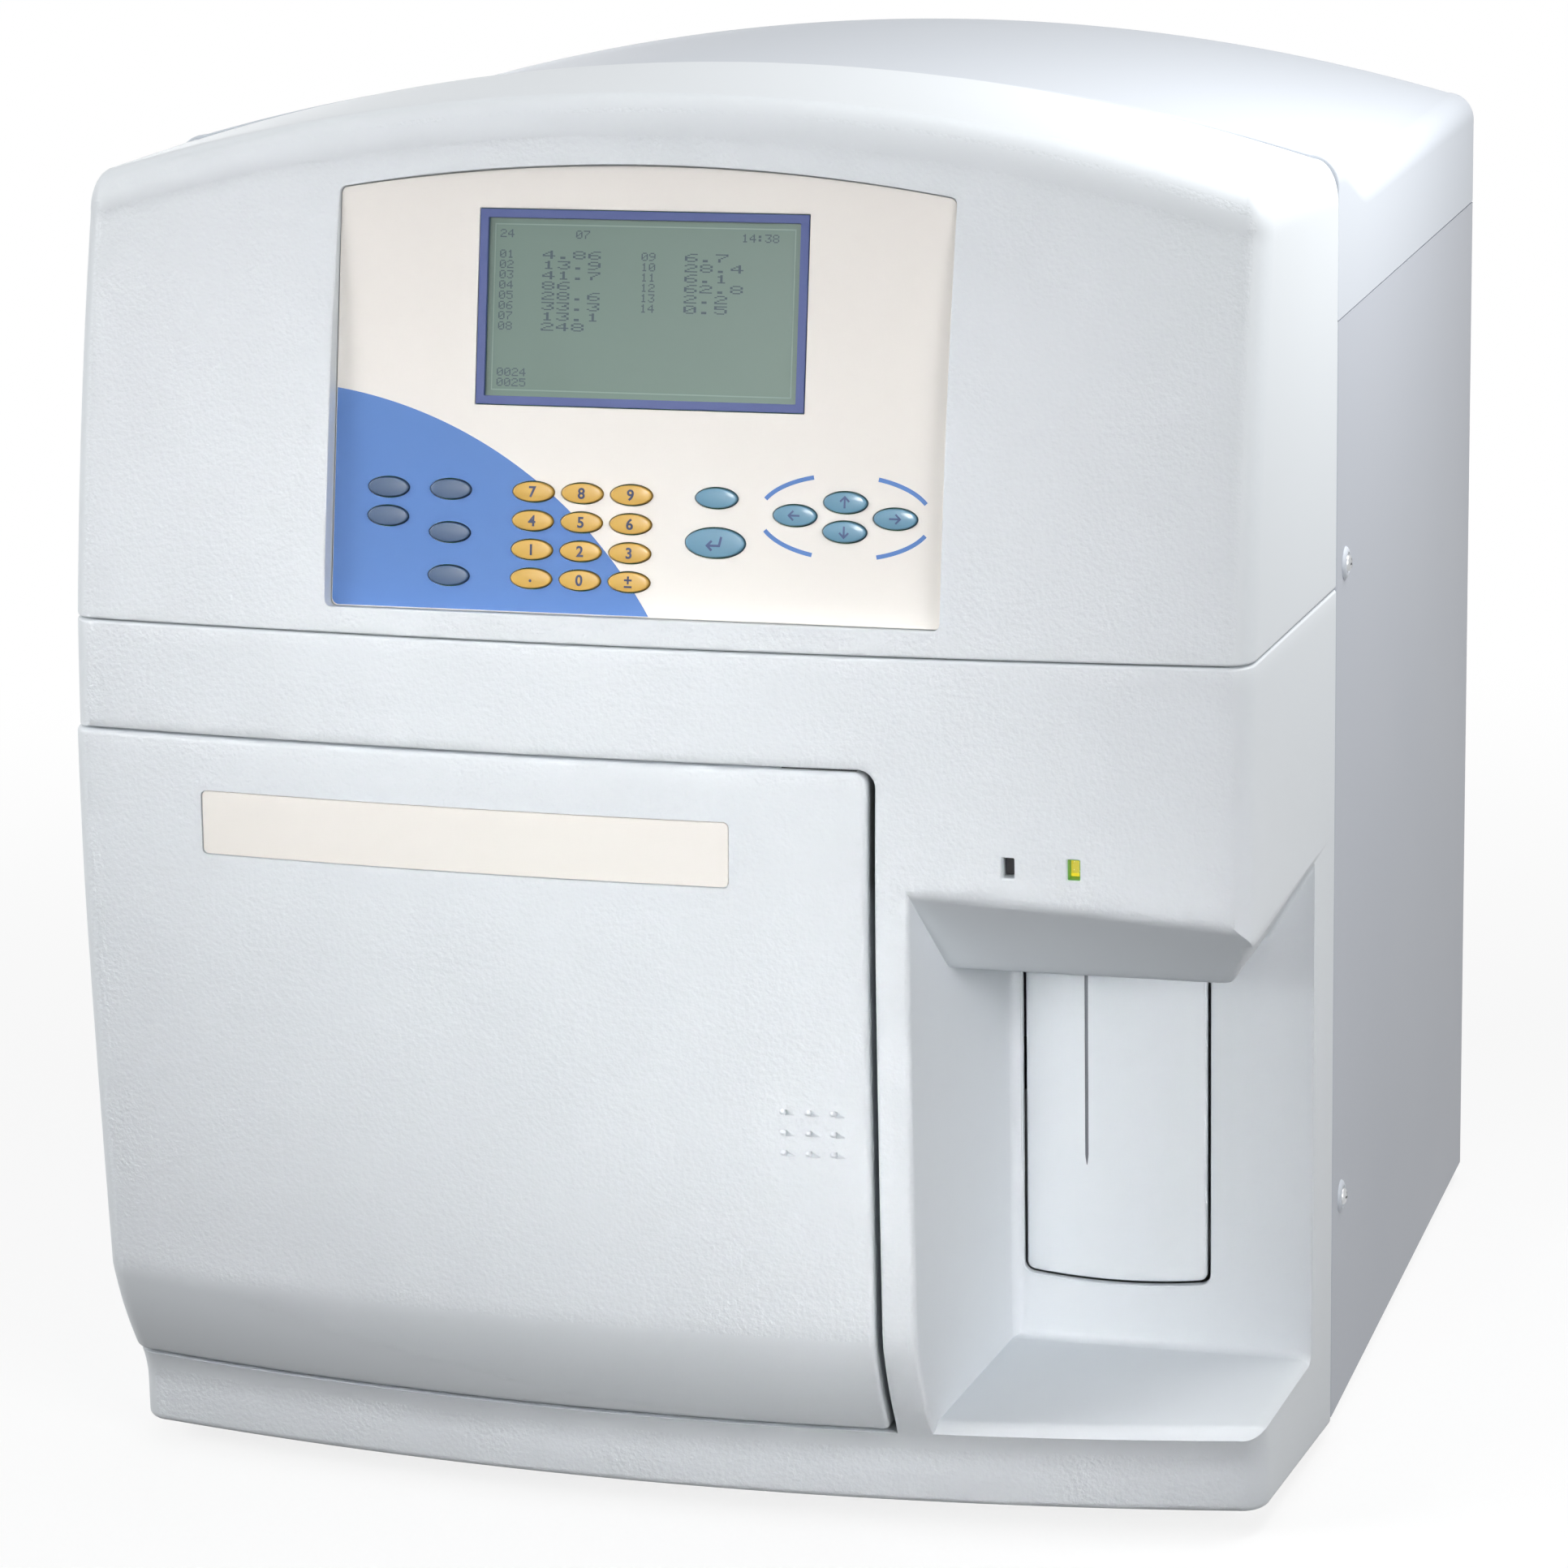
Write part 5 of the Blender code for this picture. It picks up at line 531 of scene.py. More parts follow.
def dome(inset, bottom, rear, columns=96, rows=44, corner=12, steps=12, foot=0):
    """Bowed face, arched top and rounded edges, down to a foot that may be rounded."""
    across, deep, rise = [size - inset / 2 for size in (EDGE_ACROSS, EDGE_DEPTH, EDGE_RISE)]
    core = FRONT_HALF_WIDTH - inset - across
    widening = HALF_WIDTH - inset - across - core
    feet = round_levels(bottom, foot, 4, down=True)[:-1] if foot else []
    xs = spread(-core, core, columns)
    shares = spread(0, 1, steps)

    def top(x):
        return arch(x, HEIGHT, COVER_SHOULDER, BOW_HALF_WIDTH) - inset

    def edge_point(x, turn, lift):
        z = top(x) - rise
        y = face_y(x, z) + inset + deep * (1 - cos(turn) * cos(lift))
        return x + across * sin(turn) * cos(lift), y, z + rise * sin(lift)

    def column(x, turn):
        levels = feet + [(z, 0) for z in spread(bottom + foot, top(x) - rise, rows)[:-1]]
        points = [(x + (across - extra) * sin(turn),
                   face_y(x, z) + inset + deep - (deep - extra) * cos(turn), z) for z, extra in levels]
        return points + [edge_point(x, turn, lift) for lift in quarter(corner)]

    def top_point(x, share):
        y = edge_point(x, 0, pi / 2)[1]
        wide = x * (1 + widening / core * share)
        return wide, y + (rear - y) * share, top(wide)

    side = [column(core, turn) for turn in quarter(corner)[1:]]
    strips = [flipped(strip) for strip in side[::-1]] + [column(x, 0) for x in xs] + side
    low_rows = len(side[0]) - corner - 1

    def side_point(level, share):
        x, y, z = side[-1][level]
        if level >= low_rows:
            z = top(core + widening * share) - rise + rise * sin(quarter(corner)[level - low_rows])
        return x + widening * share, y + (rear - y) * share, z

    flank = [[side_point(level, share) for share in shares] for level in range(len(side[0]))]
    edge = [line[-1] for line in flank]
    back = flipped(edge) + [top_point(x, 1) for x in xs[1:]] + edge[-2::-1]
    base = flipped(flank[0][::-1]) + [strip[0] for strip in strips[1:-1]] + flank[0]
    ends = [(ring, [tuple(range(len(ring)))]) for ring in (back, base)]
    return joined(sheet(strips), sheet([[top_point(x, share) for share in shares] for x in xs]),
                  sheet([flipped(line) for line in flank]), sheet(flank), *ends)


def on_panel(shape):
    """Take a shape from the panel's own plane to its place."""
    return [PANEL_PLANE @ Vector(point) for point in shape[0]], shape[1]


def panel_outline(grow):
    radius = PANEL_CORNER
    side = PANEL_WIDTH / 2 + grow - radius

    def head(u):
        return arch(u, PANEL_APEX_HEIGHT, PANEL_CORNER_HEIGHT, PANEL_WIDTH / 2) + grow

    def bend(u, v, start):
        return [(u + radius * cos(turn), v + radius * sin(turn))
                for turn in spread(start, start + pi / 2, 6)]

    foot, top = radius - grow, head(side) - radius
    ridge = [(u, head(u)) for u in reversed(spread(-side, side, 60))]
    return (bend(-side, foot, pi) + bend(side, foot, 1.5 * pi) + bend(side, top, 0)[:-1] + ridge
            + bend(-side, top, pi / 2)[1:])


def panel_block(grow, low, high):
    return on_panel(prism(panel_outline(grow), "z", low, high))


def upper_front_cover():
    cover = make("upper_cover", dome(0, SEAM_HEIGHT, COVER_REAR, foot=SEAM_ROUND))
    hollow = make("hollow", dome(WALL, SEAM_HEIGHT - OVERRUN, COVER_REAR + OVERRUN, 40, 14, 5, 3))
    seat = -PANEL_THICKNESS - SEAT_GAP
    half = PANEL_WIDTH / 2 - PANEL_LEDGE
    opening = box(-half, half, PANEL_LEDGE, PANEL_CORNER_HEIGHT - PANEL_FRAME, -FAR_OVERRUN, 0)
    carve(cover, carve(hollow, panel_block(PANEL_FRAME, seat - PANEL_BACKING, FAR_OVERRUN)),
          panel_block(SEAT_GAP, seat, FAR_OVERRUN), on_panel(opening))
    return soften(cover, COVER_BEVEL)


# Lower front cover

def plinth_ring(z, inset, rear, lift=0, **counts):
    """The cover's outline carried down under the door, where a cove sets the front back."""
    share = min((DOOR_BOTTOM - z) / PLINTH_COVE_HEIGHT, 1)
    setback = PLINTH_COVE * (1 - (1 - share) ** 2)
    first, *front, last = plan_ring(DOOR_BOTTOM, inset, rear, **counts)
    ring = [first] + [(x, y + setback, level) for x, y, level in front] + [last]
    return [(x, y, z + lift * (COVER_REAR - y) / (COVER_REAR - FRONT_Y)) for x, y, level in ring]


def bay_left(y, wall=0):
    front_x = COLUMN_LEFT if wall else BAY_LEFT_FRONT
    share = (y - FRONT_Y) / (BAY_BACK - FRONT_Y)
    return front_x + (BAY_LEFT_BACK - wall - front_x) * share


def soft_highest(a, b, softness):
    return (a + b + hypot(a - b, 2 * softness)) / 2


def bay_ceiling(x, y):
    """Underside of the overhang: level inside, sloping up to the front and to the right."""
    front = BAY_CEILING + (BAY_LIP_Y - y) * BAY_FRONT_SLOPE
    side = BAY_CEILING + (x - BAY_LIP_RIGHT) * BAY_SIDE_SLOPE
    return soft_highest(soft_highest(BAY_CEILING, front, BAY_LIP_SOFTNESS), side, BAY_LIP_SOFTNESS)


def bay_floor(x, y):
    """Nearly level floor that slopes down to the plinth's front edge."""
    level = BAY_FLOOR_BACK - BAY_FLOOR_FALL * (BAY_BACK - y) / (BAY_BACK - FRONT_Y)
    behind = y - face_y(min(x, FRONT_HALF_WIDTH), DOOR_BOTTOM)
    edge = BAY_FLOOR_BACK - BAY_FLOOR_FALL - BAY_FLOOR_EDGE + behind
    return -soft_highest(-level, -edge, BAY_FLOOR_SOFTNESS)


def bay_ring(depth, growth, share=0, pinch=0):
    """One closed ring: up the left wall, along the ceiling to the far right, back along the floor."""
    far_x = HALF_WIDTH + FAR_OVERRUN
    flat = growth is None
    grown = BAY_EDGE_ROUND * (BAY_FLARE_SHARE * 2 if flat else growth)

    def deep(x, z):
        start = face_y(min(x, HALF_WIDTH), z) + depth
        return FRONT_Y - FAR_OVERRUN / 4 if flat else start + (BAY_BACK - start) * share

    def wall_point(z):
        y = deep(BAY_LEFT_FRONT, z)
        return bay_left(max(y, FRONT_Y)) - grown * BAY_COLUMN_ROUND_SHARE + BAY_FILLET * pinch, y, z

    def ceiling_point(x):
        z = BAY_CEILING + BAY_FRONT_RISE
        for _ in range(4):
            y = deep(x, z)
            z = bay_ceiling(x, max(y, FRONT_Y)) + grown - BAY_FILLET_RISE * pinch
        return x, y, z

    def floor_point(x):
        y = deep(x, DOOR_BOTTOM)
        side = side_x(max(y, FRONT_Y))
        over = max(x - (side - BAY_SIDE_ROUND), 0) / (BAY_SIDE_ROUND * 1.02)
        drop = BAY_SIDE_FALL * (1 - sqrt(max(1 - over * over, 0)))
        if x > side + COVER_GAP:
            drop = BAY_SIDE_FALL * 3
        return x, y, bay_floor(x, y) - drop + BAY_FILLET_RISE * pinch

    top = ceiling_point(wall_point(BAY_CEILING + BAY_FRONT_RISE)[0])
    low = floor_point(wall_point(DOOR_BOTTOM)[0])
    ring = [low] + [wall_point(z) for z in spread(low[2], top[2], 18)[1:-1]]
    near, far = BAY_LIP_RIGHT - BAY_LIP_BAND, BAY_LIP_RIGHT + BAY_LIP_BAND
    ring += [ceiling_point(x) for x in spread(top[0], near, 16)[:-1] + spread(near, far, 16)
             + [BAY_LIP_RIGHT + BAY_LIP_END, HALF_WIDTH, far_x]]
    side = side_x(max(deep(HALF_WIDTH, DOOR_BOTTOM), FRONT_Y))
    start = side - BAY_SIDE_ROUND
    floor_xs = spread(low[0], start, 20)[1:-1] + [start + BAY_SIDE_ROUND * sin(turn) for turn in quarter(8)]
    return ring + [floor_point(x) for x in [far_x, side + COVER_GAP * 2] + floor_xs[::-1]]


def bay_space():
    """The bay as one closed shape whose rings follow the face and end on the back wall."""
    rings = [bay_ring(-FAR_OVERRUN / 4, None), bay_ring(-COVER_GAP, 1.6)]
    rings += [bay_ring(BAY_EDGE_ROUND * (1 - sin(radians(turn))), 1 - cos(radians(turn)))
              for turn in spread(80, 0, 8)]
    shares = [share for station in BAY_STATIONS for share in spread(*station)[1:]]
    rings += [bay_ring(BAY_EDGE_ROUND, 0, share) for share in shares[:-1]]
    fillet = BAY_FILLET / (BAY_BACK - FRONT_Y)
    rings += [bay_ring(BAY_EDGE_ROUND, 0, 1 - fillet * (1 - sin(turn)), 1 - cos(turn)) for turn in quarter(6)]
    return loft(rings)


def bay_block():
    """The block that the bay's walls are left from, behind and over the bay."""
    wall = BAY_WALL
    lip_y = BAY_LIP_Y + wall * (sqrt(1 + BAY_FRONT_SLOPE ** 2) - 1) / BAY_FRONT_SLOPE
    lip_x = BAY_LIP_RIGHT - wall * (sqrt(1 + BAY_SIDE_SLOPE ** 2) - 1) / BAY_SIDE_SLOPE
    ceiling = BAY_CEILING + wall
    far_x = HALF_WIDTH + FAR_OVERRUN
    far_z = ceiling + (far_x - lip_x) * BAY_SIDE_SLOPE
    far_y = lip_y - (far_z - ceiling) / BAY_FRONT_SLOPE
    back = BAY_BACK + wall
    low = DECK_HEIGHT - OVERRUN
    points = [
        (bay_left(far_y, wall), far_y, low), (far_x, far_y, low),
        (far_x, back, low), (bay_left(back, wall), back, low),
        (bay_left(lip_y, wall), lip_y, ceiling), (lip_x, lip_y, ceiling),
        (lip_x, back, ceiling), (bay_left(back, wall), back, ceiling),
        (bay_left(far_y, wall), far_y, far_z), (far_x, far_y, far_z), (far_x, back, far_z),
    ]
    faces = [(4, 5, 6, 7), (8, 9, 5, 4), (9, 10, 6, 5), (3, 0, 8, 4, 7), (2, 3, 7, 6, 10),
             (1, 2, 10, 9), (0, 1, 9, 8), (0, 1, 2, 3)]
    return points, faces


def pin_bore(low, high, sides=32):
    radius = PIN_RADIUS + PIN_CLEARANCE
    return turned(HINGE_X, HINGE_Y, "z", [(radius, low), (radius, high)], sides)


def lower_front_cover():
    cove_foot = DOOR_BOTTOM - PLINTH_COVE_HEIGHT
    rings = [plinth_ring(z, inset, COVER_REAR, PLINTH_LIFT)
             for z, inset in round_levels(PLINTH_LOW, PLINTH_ROUND, 6, down=True)]
    rings += [plinth_ring(z, 0, COVER_REAR) for z in spread(cove_foot, DOOR_BOTTOM, 8)[:-1]]
    rings += [plan_ring(z, 0, COVER_REAR) for z in spread(DOOR_BOTTOM, CREASE_HEIGHT, 10)
              + spread(CREASE_HEIGHT, LOWER_TOP - SEAM_ROUND, 44)[1:-1]]
    rings += [plan_ring(z, inset, COVER_REAR) for z, inset in round_levels(LOWER_TOP, SEAM_ROUND, 4)]
    cover = make("lower_cover", loft(rings))
    rear = COVER_REAR + OVERRUN
    fine = {"columns": 48, "corner": 6}
    compartment = make("space", loft([plan_ring(z, WALL, rear, **fine) for z in [DECK_HEIGHT]
                                      + spread(CREASE_HEIGHT, LINTEL_BOTTOM, 10)]))
    above = loft([plan_ring(z, WALL, rear, **fine) for z in (LINTEL_TOP, SEAM_HEIGHT + OVERRUN)])
    under = loft([plinth_ring(z, WALL, rear, **fine) for z in (PLINTH_LOW - OVERRUN, cove_foot, DECK_BOTTOM)])
    half = HALF_WIDTH - 2 * WALL - EDGE_ACROSS
    y = face_y(half, LINTEL_BOTTOM) + WALL + EDGE_DEPTH
    outline = [(BAY_LEFT_BACK, y), (half, y), (half, rear), (BAY_LEFT_BACK, rear)]
    shaft = make("shaft", prism(outline, "z", LINTEL_BOTTOM - OVERRUN, LINTEL_TOP + OVERRUN))
    mouth = [(NEEDLE_HOLE_MOUTH, BAY_CEILING - OVERRUN), (NEEDLE_HOLE_MOUTH, BAY_CEILING),
             (NEEDLE_HOLE, BAY_CEILING + NEEDLE_HOLE_STEP), (NEEDLE_HOLE, BAY_CEILING + BAY_WALL + OVERRUN)]
    pins = [pin_bore(low - OVERRUN, high + OVERRUN, 24)
            for low, high in ((LINTEL_BOTTOM, LINTEL_TOP), (DECK_BOTTOM, DECK_HEIGHT))]
    carve(cover, carve(compartment, bay_block()), carve(shaft, bay_block()), door_space(), above, under,
          bay_space(), bar_slot(), window_spaces(), turned(NEEDLE_X, NEEDLE_Y, "z", mouth, 40), joined(*pins))
    return shade(cover)


def door_space():
    """The room for the door: it follows the face, and its edge in the face is rounded."""
    left = -HALF_WIDTH - FAR_OVERRUN

    def ring(depth, growth):
        right, low, high = COLUMN_LEFT + growth, DECK_HEIGHT - growth, LINTEL_BOTTOM + growth
        corner = OPENING_CORNER + growth
        outline = [(left, low), (-HALF_WIDTH, low)]
        outline += [(x, low) for x in spread(-FRONT_HALF_WIDTH, right, 60)]
        outline += [(right, z) for z in spread(low, high - corner, 50)[1:]]
        outline += [(right - corner + corner * cos(turn), high - corner + corner * sin(turn))
                    for turn in quarter(10)[1:-1]]
        outline += [(x, high) for x in reversed(spread(-FRONT_HALF_WIDTH, right - corner, 60))]
        outline += [(-HALF_WIDTH, high), (left, high)]
        return [(x, face_y(x, min(max(z, DOOR_BOTTOM), SEAM_HEIGHT)) + depth, z) for x, z in outline]

    flare = ring(-COVER_GAP, OPENING_ROUND * 1.8)
    rings = [[(x, FRONT_Y - FAR_OVERRUN, z) for x, _, z in flare], flare]
    rings += [ring(OPENING_ROUND * (1 - sin(turn)), OPENING_ROUND * (1 - cos(turn)))
              for turn in spread(radians(75), 0, 5)]
    rings.append([(x, DOOR_RETURN_REAR + DOOR_SWING_GAP, z) for x, _, z in ring(0, 0)])
    return loft(rings)


def bar_outline(grow):
    """The start bar's outline seen from the front: a sagging foot with rounded corners."""
    left, right, low = BAR_LEFT - grow, BAR_RIGHT + grow, BAR_BOTTOM - grow
    radius = BAR_CORNER + grow
    foot = [((left + right) / 2 + share * ((right - left) / 2 - radius),
             low - BAR_SAG * (1 - share * share) - BAR_SAG / 4, 0) for share in spread(-1, 1, 24)[1:-1]]
    head = BAR_TOP if grow <= 0 else BAY_CEILING + BAY_WALL + OVERRUN
    ends = [(right, low, radius), (right, head, 0), (left, head, 0)]
    return rounded([(left, low, radius)] + foot + ends, 6)


def bar_slot():
    rings = [placed(bar_outline(BAR_GAP + SLOT_ROUND), "y", BAY_BACK - OVERRUN)]
    rings += [placed(bar_outline(BAR_GAP + SLOT_ROUND * (1 - cos(turn))), "y",
                     BAY_BACK + SLOT_ROUND * (1 - sin(turn))) for turn in spread(radians(75), 0, 4)]
    return loft(rings + [placed(bar_outline(BAR_GAP), "y", BAY_BACK + BAY_WALL + OVERRUN)])


def window_outline(x, grow, radius):
    half, rise = WINDOW_WIDTH / 2 + grow, WINDOW_HEIGHT / 2 + grow
    return rounded_box(x - half, x + half, WINDOW_Z - rise, WINDOW_Z + rise, radius)


def window_spaces():
    shapes = []
    for x in WINDOW_XS:
        front = face_y(x, WINDOW_Z)
        shapes.append(loft([placed(window_outline(x, grow, WINDOW_CORNER + grow), "y", front + depth)
                            for depth, grow in WINDOW_FLARE]))
    return joined(*shapes)


# Small pieces of the front and the sides

def start_bar():
    """The plate that a tube presses, with the rod and arms that it hangs from."""
    rings = [placed(bar_outline(-BAR_EDGE * (1 - sin(turn))), "y", BAY_BACK + BAR_EDGE * (1 - cos(turn)))
             for turn in quarter(4)]
    rings.append(placed(bar_outline(0), "y", BAY_BACK + BAR_THICKNESS))
    rod_y = BAY_BACK + BAR_ROD_SETBACK
    rod_z = BAR_TOP - BAR_ROD_DROP
    ends = BAR_LEFT - BAR_ROD_END, BAR_RIGHT + BAR_ROD_END
    rod = turned(rod_y, rod_z, "x", [(BAR_ROD_RADIUS, end) for end in ends], 24)
    arms = [box(x, x + BAR_ARM_WIDTH, BAY_BACK + BAR_THICKNESS / 2, rod_y, rod_z - BAR_ROD_RADIUS / 2,
                rod_z + BAR_ROD_RADIUS / 2)
            for x in (BAR_LEFT + BAR_ARM_INSET, BAR_RIGHT - BAR_ARM_INSET - BAR_ARM_WIDTH)]
    return shade(carve(make("start_bar_plate", loft(rings)), rod, *arms, operation="UNION"))


def sampling_needle():
    """Steel needle with a slanted tip and a thicker shank."""
    return smooth("needle_tube", turned(NEEDLE_X, NEEDLE_Y, "z", [
        (NEEDLE_RADIUS / 5, NEEDLE_TIP), (NEEDLE_RADIUS * 0.85, NEEDLE_TIP + NEEDLE_BEVEL * 0.7),
        (NEEDLE_RADIUS, NEEDLE_TIP + NEEDLE_BEVEL), (NEEDLE_RADIUS, NEEDLE_SHANK),
        (NEEDLE_SHANK_RADIUS, NEEDLE_SHANK), (NEEDLE_SHANK_RADIUS, NEEDLE_HIGH)], 24))


def status_windows():
    """Two lenses deep in their windows, each in a sleeve: a dark one, and a lit one with a green liner."""
    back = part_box("status_light_guide")[1].y

    def tube(name, x, outer, inner, start, end):
        shell = make(name, prism(window_outline(x, outer, SLEEVE_WALL / 2), "y", start, end))
        hole = window_outline(x, inner, SLEEVE_WALL / 4)
        return shade(carve(shell, prism(hole, "y", start - OVERRUN, end + OVERRUN)))

    made = []
    for number, x in enumerate(WINDOW_XS, 1):
        front = face_y(x, WINDOW_Z)
        made.append((tube(f"status_sleeve_{number}", x, SLEEVE_WALL, 0, front + WALL + SEAT_GAP,
                          back - LENS_BAR), "cover_smooth"))
        if number == 2:
            made.append((tube("status_liner", x, -LINER_WALL / 5, -LINER_WALL, front + LINER_SUNK,
                              front + LENS_DEPTH + LENS_BAR), "lens_liner"))
        lens = make(f"status_lens_{number}", prism(window_outline(x, -SEAT_GAP, SLEEVE_WALL / 4), "y",
                                                   front + LENS_DEPTH, back - LENS_BAR / 2))
        made.append((soften(lens, SMALL_BEVEL), "lit_lens" if number == 2 else "black_plastic"))
    half = WINDOW_WIDTH / 2
    bar = make("status_light_bar", prism(rounded_box(
        WINDOW_XS[0] - half, WINDOW_XS[1] + half, WINDOW_Z - half, WINDOW_Z + half, half / 3),
        "y", back - LENS_BAR, back))
    return made + [(soften(bar, LABEL_BEVEL), "clear_plastic")]


def side_screws(side, sign):
    """Two pan heads on cup washers at the front edge of a side panel."""
    inner = HALF_WIDTH - OVERRUN / 4
    seat = HALF_WIDTH + WASHER_RISE * 0.6
    top = seat + SCREW_RISE

    def at(shape):
        return [(sign * x, y, z) for x, y, z in shape[0]], shape[1]

    cup = [(WASHER_RADIUS, inner), (WASHER_RADIUS, HALF_WIDTH + WASHER_EDGE)]
    cup += [(WASHER_RADIUS * wide, HALF_WIDTH + WASHER_RISE * rise) for wide, rise in WASHER_CUP]
    cup.append((WASHER_RADIUS * 0.4, inner))
    washers = smooth(side + "_panel_washers",
                     joined(*[at(turned(SCREW_Y, z, "x", cup, 48)) for z in SCREW_HEIGHTS]))
    pan = [(SCREW_RADIUS * 0.55, inner), (SCREW_RADIUS * 0.97, HALF_WIDTH + WASHER_RISE * 0.45)]
    pan += [(SCREW_RADIUS * cos(turn), seat + SCREW_RISE * sin(turn))
            for turn in spread(0, radians(84), 10)]
    heads = []
    for z in SCREW_HEIGHTS:
        head = make(side + "_panel_screws", at(turned(SCREW_Y, z, "x", pan, 40)))
        heads.append(carve(head, *[
            at(box(top - CROSS_DEPTH, top + OVERRUN, SCREW_Y - long, SCREW_Y + long, z - wide, z + wide))
            for long, wide in ((CROSS_LENGTH, CROSS_WIDTH / 2), (CROSS_WIDTH / 2, CROSS_LENGTH))]))
    absorb(*heads)
    return shade(heads[0]), washers


def door_catch_shade_strip():
    """A black strip in the gap above the door: the catch, and painted shade of the slot it sits in."""
    y = face_y(CATCH_LEFT + CATCH_WIDTH / 2, DOOR_TOP) + DOOR_ROUND * 1.2
    return soften(make("door_catch_shade_strip", box(CATCH_LEFT, CATCH_LEFT + CATCH_WIDTH, y, y + WALL,
                                         DOOR_TOP + CATCH_LIFT, LINTEL_BOTTOM + CATCH_LAP)), CATCH_BEVEL)


# Rear details

def button_heads(places):
    """Round socket heads that face the rear, at (x, y, z) places on a sheet."""
    shapes = []
    for x, y, z in places:
        edge = y + BUTTON_EDGE
        profile = [(BUTTON_RADIUS * 0.5, y - BUTTON_SUNK), (BUTTON_RADIUS, y - BUTTON_SKIRT),
                   (BUTTON_RADIUS, edge)]
        profile += [(BUTTON_RADIUS * cos(turn), edge + (BUTTON_RISE - BUTTON_EDGE) * sin(turn))
                    for turn in spread(0, radians(62), 6)[1:]]
        profile += [(SOCKET_RADIUS, y + BUTTON_RISE * 0.93), (SOCKET_RADIUS, y + SOCKET_FLOOR),
                    (SOCKET_RADIUS / 10, y + SOCKET_CENTRE)]
        shapes.append(turned(x, z, "y", profile))
    return smooth("rear_screws", joined(*shapes))


def fan_guard(x, z):
    """Wire rings on four spokes, with an eye for a screw at each corner of the fan."""
    y = SHEET_REAR + GUARD_STAND
    level = y - 1.3 * GUARD_WIRE

    def hoop(a, b, height, radius, count):
        return wire([(a + radius * cos(turn), height, b + radius * sin(turn))
                     for turn in spread(0, 2 * pi, count)[:-1]], GUARD_WIRE, closed=True)

    shapes = [hoop(x, z, y, radius, 73) for radius in GUARD_RADII]
    for across, up in QUADRANTS:
        spoke = spread(GUARD_RADII[0] / sqrt(2), GUARD_EYE - BUTTON_RADIUS * 1.1, 4)
        shapes.append(wire([(x + across * share, level, z + up * share) for share in spoke], GUARD_WIRE))
        shapes.append(hoop(x + across * GUARD_EYE, z + up * GUARD_EYE, level, BUTTON_RADIUS * 1.35, 33))
    return smooth("fan_guard", joined(*shapes), 60)


def rear_details():
    x, _, z = centre("fan_frame")
    places = [(side * (HALF_WIDTH - REAR_INSET), SHEET_REAR, height)
              for side in (-1, 1) for height in REAR_HEIGHTS]
    places += [(side * reach, SHEET_REAR, height)
               for height, reach in ((REAR_HEIGHTS[-1], REAR_HIGH_X), (REAR_HEIGHTS[0], REAR_LOW_X))
               for side in (-1, 1)]
    places += [(x + across * GUARD_EYE, SHEET_REAR + GUARD_WIRE, z + up * GUARD_EYE)
               for across, up in QUADRANTS]
    outline = rounded_box(RATING_LEFT, RATING_LEFT + RATING_WIDTH, RATING_LOW, RATING_LOW + RATING_HEIGHT,
                          RATING_CORNER)
    plate = make("rating_plate", prism(outline, "y", SHEET_REAR - RATING_SUNK, SHEET_REAR + RATING_PROUD))
    return button_heads(places), fan_guard(x, z), soften(plate, RATING_BEVEL)


# Bottles and feet

def bottle(name):
    """A rounded square bottle, and its ribbed cap with a hose stem."""
    low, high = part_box(name)
    x, y, _ = centre(name)
    across, deep = (high.x - low.x) / 2, (high.y - low.y) / 2
    cap_top = high.z - CAP_STEM_HEIGHT
    cap_low = cap_top - CAP_HEIGHT
    shoulder = cap_low - BOTTLE_NECK_HEIGHT - BOTTLE_SHOULDER_RISE

    def square(inset):
        return ellipse(x, y, across - inset, deep - inset, 64, BOTTLE_SQUARENESS)

    rings = [placed(square(BOTTLE_FOOT_ROUND * (1 - sin(turn))), "z",
                    low.z + BOTTLE_FOOT_ROUND * (1 - cos(turn))) for turn in quarter(6)]
    neck = ellipse(x, y, BOTTLE_NECK_RADIUS, BOTTLE_NECK_RADIUS, 64)
    for turn in quarter(12):
        share = 1 - cos(turn)
        between = [(a + (c - a) * share, b + (d - b) * share) for (a, b), (c, d) in zip(square(0), neck)]
        rings.append(placed(between, "z", shoulder + BOTTLE_SHOULDER_RISE * sin(turn)))
    rings.append(placed(neck, "z", cap_low + SEAT_GAP))
    body = smooth(name + "_body", loft(rings))

    def ribbed(inset, level):
        turns = [2 * pi * step / (CAP_RIBS * 6) for step in range(CAP_RIBS * 6)]
        radii = [CAP_RADIUS - inset - CAP_RIB * (1 + cos(CAP_RIBS * turn)) / 2 for turn in turns]
        return [(x + radius * cos(turn), y + radius * sin(turn), level)
                for radius, turn in zip(radii, turns)]

    caps = [ribbed(0, cap_low), ribbed(0, cap_top - CAP_ROUND)]
    caps += [ribbed(CAP_ROUND * (1 - cos(turn)), cap_top - CAP_ROUND * (1 - sin(turn)))
             for turn in quarter(5)[1:]]
    stem = [(CAP_STEM_RADIUS, cap_top - OVERRUN), (CAP_STEM_RADIUS, high.z - CAP_STEM_BARB),
            (CAP_STEM_RADIUS * 0.9, high.z - CAP_STEM_END), (CAP_STEM_RADIUS * 0.62, high.z)]
    cap = make(name + "_cap", loft(caps))
    return body, shade(carve(cap, turned(x, y, "z", stem, 40), operation="UNION"))


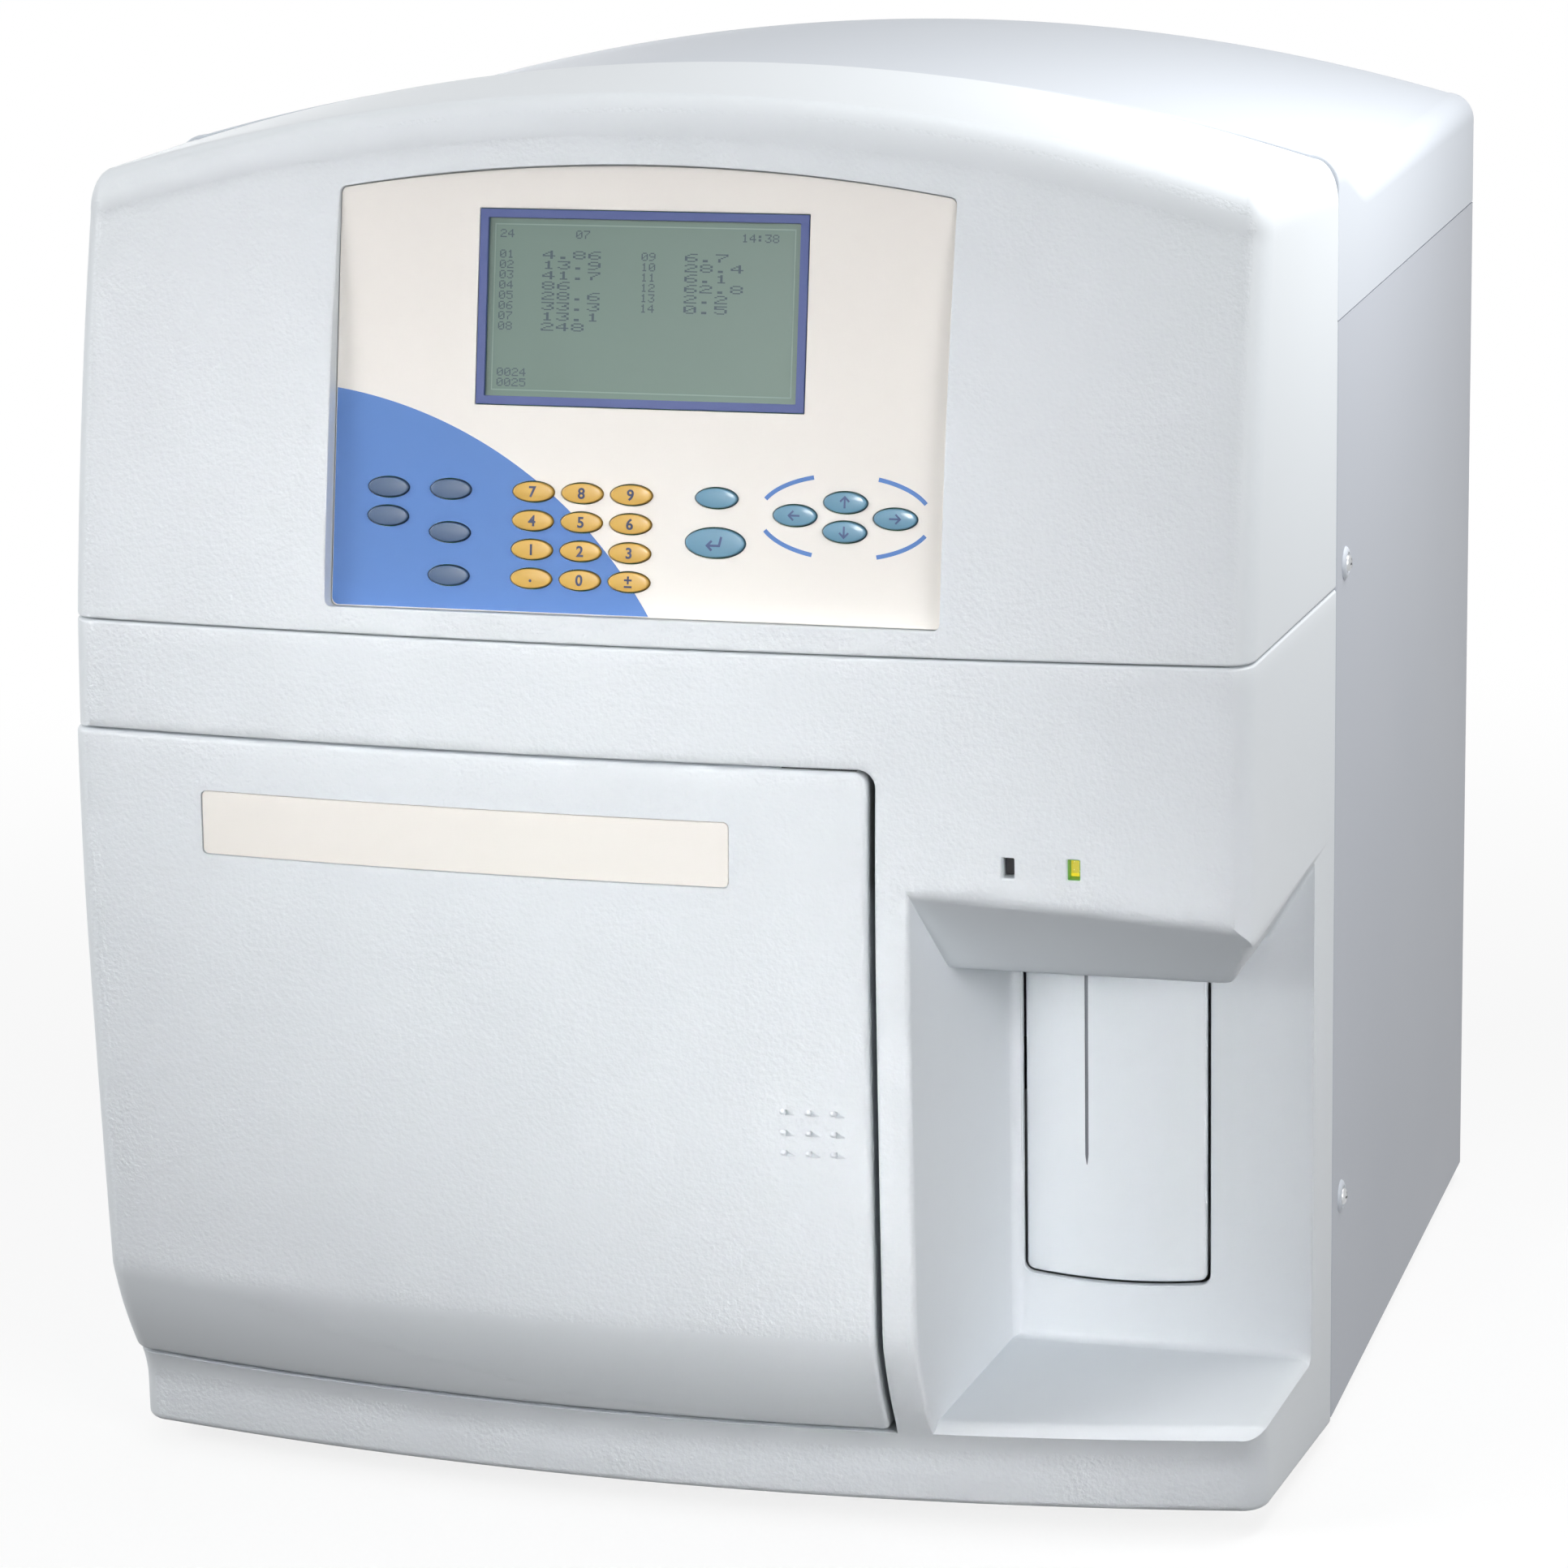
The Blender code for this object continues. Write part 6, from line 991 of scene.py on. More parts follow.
def foot(name):
    low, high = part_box(name)
    x, y, _ = centre(name)
    radius = (high.x - low.x) / 2
    edge = low.z + FOOT_EDGE
    profile = [(radius * 0.78, low.z), (radius * 0.84, edge)]
    profile += [(radius * (0.84 + 0.16 * sin(turn)), edge + (high.z - low.z) * 0.5 * (1 - cos(turn)))
                for turn in quarter(6)]
    return smooth(name + "_pad", turned(x, y, "z", profile + [(radius, high.z)], 64))


# Door

def label_plate(name, grow, out, back):
    """The label's rounded rectangle, as a plate that follows the face between two depths."""
    x_low, x_high = LABEL_LOW.x - grow, LABEL_HIGH.x + grow
    z_low, z_high = LABEL_LOW.z - grow, LABEL_HIGH.z + grow
    zs = spread(z_low - OVERRUN, z_high + OVERRUN, 4)
    rings = [[(x, face_y(x, z) + out, z) for z in zs] + [(x, face_y(x, z) + back, z) for z in zs[::-1]]
             for x in spread(x_low - OVERRUN, x_high + OVERRUN, 60)]
    outline = rounded_box(x_low, x_high, z_low, z_high, LABEL_CORNER, 8)
    return carve(make(name, loft(rings)), prism(outline, "y", FRONT_Y - FAR_OVERRUN, FRONT_Y + FAR_OVERRUN),
                 operation="INTERSECT")


def door_ring(z, inset, columns=110, corner=10, arc=6, over=0):
    """The door's outline at one height: left return, face, rounded free edge and short return."""
    left = plan_ring(z, inset, DOOR_RETURN_REAR, DOOR_PROUD, 4, corner)[:corner + 2]
    left[0] = (left[0][0], left[0][1] + over, z)
    right = DOOR_RIGHT - inset
    start = right - DOOR_ROUND
    face = [(x, face_y(x, z) + inset, z) for x in spread(left[-1][0], start, columns)[1:]]
    edge = [(start + DOOR_ROUND * sin(turn), face_y(start, z) + inset + DOOR_ROUND * (1 - cos(turn)), z)
            for turn in quarter(arc)[1:]]
    return left + face + edge + [(right, DOOR_PAN_REAR + over, z)]


PIP_PLACES = [(DOOR_RIGHT - PIP_INSET + column * PIP_PITCH_X, DOOR_TOP - PIP_DROP + row * PIP_PITCH_Z)
              for row in range(3) for column in range(3)]


def finger_pips():
    """Three rows of three small cones where fingers pull the door."""
    return joined(*[loft([[(a, face_y(a, b) - proud * PIP_PROUD, b)
                           for a, b in ellipse(x, z, PIP_RADIUS * size, PIP_RADIUS * size, 24)]
                          for size, proud in PIP_PROFILE]) for x, z in PIP_PLACES])


def pip_hollows():
    """A wedge sunk beside each cone: deep at the cone, and running out to a point."""
    shapes = []
    for x, z in PIP_PLACES:
        rings = []
        for share in spread(0, 1, 5):
            a = x + PIP_RADIUS * 0.8 + PIP_TAIL * share
            middle = z - PIP_TAIL_DROP * share
            half = PIP_HEIGHT / 2 * (1 - 0.85 * share)
            y = face_y(a, middle)
            deep = PIP_DEPTH * (1.05 - share)
            rings.append([(a, y + depth, middle + half * rise) for depth, rise in (
                (-OVERRUN, 1), (deep * 0.5, 1), (deep, 0.5), (deep, -0.5), (deep * 0.5, -1), (-OVERRUN, -1))])
        shapes.append(loft(rings))
    return joined(*shapes)


def door_corner():
    """What is taken off the door's free upper corner, with a rounded edge in the face."""
    across, up = DOOR_RIGHT - DOOR_CORNER, DOOR_TOP - DOOR_CORNER
    front = face_y(across, up)

    def ring(y, radius):
        outline = [(DOOR_RIGHT + OVERRUN, DOOR_TOP + OVERRUN), (across, DOOR_TOP + OVERRUN)]
        outline += [(across + radius * cos(turn), up + radius * sin(turn)) for turn in spread(pi / 2, 0, 12)]
        return placed(outline + [(DOOR_RIGHT + OVERRUN, up)], "y", y)

    rings = [ring(front - FAR_OVERRUN, DOOR_CORNER - DOOR_ROUND)]
    rings += [ring(front + DOOR_ROUND * (1 - cos(turn)), DOOR_CORNER - DOOR_ROUND * (1 - sin(turn)))
              for turn in quarter(6)]
    return loft(rings + [ring(DOOR_PAN_REAR + OVERRUN, DOOR_CORNER)])


def front_door():
    rings = [door_ring(z, inset) for z, inset in round_levels(DOOR_BOTTOM, DOOR_ROUND, 5, down=True)]
    rings += [door_ring(z, 0) for z in spread(DOOR_BOTTOM + DOOR_ROUND, CREASE_HEIGHT, 8)[1:]
              + spread(CREASE_HEIGHT, DOOR_TOP - DOOR_ROUND, 36)[1:-1]]
    rings += [door_ring(z, inset) for z, inset in round_levels(DOOR_TOP, DOOR_ROUND, 5)]
    inner = spread(DOOR_BOTTOM + WALL, CREASE_HEIGHT, 4) + spread(CREASE_HEIGHT, DOOR_TOP - WALL, 8)[1:]
    hollow = loft([door_ring(z, WALL, 40, 5, 3, OVERRUN) for z in inner])
    bores = [pin_bore(low, low + WALL + 2 * OVERRUN)
             for low in (DOOR_BOTTOM - OVERRUN, DOOR_TOP - WALL - OVERRUN)]
    recess = label_plate("recess", SEAT_GAP, -OVERRUN, LABEL_SUNK + LABEL_THICKNESS + SEAT_GAP)
    door = make("door_shell", loft(rings))
    carve(door, hollow, joined(*bores), recess, door_corner(), pip_hollows())
    label = label_plate("door_label", 0, LABEL_SUNK, LABEL_SUNK + LABEL_THICKNESS)
    return shade(carve(door, finger_pips(), operation="UNION")), soften(label, LABEL_BEVEL)


# Rear hood and side panels

def hood_ring(y, inset, drop, columns=96, corner=12):
    """One cross-section of the hood: up the left side, over the arch and down."""
    half = HALF_WIDTH - inset
    edge = HOOD_EDGE - inset / 2
    core = half - edge

    def top(x):
        flat = arch(x, HOOD_APEX, HOOD_SHOULDER, half)
        high = arch(x, HEIGHT, COVER_SHOULDER, half) - HOOD_STEP
        return flat + (high - flat) * drop - inset

    side = [(core + edge * sin(turn), y, top(core) - edge * (1 - cos(turn))) for turn in quarter(corner)[1:]]
    side.append((half, y, HOOD_LOW - (OVERRUN if inset >= WALL else 0)))
    return flipped(side[::-1]) + [(x, y, top(x)) for x in spread(-core, core, columns)] + side


def rear_hood():
    def drop_at(share):
        return (1 + cos(pi * share)) / 2

    slope_end = COVER_REAR + HOOD_SLOPE
    level_end = REAR_Y - HOOD_REAR_ROUND
    lip_end = HOOD_FRONT + FRONT_LIP
    rings = [hood_ring(HOOD_FRONT + FRONT_LIP * (1 - cos(turn)), FRONT_LIP * (1 - sin(turn)), 1)
             for turn in quarter(4)]
    rings += [hood_ring(lip_end + (slope_end - HOOD_FRONT - FRONT_LIP) * share, 0, drop_at(share))
              for share in spread(0, 1, 36)[1:]]
    rings += [hood_ring(y, 0, 0) for y in spread(slope_end, level_end, 8)[1:]]
    rings += [hood_ring(level_end + HOOD_REAR_ROUND * sin(turn),
                        min(HOOD_REAR_ROUND * (1 - cos(turn)), WALL * 0.99), 0) for turn in quarter(8)[1:]]
    hollow = [hood_ring(HOOD_FRONT - OVERRUN, WALL, 1, 40, 5)]
    hollow += [hood_ring(HOOD_FRONT + (slope_end - HOOD_FRONT) * share, WALL, drop_at(share), 40, 5)
               for share in spread(0, 1, 10)[1:]]
    hollow.append(hood_ring(REAR_Y - WALL, WALL, 0, 40, 5))
    return shade(carve(make("hood", loft(rings)), loft(hollow)))


def side_panel(side, sign):
    low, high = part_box(side + "_side_panel")
    outer, inner, lip = HALF_WIDTH, HALF_WIDTH - SHEET, HALF_WIDTH - SIDE_RETURN
    outline = rounded([
        (outer, low.y, SHEET * 1.4), (outer, high.y, SHEET * 1.4), (lip, high.y, 0),
        (lip, high.y - SHEET, 0), (inner, high.y - SHEET, SHEET * 0.4),
        (inner, low.y + SHEET, SHEET * 0.4), (lip, low.y + SHEET, 0), (lip, low.y, 0)])
    return smooth(side + "_side_sheet", prism([(sign * a, b) for a, b in outline], "z", low.z, high.z))


# Keypad and display, in the panel's own plane

def key_table():
    """Every key: node, place across and up the panel, length, height, slot and mark."""
    pitch = PANEL_WIDTH * KEY_PITCH_SHARE
    length = pitch - KEY_LAND_U
    top = KEY_FOOT_V + 3 * KEY_PITCH_V
    keys = []
    for row, marks in enumerate((("7", "8", "9"), ("4", "5", "6"), ("1", "2", "3"), ("point", "0", "sign"))):
        for column, mark in enumerate(marks):
            node = "number_key_" + mark if mark.isdigit() else mark + "_key"
            u = PANEL_WIDTH * NUMBER_COLUMN_SHARE + column * pitch
            keys.append((node, u, top - row * KEY_PITCH_V, length, KEY_HEIGHT, "number_key", mark))
    for number, (column, row) in enumerate(FUNCTION_PLACES, 1):
        u = PANEL_WIDTH * (FUNCTION_COLUMN_SHARE + column * FUNCTION_PITCH_SHARE)
        keys.append((f"function_key_{number}", u, top - row * KEY_PITCH_V, length, KEY_HEIGHT, "function_key",
                     None))
    u = PANEL_WIDTH * ESCAPE_COLUMN_SHARE
    keys.append(("escape_key", u, top, length, KEY_HEIGHT, "light_key", None))
    keys.append(("enter_key", u, top - KEY_PITCH_V * ENTER_ROW_SHARE, pitch + ENTER_EXTRA,
                 KEY_HEIGHT + ENTER_EXTRA, "light_key", "return"))
    u, v, half = PANEL_WIDTH * ARROW_COLUMN_SHARE, top - KEY_PITCH_V / 2, KEY_PITCH_V / 2
    for side, du, dv in (("left", -pitch, 0), ("right", pitch, 0), ("up", 0, half), ("down", 0, -half)):
        keys.append((f"arrow_{side}_key", u + du, v + dv, pitch - ARROW_LAND_U, ARROW_HEIGHT, "light_key",
                     side))
    return keys


def key_cap(u, v, length, height):
    """A low dome on an elliptic foot."""
    levels = [(1, -KEY_DEPTH), (1, KEY_PROUD * 0.45)]
    levels += [(1 - 0.11 * (1 - cos(turn)), KEY_PROUD * (0.45 + 0.42 * sin(turn))) for turn in quarter(8)[1:]]
    levels += [(across, KEY_PROUD * rise) for across, rise in CAP_CROWN]
    return loft([placed(ellipse(u, v, length / 2 * across, height / 2 * across, 48), "z", level)
                 for across, level in levels])


def sign_shapes(mark, u, v, size, low, high):
    """The plain signs that aren't digits: arrows, return, decimal point and plus over minus."""
    if mark == "point":
        return [prism(ellipse(u, v - size * 0.2, size * 0.13, size * 0.13, 20), "z", low, high)]
    turn = ARROW_TURNS.get(mark, 0)
    shapes = []
    for line in SIGN_LINES.get(mark, ARROW_LINES):
        spun = [(a * cos(turn) - b * sin(turn), a * sin(turn) + b * cos(turn)) for a, b in line]
        shapes.append(stroke([(u + a * size, v + b * size) for a, b in spun], size * 0.17, low, high))
    return shapes


def digit_shape(mark, u, v, size, low, high):
    """A plain digit as a thin raised mesh, centred on its key."""
    curve = bpy.data.curves.new("digit", "FONT")
    curve.body = mark
    curve.size = size * 1.35
    curve.extrude = (high - low) / 2
    curve.offset = size * 0.035
    curve.resolution_u = 6
    text = add_object("digit", curve)
    graph = bpy.context.evaluated_depsgraph_get()
    mesh = bpy.data.meshes.new_from_object(text.evaluated_get(graph))
    xs = [vertex.co.x for vertex in mesh.vertices]
    ys = [vertex.co.y for vertex in mesh.vertices]
    shift = Vector((u - (min(xs) + max(xs)) / 2, v - (min(ys) + max(ys)) / 2, (low + high) / 2))
    bpy.data.objects.remove(text, do_unlink=True)
    points = [tuple(vertex.co + shift) for vertex in mesh.vertices]
    return points, [tuple(face.vertices) for face in mesh.polygons]


def inked(name, shape, marks, *looks):
    """One piece from a body and its printed marks, with a finish for each."""
    made = smooth(name, shape)
    count = len(made.data.polygons)
    if marks:
        absorb(made, make(name + "_marks", joined(*marks)))
    wear(made, *looks)
    for face in made.data.polygons:
        if face.index >= count:
            face.material_index = 1
            face.use_smooth = False
    return made


def make_keys():
    low, high = KEY_PROUD * 0.9, KEY_PROUD + PRINT
    bodies = {name: body for body, names in frame["record"]["behaviour"]["bodies"].items() for name in names}
    for node, u, v, length, height, slot, mark in key_table():
        marks = []
        if mark and mark.isdigit():
            marks = [digit_shape(mark, u, v, DIGIT_HEIGHT, low, high)]
        elif mark:
            marks = sign_shapes(mark, u, v, DIGIT_HEIGHT * (1.25 if mark == "return" else 1.0), low, high)
        ink = ["key_ink" if slot == "number_key" else "sign_ink"] if marks else []
        cap = inked(node + "_cap", on_panel(key_cap(u, v, length, height)),
                    [on_panel(shape) for shape in marks], slot, *ink)
        stand_in(cap, bodies[node], slot, None, node)


def display_box(grow, low, high, radius=0):
    half = DISPLAY_WIDTH / 2 + grow
    return on_panel(prism(rounded_box(-half, half, DISPLAY_BOTTOM - grow, DISPLAY_TOP + grow, radius),
                          "z", low, high))


def arc_through(first, middle, last, count):
    """Points of the circle through three points, from the first to the last."""
    (ax, ay), (bx, by), (cx, cy) = first, middle, last
    scale = 2 * (ax * (by - cy) + bx * (cy - ay) + cx * (ay - by))
    a, b, c = ax * ax + ay * ay, bx * bx + by * by, cx * cx + cy * cy
    x = (a * (by - cy) + b * (cy - ay) + c * (ay - by)) / scale
    y = (a * (cx - bx) + b * (ax - cx) + c * (bx - ax)) / scale
    radius = hypot(ax - x, ay - y)
    turns = spread(atan2(ay - y, ax - x), atan2(cy - y, cx - x), count)
    return [(x + radius * cos(turn), y + radius * sin(turn)) for turn in turns]


def key_holes():
    return on_panel(joined(*[
        prism(ellipse(u, v, length / 2 + KEY_CLEARANCE, height / 2 + KEY_CLEARANCE, 48), "z",
              -FAR_OVERRUN / 4, FAR_OVERRUN / 4) for node, u, v, length, height, slot, mark in key_table()]))


def keypad_plate():
    """The flat plate with its key holes, the blue printed field and the arcs round the arrows."""
    plate = carve(make("keypad_plate", panel_block(0, -PANEL_THICKNESS, 0)), key_holes(),
                  display_box(SEAT_GAP, -PANEL_THICKNESS - OVERRUN, OVERRUN))
    half = PANEL_WIDTH / 2
    edge = arc_through((-half - OVERRUN, FIELD_TOP_SHARE * PANEL_CORNER_HEIGHT),
                       (FIELD_MIDDLE_SHARE * half, FIELD_MIDDLE_RISE_SHARE * PANEL_CORNER_HEIGHT),
                       (FIELD_FOOT_SHARE * half, -OVERRUN), 48)
    field = make("blue_field", on_panel(prism(edge + [(-half - OVERRUN, -OVERRUN)], "z", -PRINT, PRINT)))
    carve(field, panel_block(-PLATE_RIM, -OVERRUN, OVERRUN), operation="INTERSECT")
    u = PANEL_WIDTH * ARROW_COLUMN_SHARE
    v = KEY_FOOT_V + 2.5 * KEY_PITCH_V
    arcs = []
    for start in range(0, 360, 90):
        turns = spread(radians(start + ARC_START), radians(start + ARC_END), 24)
        line = [(u + ARC_HALF_WIDTH * cos(turn), v + ARC_HALF_HEIGHT * sin(turn)) for turn in turns]
        arcs.append(stroke(line, ARC_LINE, -PRINT, PRINT))
    return (soften(plate, PLATE_BEVEL), carve(field, key_holes()),
            make("arrow_arcs", on_panel(joined(*arcs))))


def dots(text, u, v, wide=1):
    """Characters in square dots, with their upper left corner at a place on the panel."""
    across, up = DOT_PITCH * (wide - 1 + DOT_SHARE), DOT_RISE * DOT_SHARE
    low, high = -PANEL_THICKNESS - PRINT, -PANEL_THICKNESS + PRINT
    shapes = []
    for place, character in enumerate(text):
        for row, line in enumerate(DIGIT_ROWS[character]):
            for column, dot in enumerate(line):
                if dot == "1":
                    left = u + (place * 6 + column) * DOT_PITCH * wide
                    top = v - row * DOT_RISE
                    shapes.append(box(left, left + across, top - up, top, low, high))
    return shapes


def display():
    """Blue border, grey-green display and invented readings in plain numbers."""
    floor_level = -PANEL_THICKNESS
    border = carve(make("display_border", display_box(0, floor_level + SEAT_GAP, DISPLAY_PROUD)),
                   display_box(-DISPLAY_BORDER, floor_level, OVERRUN, GLASS_CORNER))
    glass = make("display_panel", display_box(-SEAT_GAP, floor_level - DISPLAY_GLASS, floor_level))
    left = DISPLAY_BORDER + DOT_MARGIN - DISPLAY_WIDTH / 2
    top = DISPLAY_TOP - DISPLAY_BORDER - DOT_MARGIN
    bottom = top - LINE_PITCH * 13.5
    shapes = dots("24", left, top) + dots("07", left + DOT_PITCH * 60, top)
    shapes += dots("14:38", left + DOT_PITCH * 190, top)
    for start, first, values in ((left, 1, FIRST_READINGS), (left + DOT_PITCH * 112, 9, SECOND_READINGS)):
        for index, value in enumerate(values):
            v = top - LINE_PITCH * (2 + index)
            shapes += dots(f"{first + index:02}", start, v) + dots(value, start + DOT_PITCH * 34, v, 2)
    shapes += dots("0024", left, bottom) + dots("0025", left, bottom - LINE_PITCH)
    inner = -DISPLAY_BORDER - DOT_MARGIN / 2
    readings = make("display_readings", on_panel(joined(*shapes)))
    line = make("display_inner_line", display_box(inner, floor_level - PRINT, floor_level + PRINT / 2))
    carve(line, display_box(inner - RIM_LINE, floor_level - OVERRUN, OVERRUN))
    return soften(border, SMALL_BEVEL), glass, readings, line


# Finishes

def tone(red, green, blue):
    """A colour written as it looks, in steps up to 255, as the linear colour of a shader."""
    shares = [step / 255 for step in (red, green, blue)]
    return (*[share / 12.92 if share <= 0.04045 else ((share + 0.055) / 1.055) ** 2.4 for share in shares], 1)


def fill(tree, node, values):
    """Give a node's inputs their values, or link them to outputs."""
    for socket, value in values.items():
        if isinstance(value, bpy.types.NodeSocket):
            tree.links.new(value, node.inputs[socket])
        else:
            node.inputs[socket].default_value = value


def add_node(tree, kind, values=None, output=0, **settings):
    """A new shader node, given as its output."""
    node = tree.nodes.new("ShaderNode" + kind)
    for name, value in settings.items():
        setattr(node, name, value)
    fill(tree, node, values or {})
    return node.outputs[output]


def finish(name, colour, roughness, metallic=0.0, mottle=0.03, mottle_size=60, grain=0.02, grain_size=0.9,
           coat=0.0, transmission=0.0, stretch=(1, 1, 1), level=0.5, glow=None):
    """A surface with slight patches of tone and gloss over a fine grain; its sizes are in millimetres."""
    made = bpy.data.materials.new(name)
    made.use_nodes = True
    tree = made.node_tree
    base = tone(*colour)
    dark, light = [(*[min(part * (1 + change), 1) for part in base[:3]], 1) for change in (-mottle, mottle)]
    where = add_node(tree, "Mapping", {"Scale": stretch,
                                       "Vector": add_node(tree, "TexCoord", None, "Object")})
    patches, fine = [add_node(tree, "TexNoise", {"Scale": 1 / (size * MM), "Detail": detail, "Vector": where},
                              "Fac") for size, detail in ((mottle_size, 4), (grain_size, 2))]
    shader = tree.nodes["Principled BSDF"]
    fill(tree, shader, {
        "Base Color": add_node(tree, "Mix", {6: dark, 7: light, 0: patches}, 2, data_type="RGBA"),
        "Roughness": add_node(tree, "MapRange", {
            "To Min": roughness - 0.05, "To Max": roughness + 0.05, "Value": patches}),
        "Normal": add_node(tree, "Bump", {"Strength": 1, "Distance": grain * MM, "Height": fine}),
        "Metallic": metallic, "Coat Weight": coat, "Transmission Weight": transmission,
        "Specular IOR Level": level})
    if glow:
        fill(tree, shader, {"Emission Color": tone(*glow), "Emission Strength": 1})
    return made


COVER_TONE = (222, 227, 231)
FILM = {"mottle_size": 7, "grain": 0.012, "grain_size": 0.35}
KEY = {"mottle": 0.02, "mottle_size": 5, "grain": 0.006, "grain_size": 0.4, "coat": 0.3}
INK = {"mottle_size": 2, "grain": 0.004, "grain_size": 0.3}
DOTS = {"mottle_size": 3, "grain": 0.003}
LOOKS = {
    "cover_grained": (COVER_TONE, 0.5, dict(grain=0.3, grain_size=1.7, mottle=0.015)),
    "cover_smooth": (COVER_TONE, 0.48, dict(grain=0.012, mottle=0.015)),
    "hood_smooth": ((203, 209, 217), 0.45, dict(grain=0.01, mottle=0.015)),
    "painted_sheet": ((183, 188, 197), 0.45, dict(grain=0.03, grain_size=0.5)),
    "brushed_steel": ((196, 198, 202), 0.32, dict(metallic=1, grain=0.006, grain_size=0.25,
                                                  stretch=(1, 1, 0.05))),
    # A darker copy of the steel for the needle: a painted dark reflection along the needle
    "needle_steel_painted_dark": ((118, 121, 126), 0.3, dict(metallic=1, grain=0.003, grain_size=0.2,
                                                stretch=(1, 1, 0.1))),
    "zinc_plate": ((190, 192, 194), 0.36, dict(metallic=1, mottle=0.08, mottle_size=9, grain=0.01,
                                               grain_size=0.6)),
    "cast_case": ((120, 123, 128), 0.5, dict(metallic=0.8, grain=0.05, grain_size=0.5)),
    "foot_rubber": ((42, 42, 45), 0.75, dict(grain=0.04, grain_size=0.4, level=0.3)),
    "panel_film": ((236, 232, 226), 0.5, dict(mottle=0.008, **FILM)),
    "blue_print": ((80, 124, 190), 0.5, dict(mottle=0.01, **FILM)),
    "display_border": ((66, 82, 138), 0.42, dict(grain=0.008, grain_size=0.4)),
    "display_face": ((92, 117, 106), 0.3, dict(mottle_size=25, grain=0.003, coat=0.4)),
    "number_key": ((206, 164, 68), 0.34, KEY),
    "function_key": ((62, 87, 120), 0.34, KEY),
    "light_key": ((89, 138, 164), 0.34, KEY),
    "key_ink": ((50, 58, 88), 0.5, INK),
    "sign_ink": ((62, 84, 124), 0.5, INK),
    "display_dots": ((50, 72, 78), 0.4, DOTS),
    "display_line": ((114, 140, 128), 0.4, dict(mottle=0.02, **DOTS)),
    "circuit_board": ((36, 104, 66), 0.42, dict(mottle=0.1, mottle_size=12, grain_size=0.8)),
    "black_plastic": ((38, 38, 41), 0.5, dict(mottle=0.05, grain=0.03, grain_size=0.5)),
    "clear_plastic": ((222, 230, 234), 0.12, dict(transmission=0.85, grain=0.002)),
    "lit_lens": ((150, 132, 20), 0.3, dict(grain=0.004, glow=(215, 198, 34))),
    "lens_liner": ((92, 176, 84), 0.35, dict(grain=0.004)),
    "bottle_plastic": ((234, 235, 232), 0.4, dict(mottle_size=30, transmission=0.15)),
    "cap_plastic": ((74, 110, 168), 0.42, dict(grain_size=0.5)),
}
FINISHES = {name: finish(name, colour, roughness, **more)
            for name, (colour, roughness, more) in LOOKS.items()}
CAD_FINISHES = {
    "painted_sheet": ("back_panel",), "zinc_plate": ("base_chassis", "power_supply"),
    "circuit_board": ("keypad_board", "main_board"), "cast_case": ("optical_bench",),
    "brushed_steel": ("door_hinge_rod", "needle_guide", "fluid_ports", "syringe_pistons"),
    "clear_plastic": ("syringe_block", "dilution_chambers"),
    "black_plastic": ("mains_inlet", "fan_frame", "needle_holder", "power_switch", "fan_rotor"),
}


def wear(made, *names):
    made.data.materials.clear()
    for name in names:
        made.data.materials.append(FINISHES[name])


def wear_cover(made):
    """Grain on the parts that follow the front's face, and a smooth finish elsewhere."""
    wear(made, "cover_grained", "cover_smooth")
    for face in made.data.polygons:
        x, y, z = face.center
        on_face = abs(y - face_y(x, z)) < GRAIN_BAND and z > CREASE_HEIGHT and abs(x) < BOW_HALF_WIDTH
        on_foot = face.normal.y < -0.9 and z < DOOR_BOTTOM - PLINTH_COVE_HEIGHT / 2 and y < FOOT_GRAIN_Y
        face.material_index = 0 if on_face and face.normal.y < -0.8 or on_foot else 1


# Camera, light and floor

# Place in metres; turn to the left, tilt down and roll in degrees; lens and sensor in millimetres
CAMERA_PLACE = Vector((0.5504, -1.9773, 0.7291))
CAMERA_TURNS = (15.89, 13.85, 1.04)
CAMERA_LENS, CAMERA_SENSOR = 123.2, 36


def aim_camera():
    """The photograph's camera."""
    yaw, down, roll = [radians(turn) for turn in CAMERA_TURNS]
    forward = Vector((-sin(yaw) * cos(down), cos(yaw) * cos(down), -sin(down)))
    level = Vector((cos(yaw), sin(yaw), 0))
    below = forward.cross(level)
    right = level * cos(roll) + below * sin(roll)
    lower = below * cos(roll) - level * sin(roll)
    data = bpy.data.cameras.new("camera")
    data.lens = CAMERA_LENS
    data.sensor_width = CAMERA_SENSOR
    camera = add_object("camera", data)
    rows = [(*row, 0) for row in (right, -lower, -forward)] + [(*CAMERA_PLACE, 1)]
    camera.matrix_world = Matrix(rows).transposed()
    bpy.context.scene.camera = camera


# Each lamp: place, target, size, energy and the angle that it spreads over
LAMPS = {
    "left_softbox": ((-2.0, -1.4, 1.4), (0, -0.15, 0.4), (1.2, 1.2), 37, 180),
    "front_right_softbox": ((1.6, -1.5, 0.8), (0.1, -0.15, 0.25), (1.2, 0.6), 21, 180),
    "side_softbox": ((0.42, -0.02, 0.72), (0.23, 0.02, 0.4), (0.25, 0.25), 1.9, 180),
    "top_softbox": ((0, 0.1, 1.9), (0, 0, 0.4), (1.4, 1.4), 5.5, 180),
    "rear_softbox": ((-0.9, 2.4, 0.25), (0, 0.2, 0.2), (1.0, 0.4), 16, 180),
    "door_softbox": ((-0.3, -2.2, 0.85), (-0.04, -0.2, 0.25), (0.4, 0.4), 0.22, 12),
    "bay_softbox": ((1.1, -1.9, 0.5), (0.12, -0.2, 0.13), (0.15, 0.15), 0.05, 10),
}
WORLD_LIGHT = 0.14
FLOOR_HALF = 30
FLOOR_FADE = (0.45, 1.3)
FLOOR_GLOW = 0.82
FLOOR_SHADOW = (0.2, 0.2, 0.2, 1)
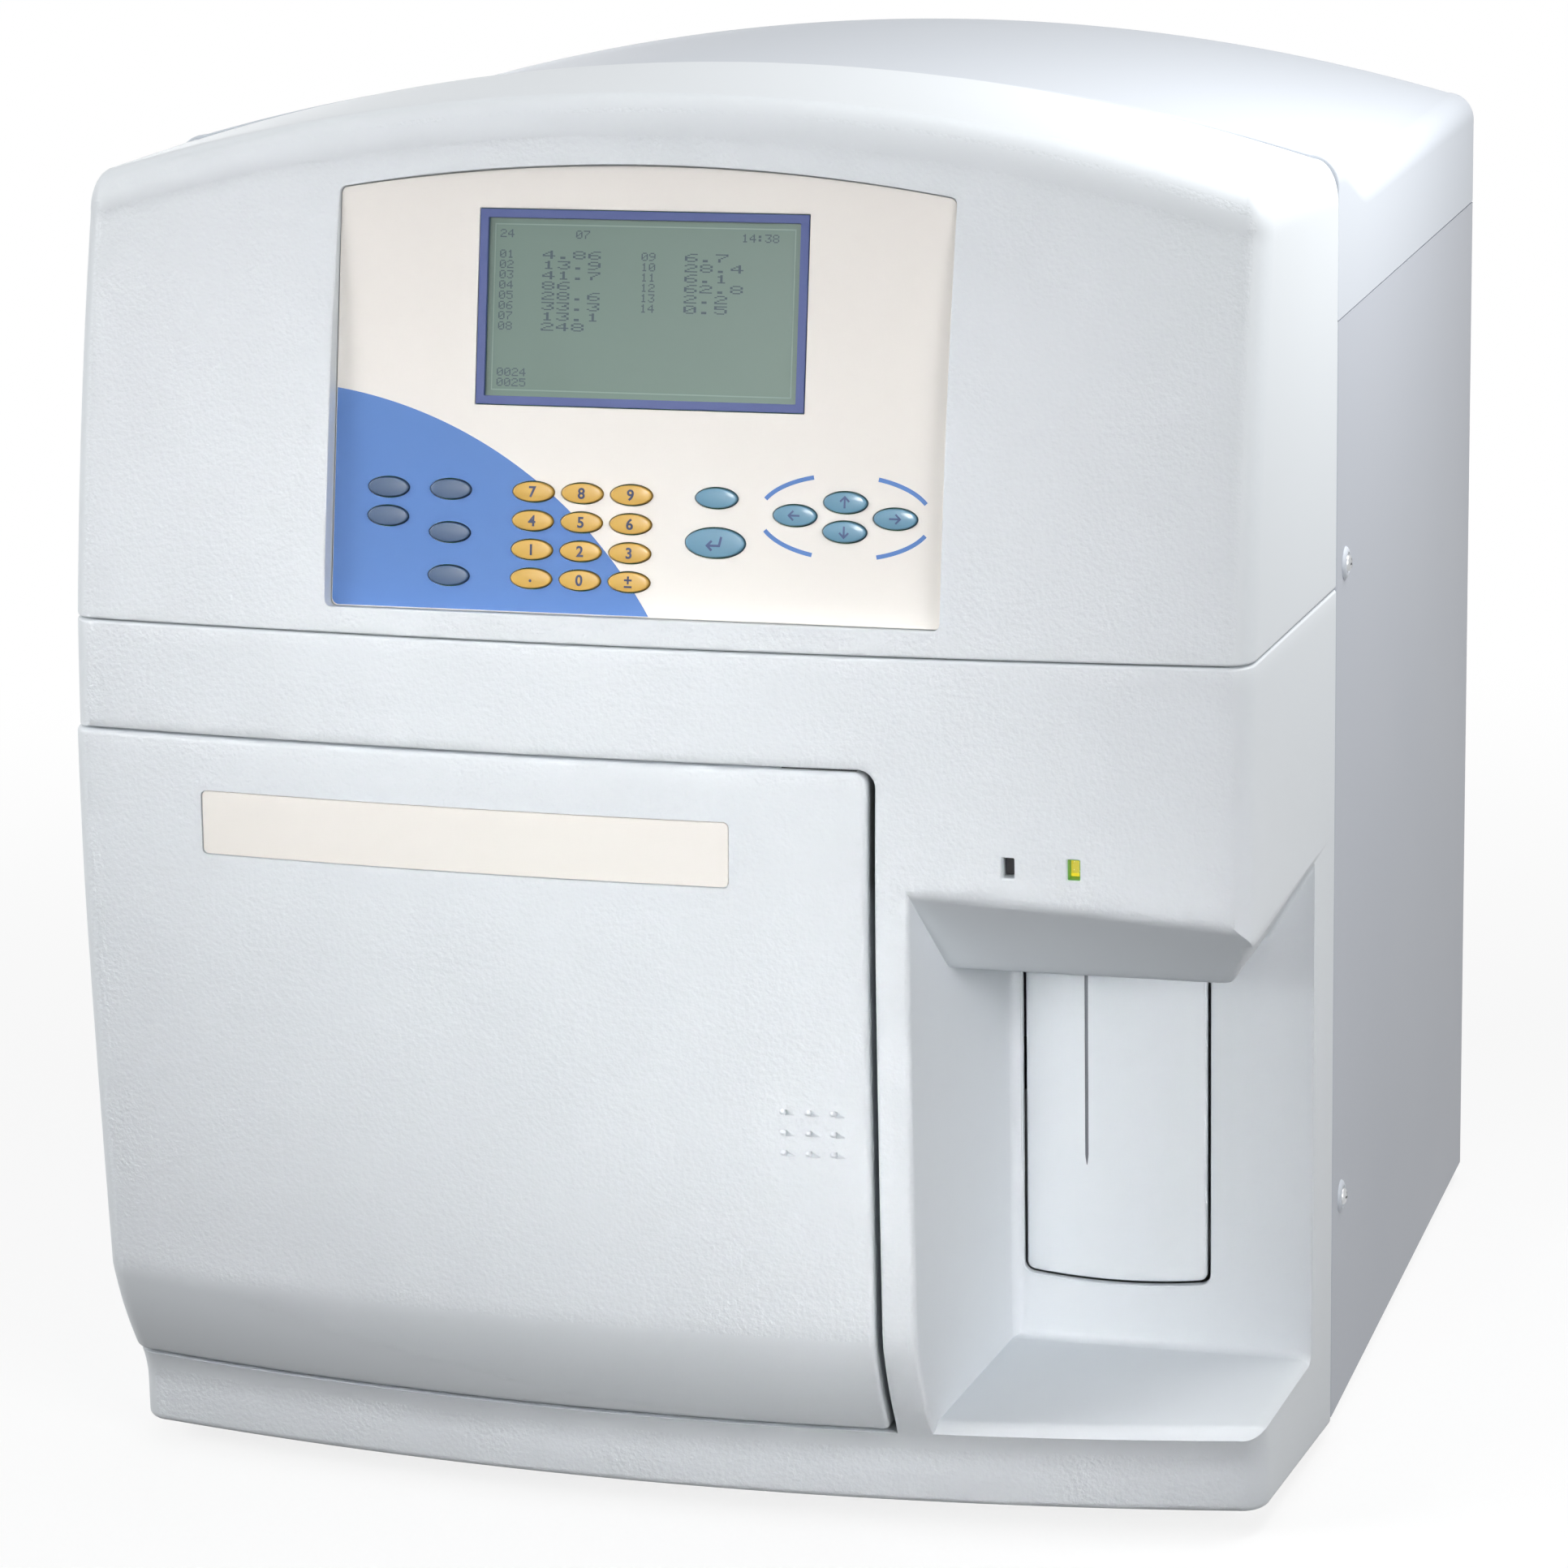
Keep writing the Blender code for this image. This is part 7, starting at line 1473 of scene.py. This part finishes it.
FLOOR_BOUNCE = (0.04, 0.04, 0.045, 1)


def seen_directly(tree):
    """1 for what the camera sees, also in a reflection or through glass, and 0 for bounced light."""
    rays = tree.nodes.new("ShaderNodeLightPath").outputs
    last = rays["Is Camera Ray"]
    for kind in ("Is Glossy Ray", "Is Transmission Ray"):
        last = add_node(tree, "Math", {0: last, 1: rays[kind]}, operation="MAXIMUM")
    return last


def light_scene():
    for name, (place, target, size, energy, angle) in LAMPS.items():
        data = bpy.data.lights.new(name, "AREA")
        data.shape = "RECTANGLE"
        data.size, data.size_y = size
        data.energy = energy
        data.spread = radians(angle)
        light = add_object(name, data)
        light.location = place
        light.rotation_euler = (Vector(target) - Vector(place)).to_track_quat("-Z", "Y").to_euler()
    world = bpy.data.worlds.new("studio")
    bpy.context.scene.world = world
    world.use_nodes = True
    tree = world.node_tree
    fill(tree, tree.nodes["Background"], {"Color": (1, 1, 1, 1), "Strength": add_node(
        tree, "MapRange", {"To Min": WORLD_LIGHT, "To Max": 1.0, "Value": seen_directly(tree)})})


def floor():
    """White to the camera with the object's soft shadow, and dim to bounced light."""
    steps = spread(-FLOOR_HALF, FLOOR_HALF, 4)
    made = make("studio_floor", sheet([[(x, y, 0) for y in steps] for x in steps]))
    material = bpy.data.materials.new("studio_floor")
    material.use_nodes = True
    tree = material.node_tree
    output = next(node for node in tree.nodes if node.type == "OUTPUT_MATERIAL")
    for node in list(tree.nodes):
        if node != output:
            tree.nodes.remove(node)
    distance = add_node(tree, "VectorMath", {0: add_node(tree, "TexCoord", None, "Object")}, "Value",
                        operation="LENGTH")
    fade = add_node(tree, "MapRange", {"From Min": FLOOR_FADE[0], "From Max": FLOOR_FADE[1],
                                       "Value": distance}, interpolation_type="SMOOTHSTEP")
    near = add_node(tree, "AddShader", {0: add_node(tree, "BsdfDiffuse", {"Color": FLOOR_SHADOW}),
                                        1: add_node(tree, "Emission", {"Strength": FLOOR_GLOW})})
    seen = add_node(tree, "MixShader", {0: fade, 1: near, 2: add_node(tree, "Emission", {"Strength": 1.0})})
    bounced = add_node(tree, "BsdfDiffuse", {"Color": FLOOR_BOUNCE})
    surface = add_node(tree, "MixShader", {0: seen_directly(tree), 1: bounced, 2: seen})
    fill(tree, output, {"Surface": surface})
    made.data.materials.append(material)


# The whole scene

def stand_in(made, body, slot, look, *nodes):
    """A piece that rides on a body and stands for CAD nodes; the slot is not used."""
    if look:
        wear(made, look)
    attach(made, body)
    if nodes:
        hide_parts(*nodes)
    return made


def on_housing(pieces, *looks):
    """Pieces that ride on the housing: each has its slot, finish and the nodes that it stands for."""
    for piece, look in zip(pieces, looks):
        stand_in(piece, "housing", *look)


aim_camera()
for look, names in CAD_FINISHES.items():
    for name in names:
        wear(frame["nodes"][name], look)
upper = stand_in(upper_front_cover(), "housing", "cover_plastic", None, "upper_front_cover")
lower = stand_in(lower_front_cover(), "housing", "cover_plastic", None, "lower_front_cover")
door_shell, door_label = front_door()
stand_in(door_shell, "door", "cover_plastic", None, "front_door")
for shell in (upper, lower, door_shell):
    wear_cover(shell)
stand_in(door_label, "door", "panel_beige", "panel_film", "door_label_plate")
stand_in(rear_hood(), "housing", "hood_plastic", "hood_smooth", "rear_hood")
stand_in(start_bar(), "start_bar_body", "cover_plastic", "cover_smooth", "start_bar")
# The needle wears the darkened steel, a painted dark reflection
stand_in(sampling_needle(), "needle_body", "bare_steel", "needle_steel_painted_dark", "sampling_needle")
for name in ("foot_front_left", "foot_front_right", "foot_rear_left", "foot_rear_right"):
    stand_in(foot(name), "housing", "foot_rubber", "foot_rubber", name)
for side, sign in (("left", -1), ("right", 1)):
    stand_in(side_panel(side, sign), "housing", "painted_sheet", "painted_sheet", side + "_side_panel")
    on_housing(side_screws(side, sign), ("bare_steel", "zinc_plate"), ("hood_plastic", "hood_smooth"))
for index, (window_piece, look) in enumerate(status_windows()):
    stand_in(window_piece, "housing", "status_lens", look, *(("status_light_guide",) if index == 0 else ()))
# Black strip in the door's top gap: the catch, and painted shade of its slot
stand_in(door_catch_shade_strip(), "housing", "black_plastic", "black_plastic")
on_housing(rear_details(), ("bare_steel", "zinc_plate"), ("bare_steel", "brushed_steel"),
           ("panel_beige", "panel_film"))
for name in ("lyse_bottle", "stain_bottle", "cleaner_bottle"):
    on_housing(bottle(name), ("bottle_plastic", "bottle_plastic", name), ("bottle_plastic", "cap_plastic"))
on_housing(keypad_plate(), ("panel_beige", "panel_film", "control_panel_plate"),
           ("panel_beige", "blue_print"), ("panel_beige", "blue_print"))
on_housing(display(), ("bezel_blue", "display_border", "display_bezel"),
           ("display_face", "display_face", "display_glass"), ("display_face", "display_dots"),
           ("display_face", "display_line"))
make_keys()
floor()
light_scene()
bpy.context.scene.view_settings.view_transform = "Standard"
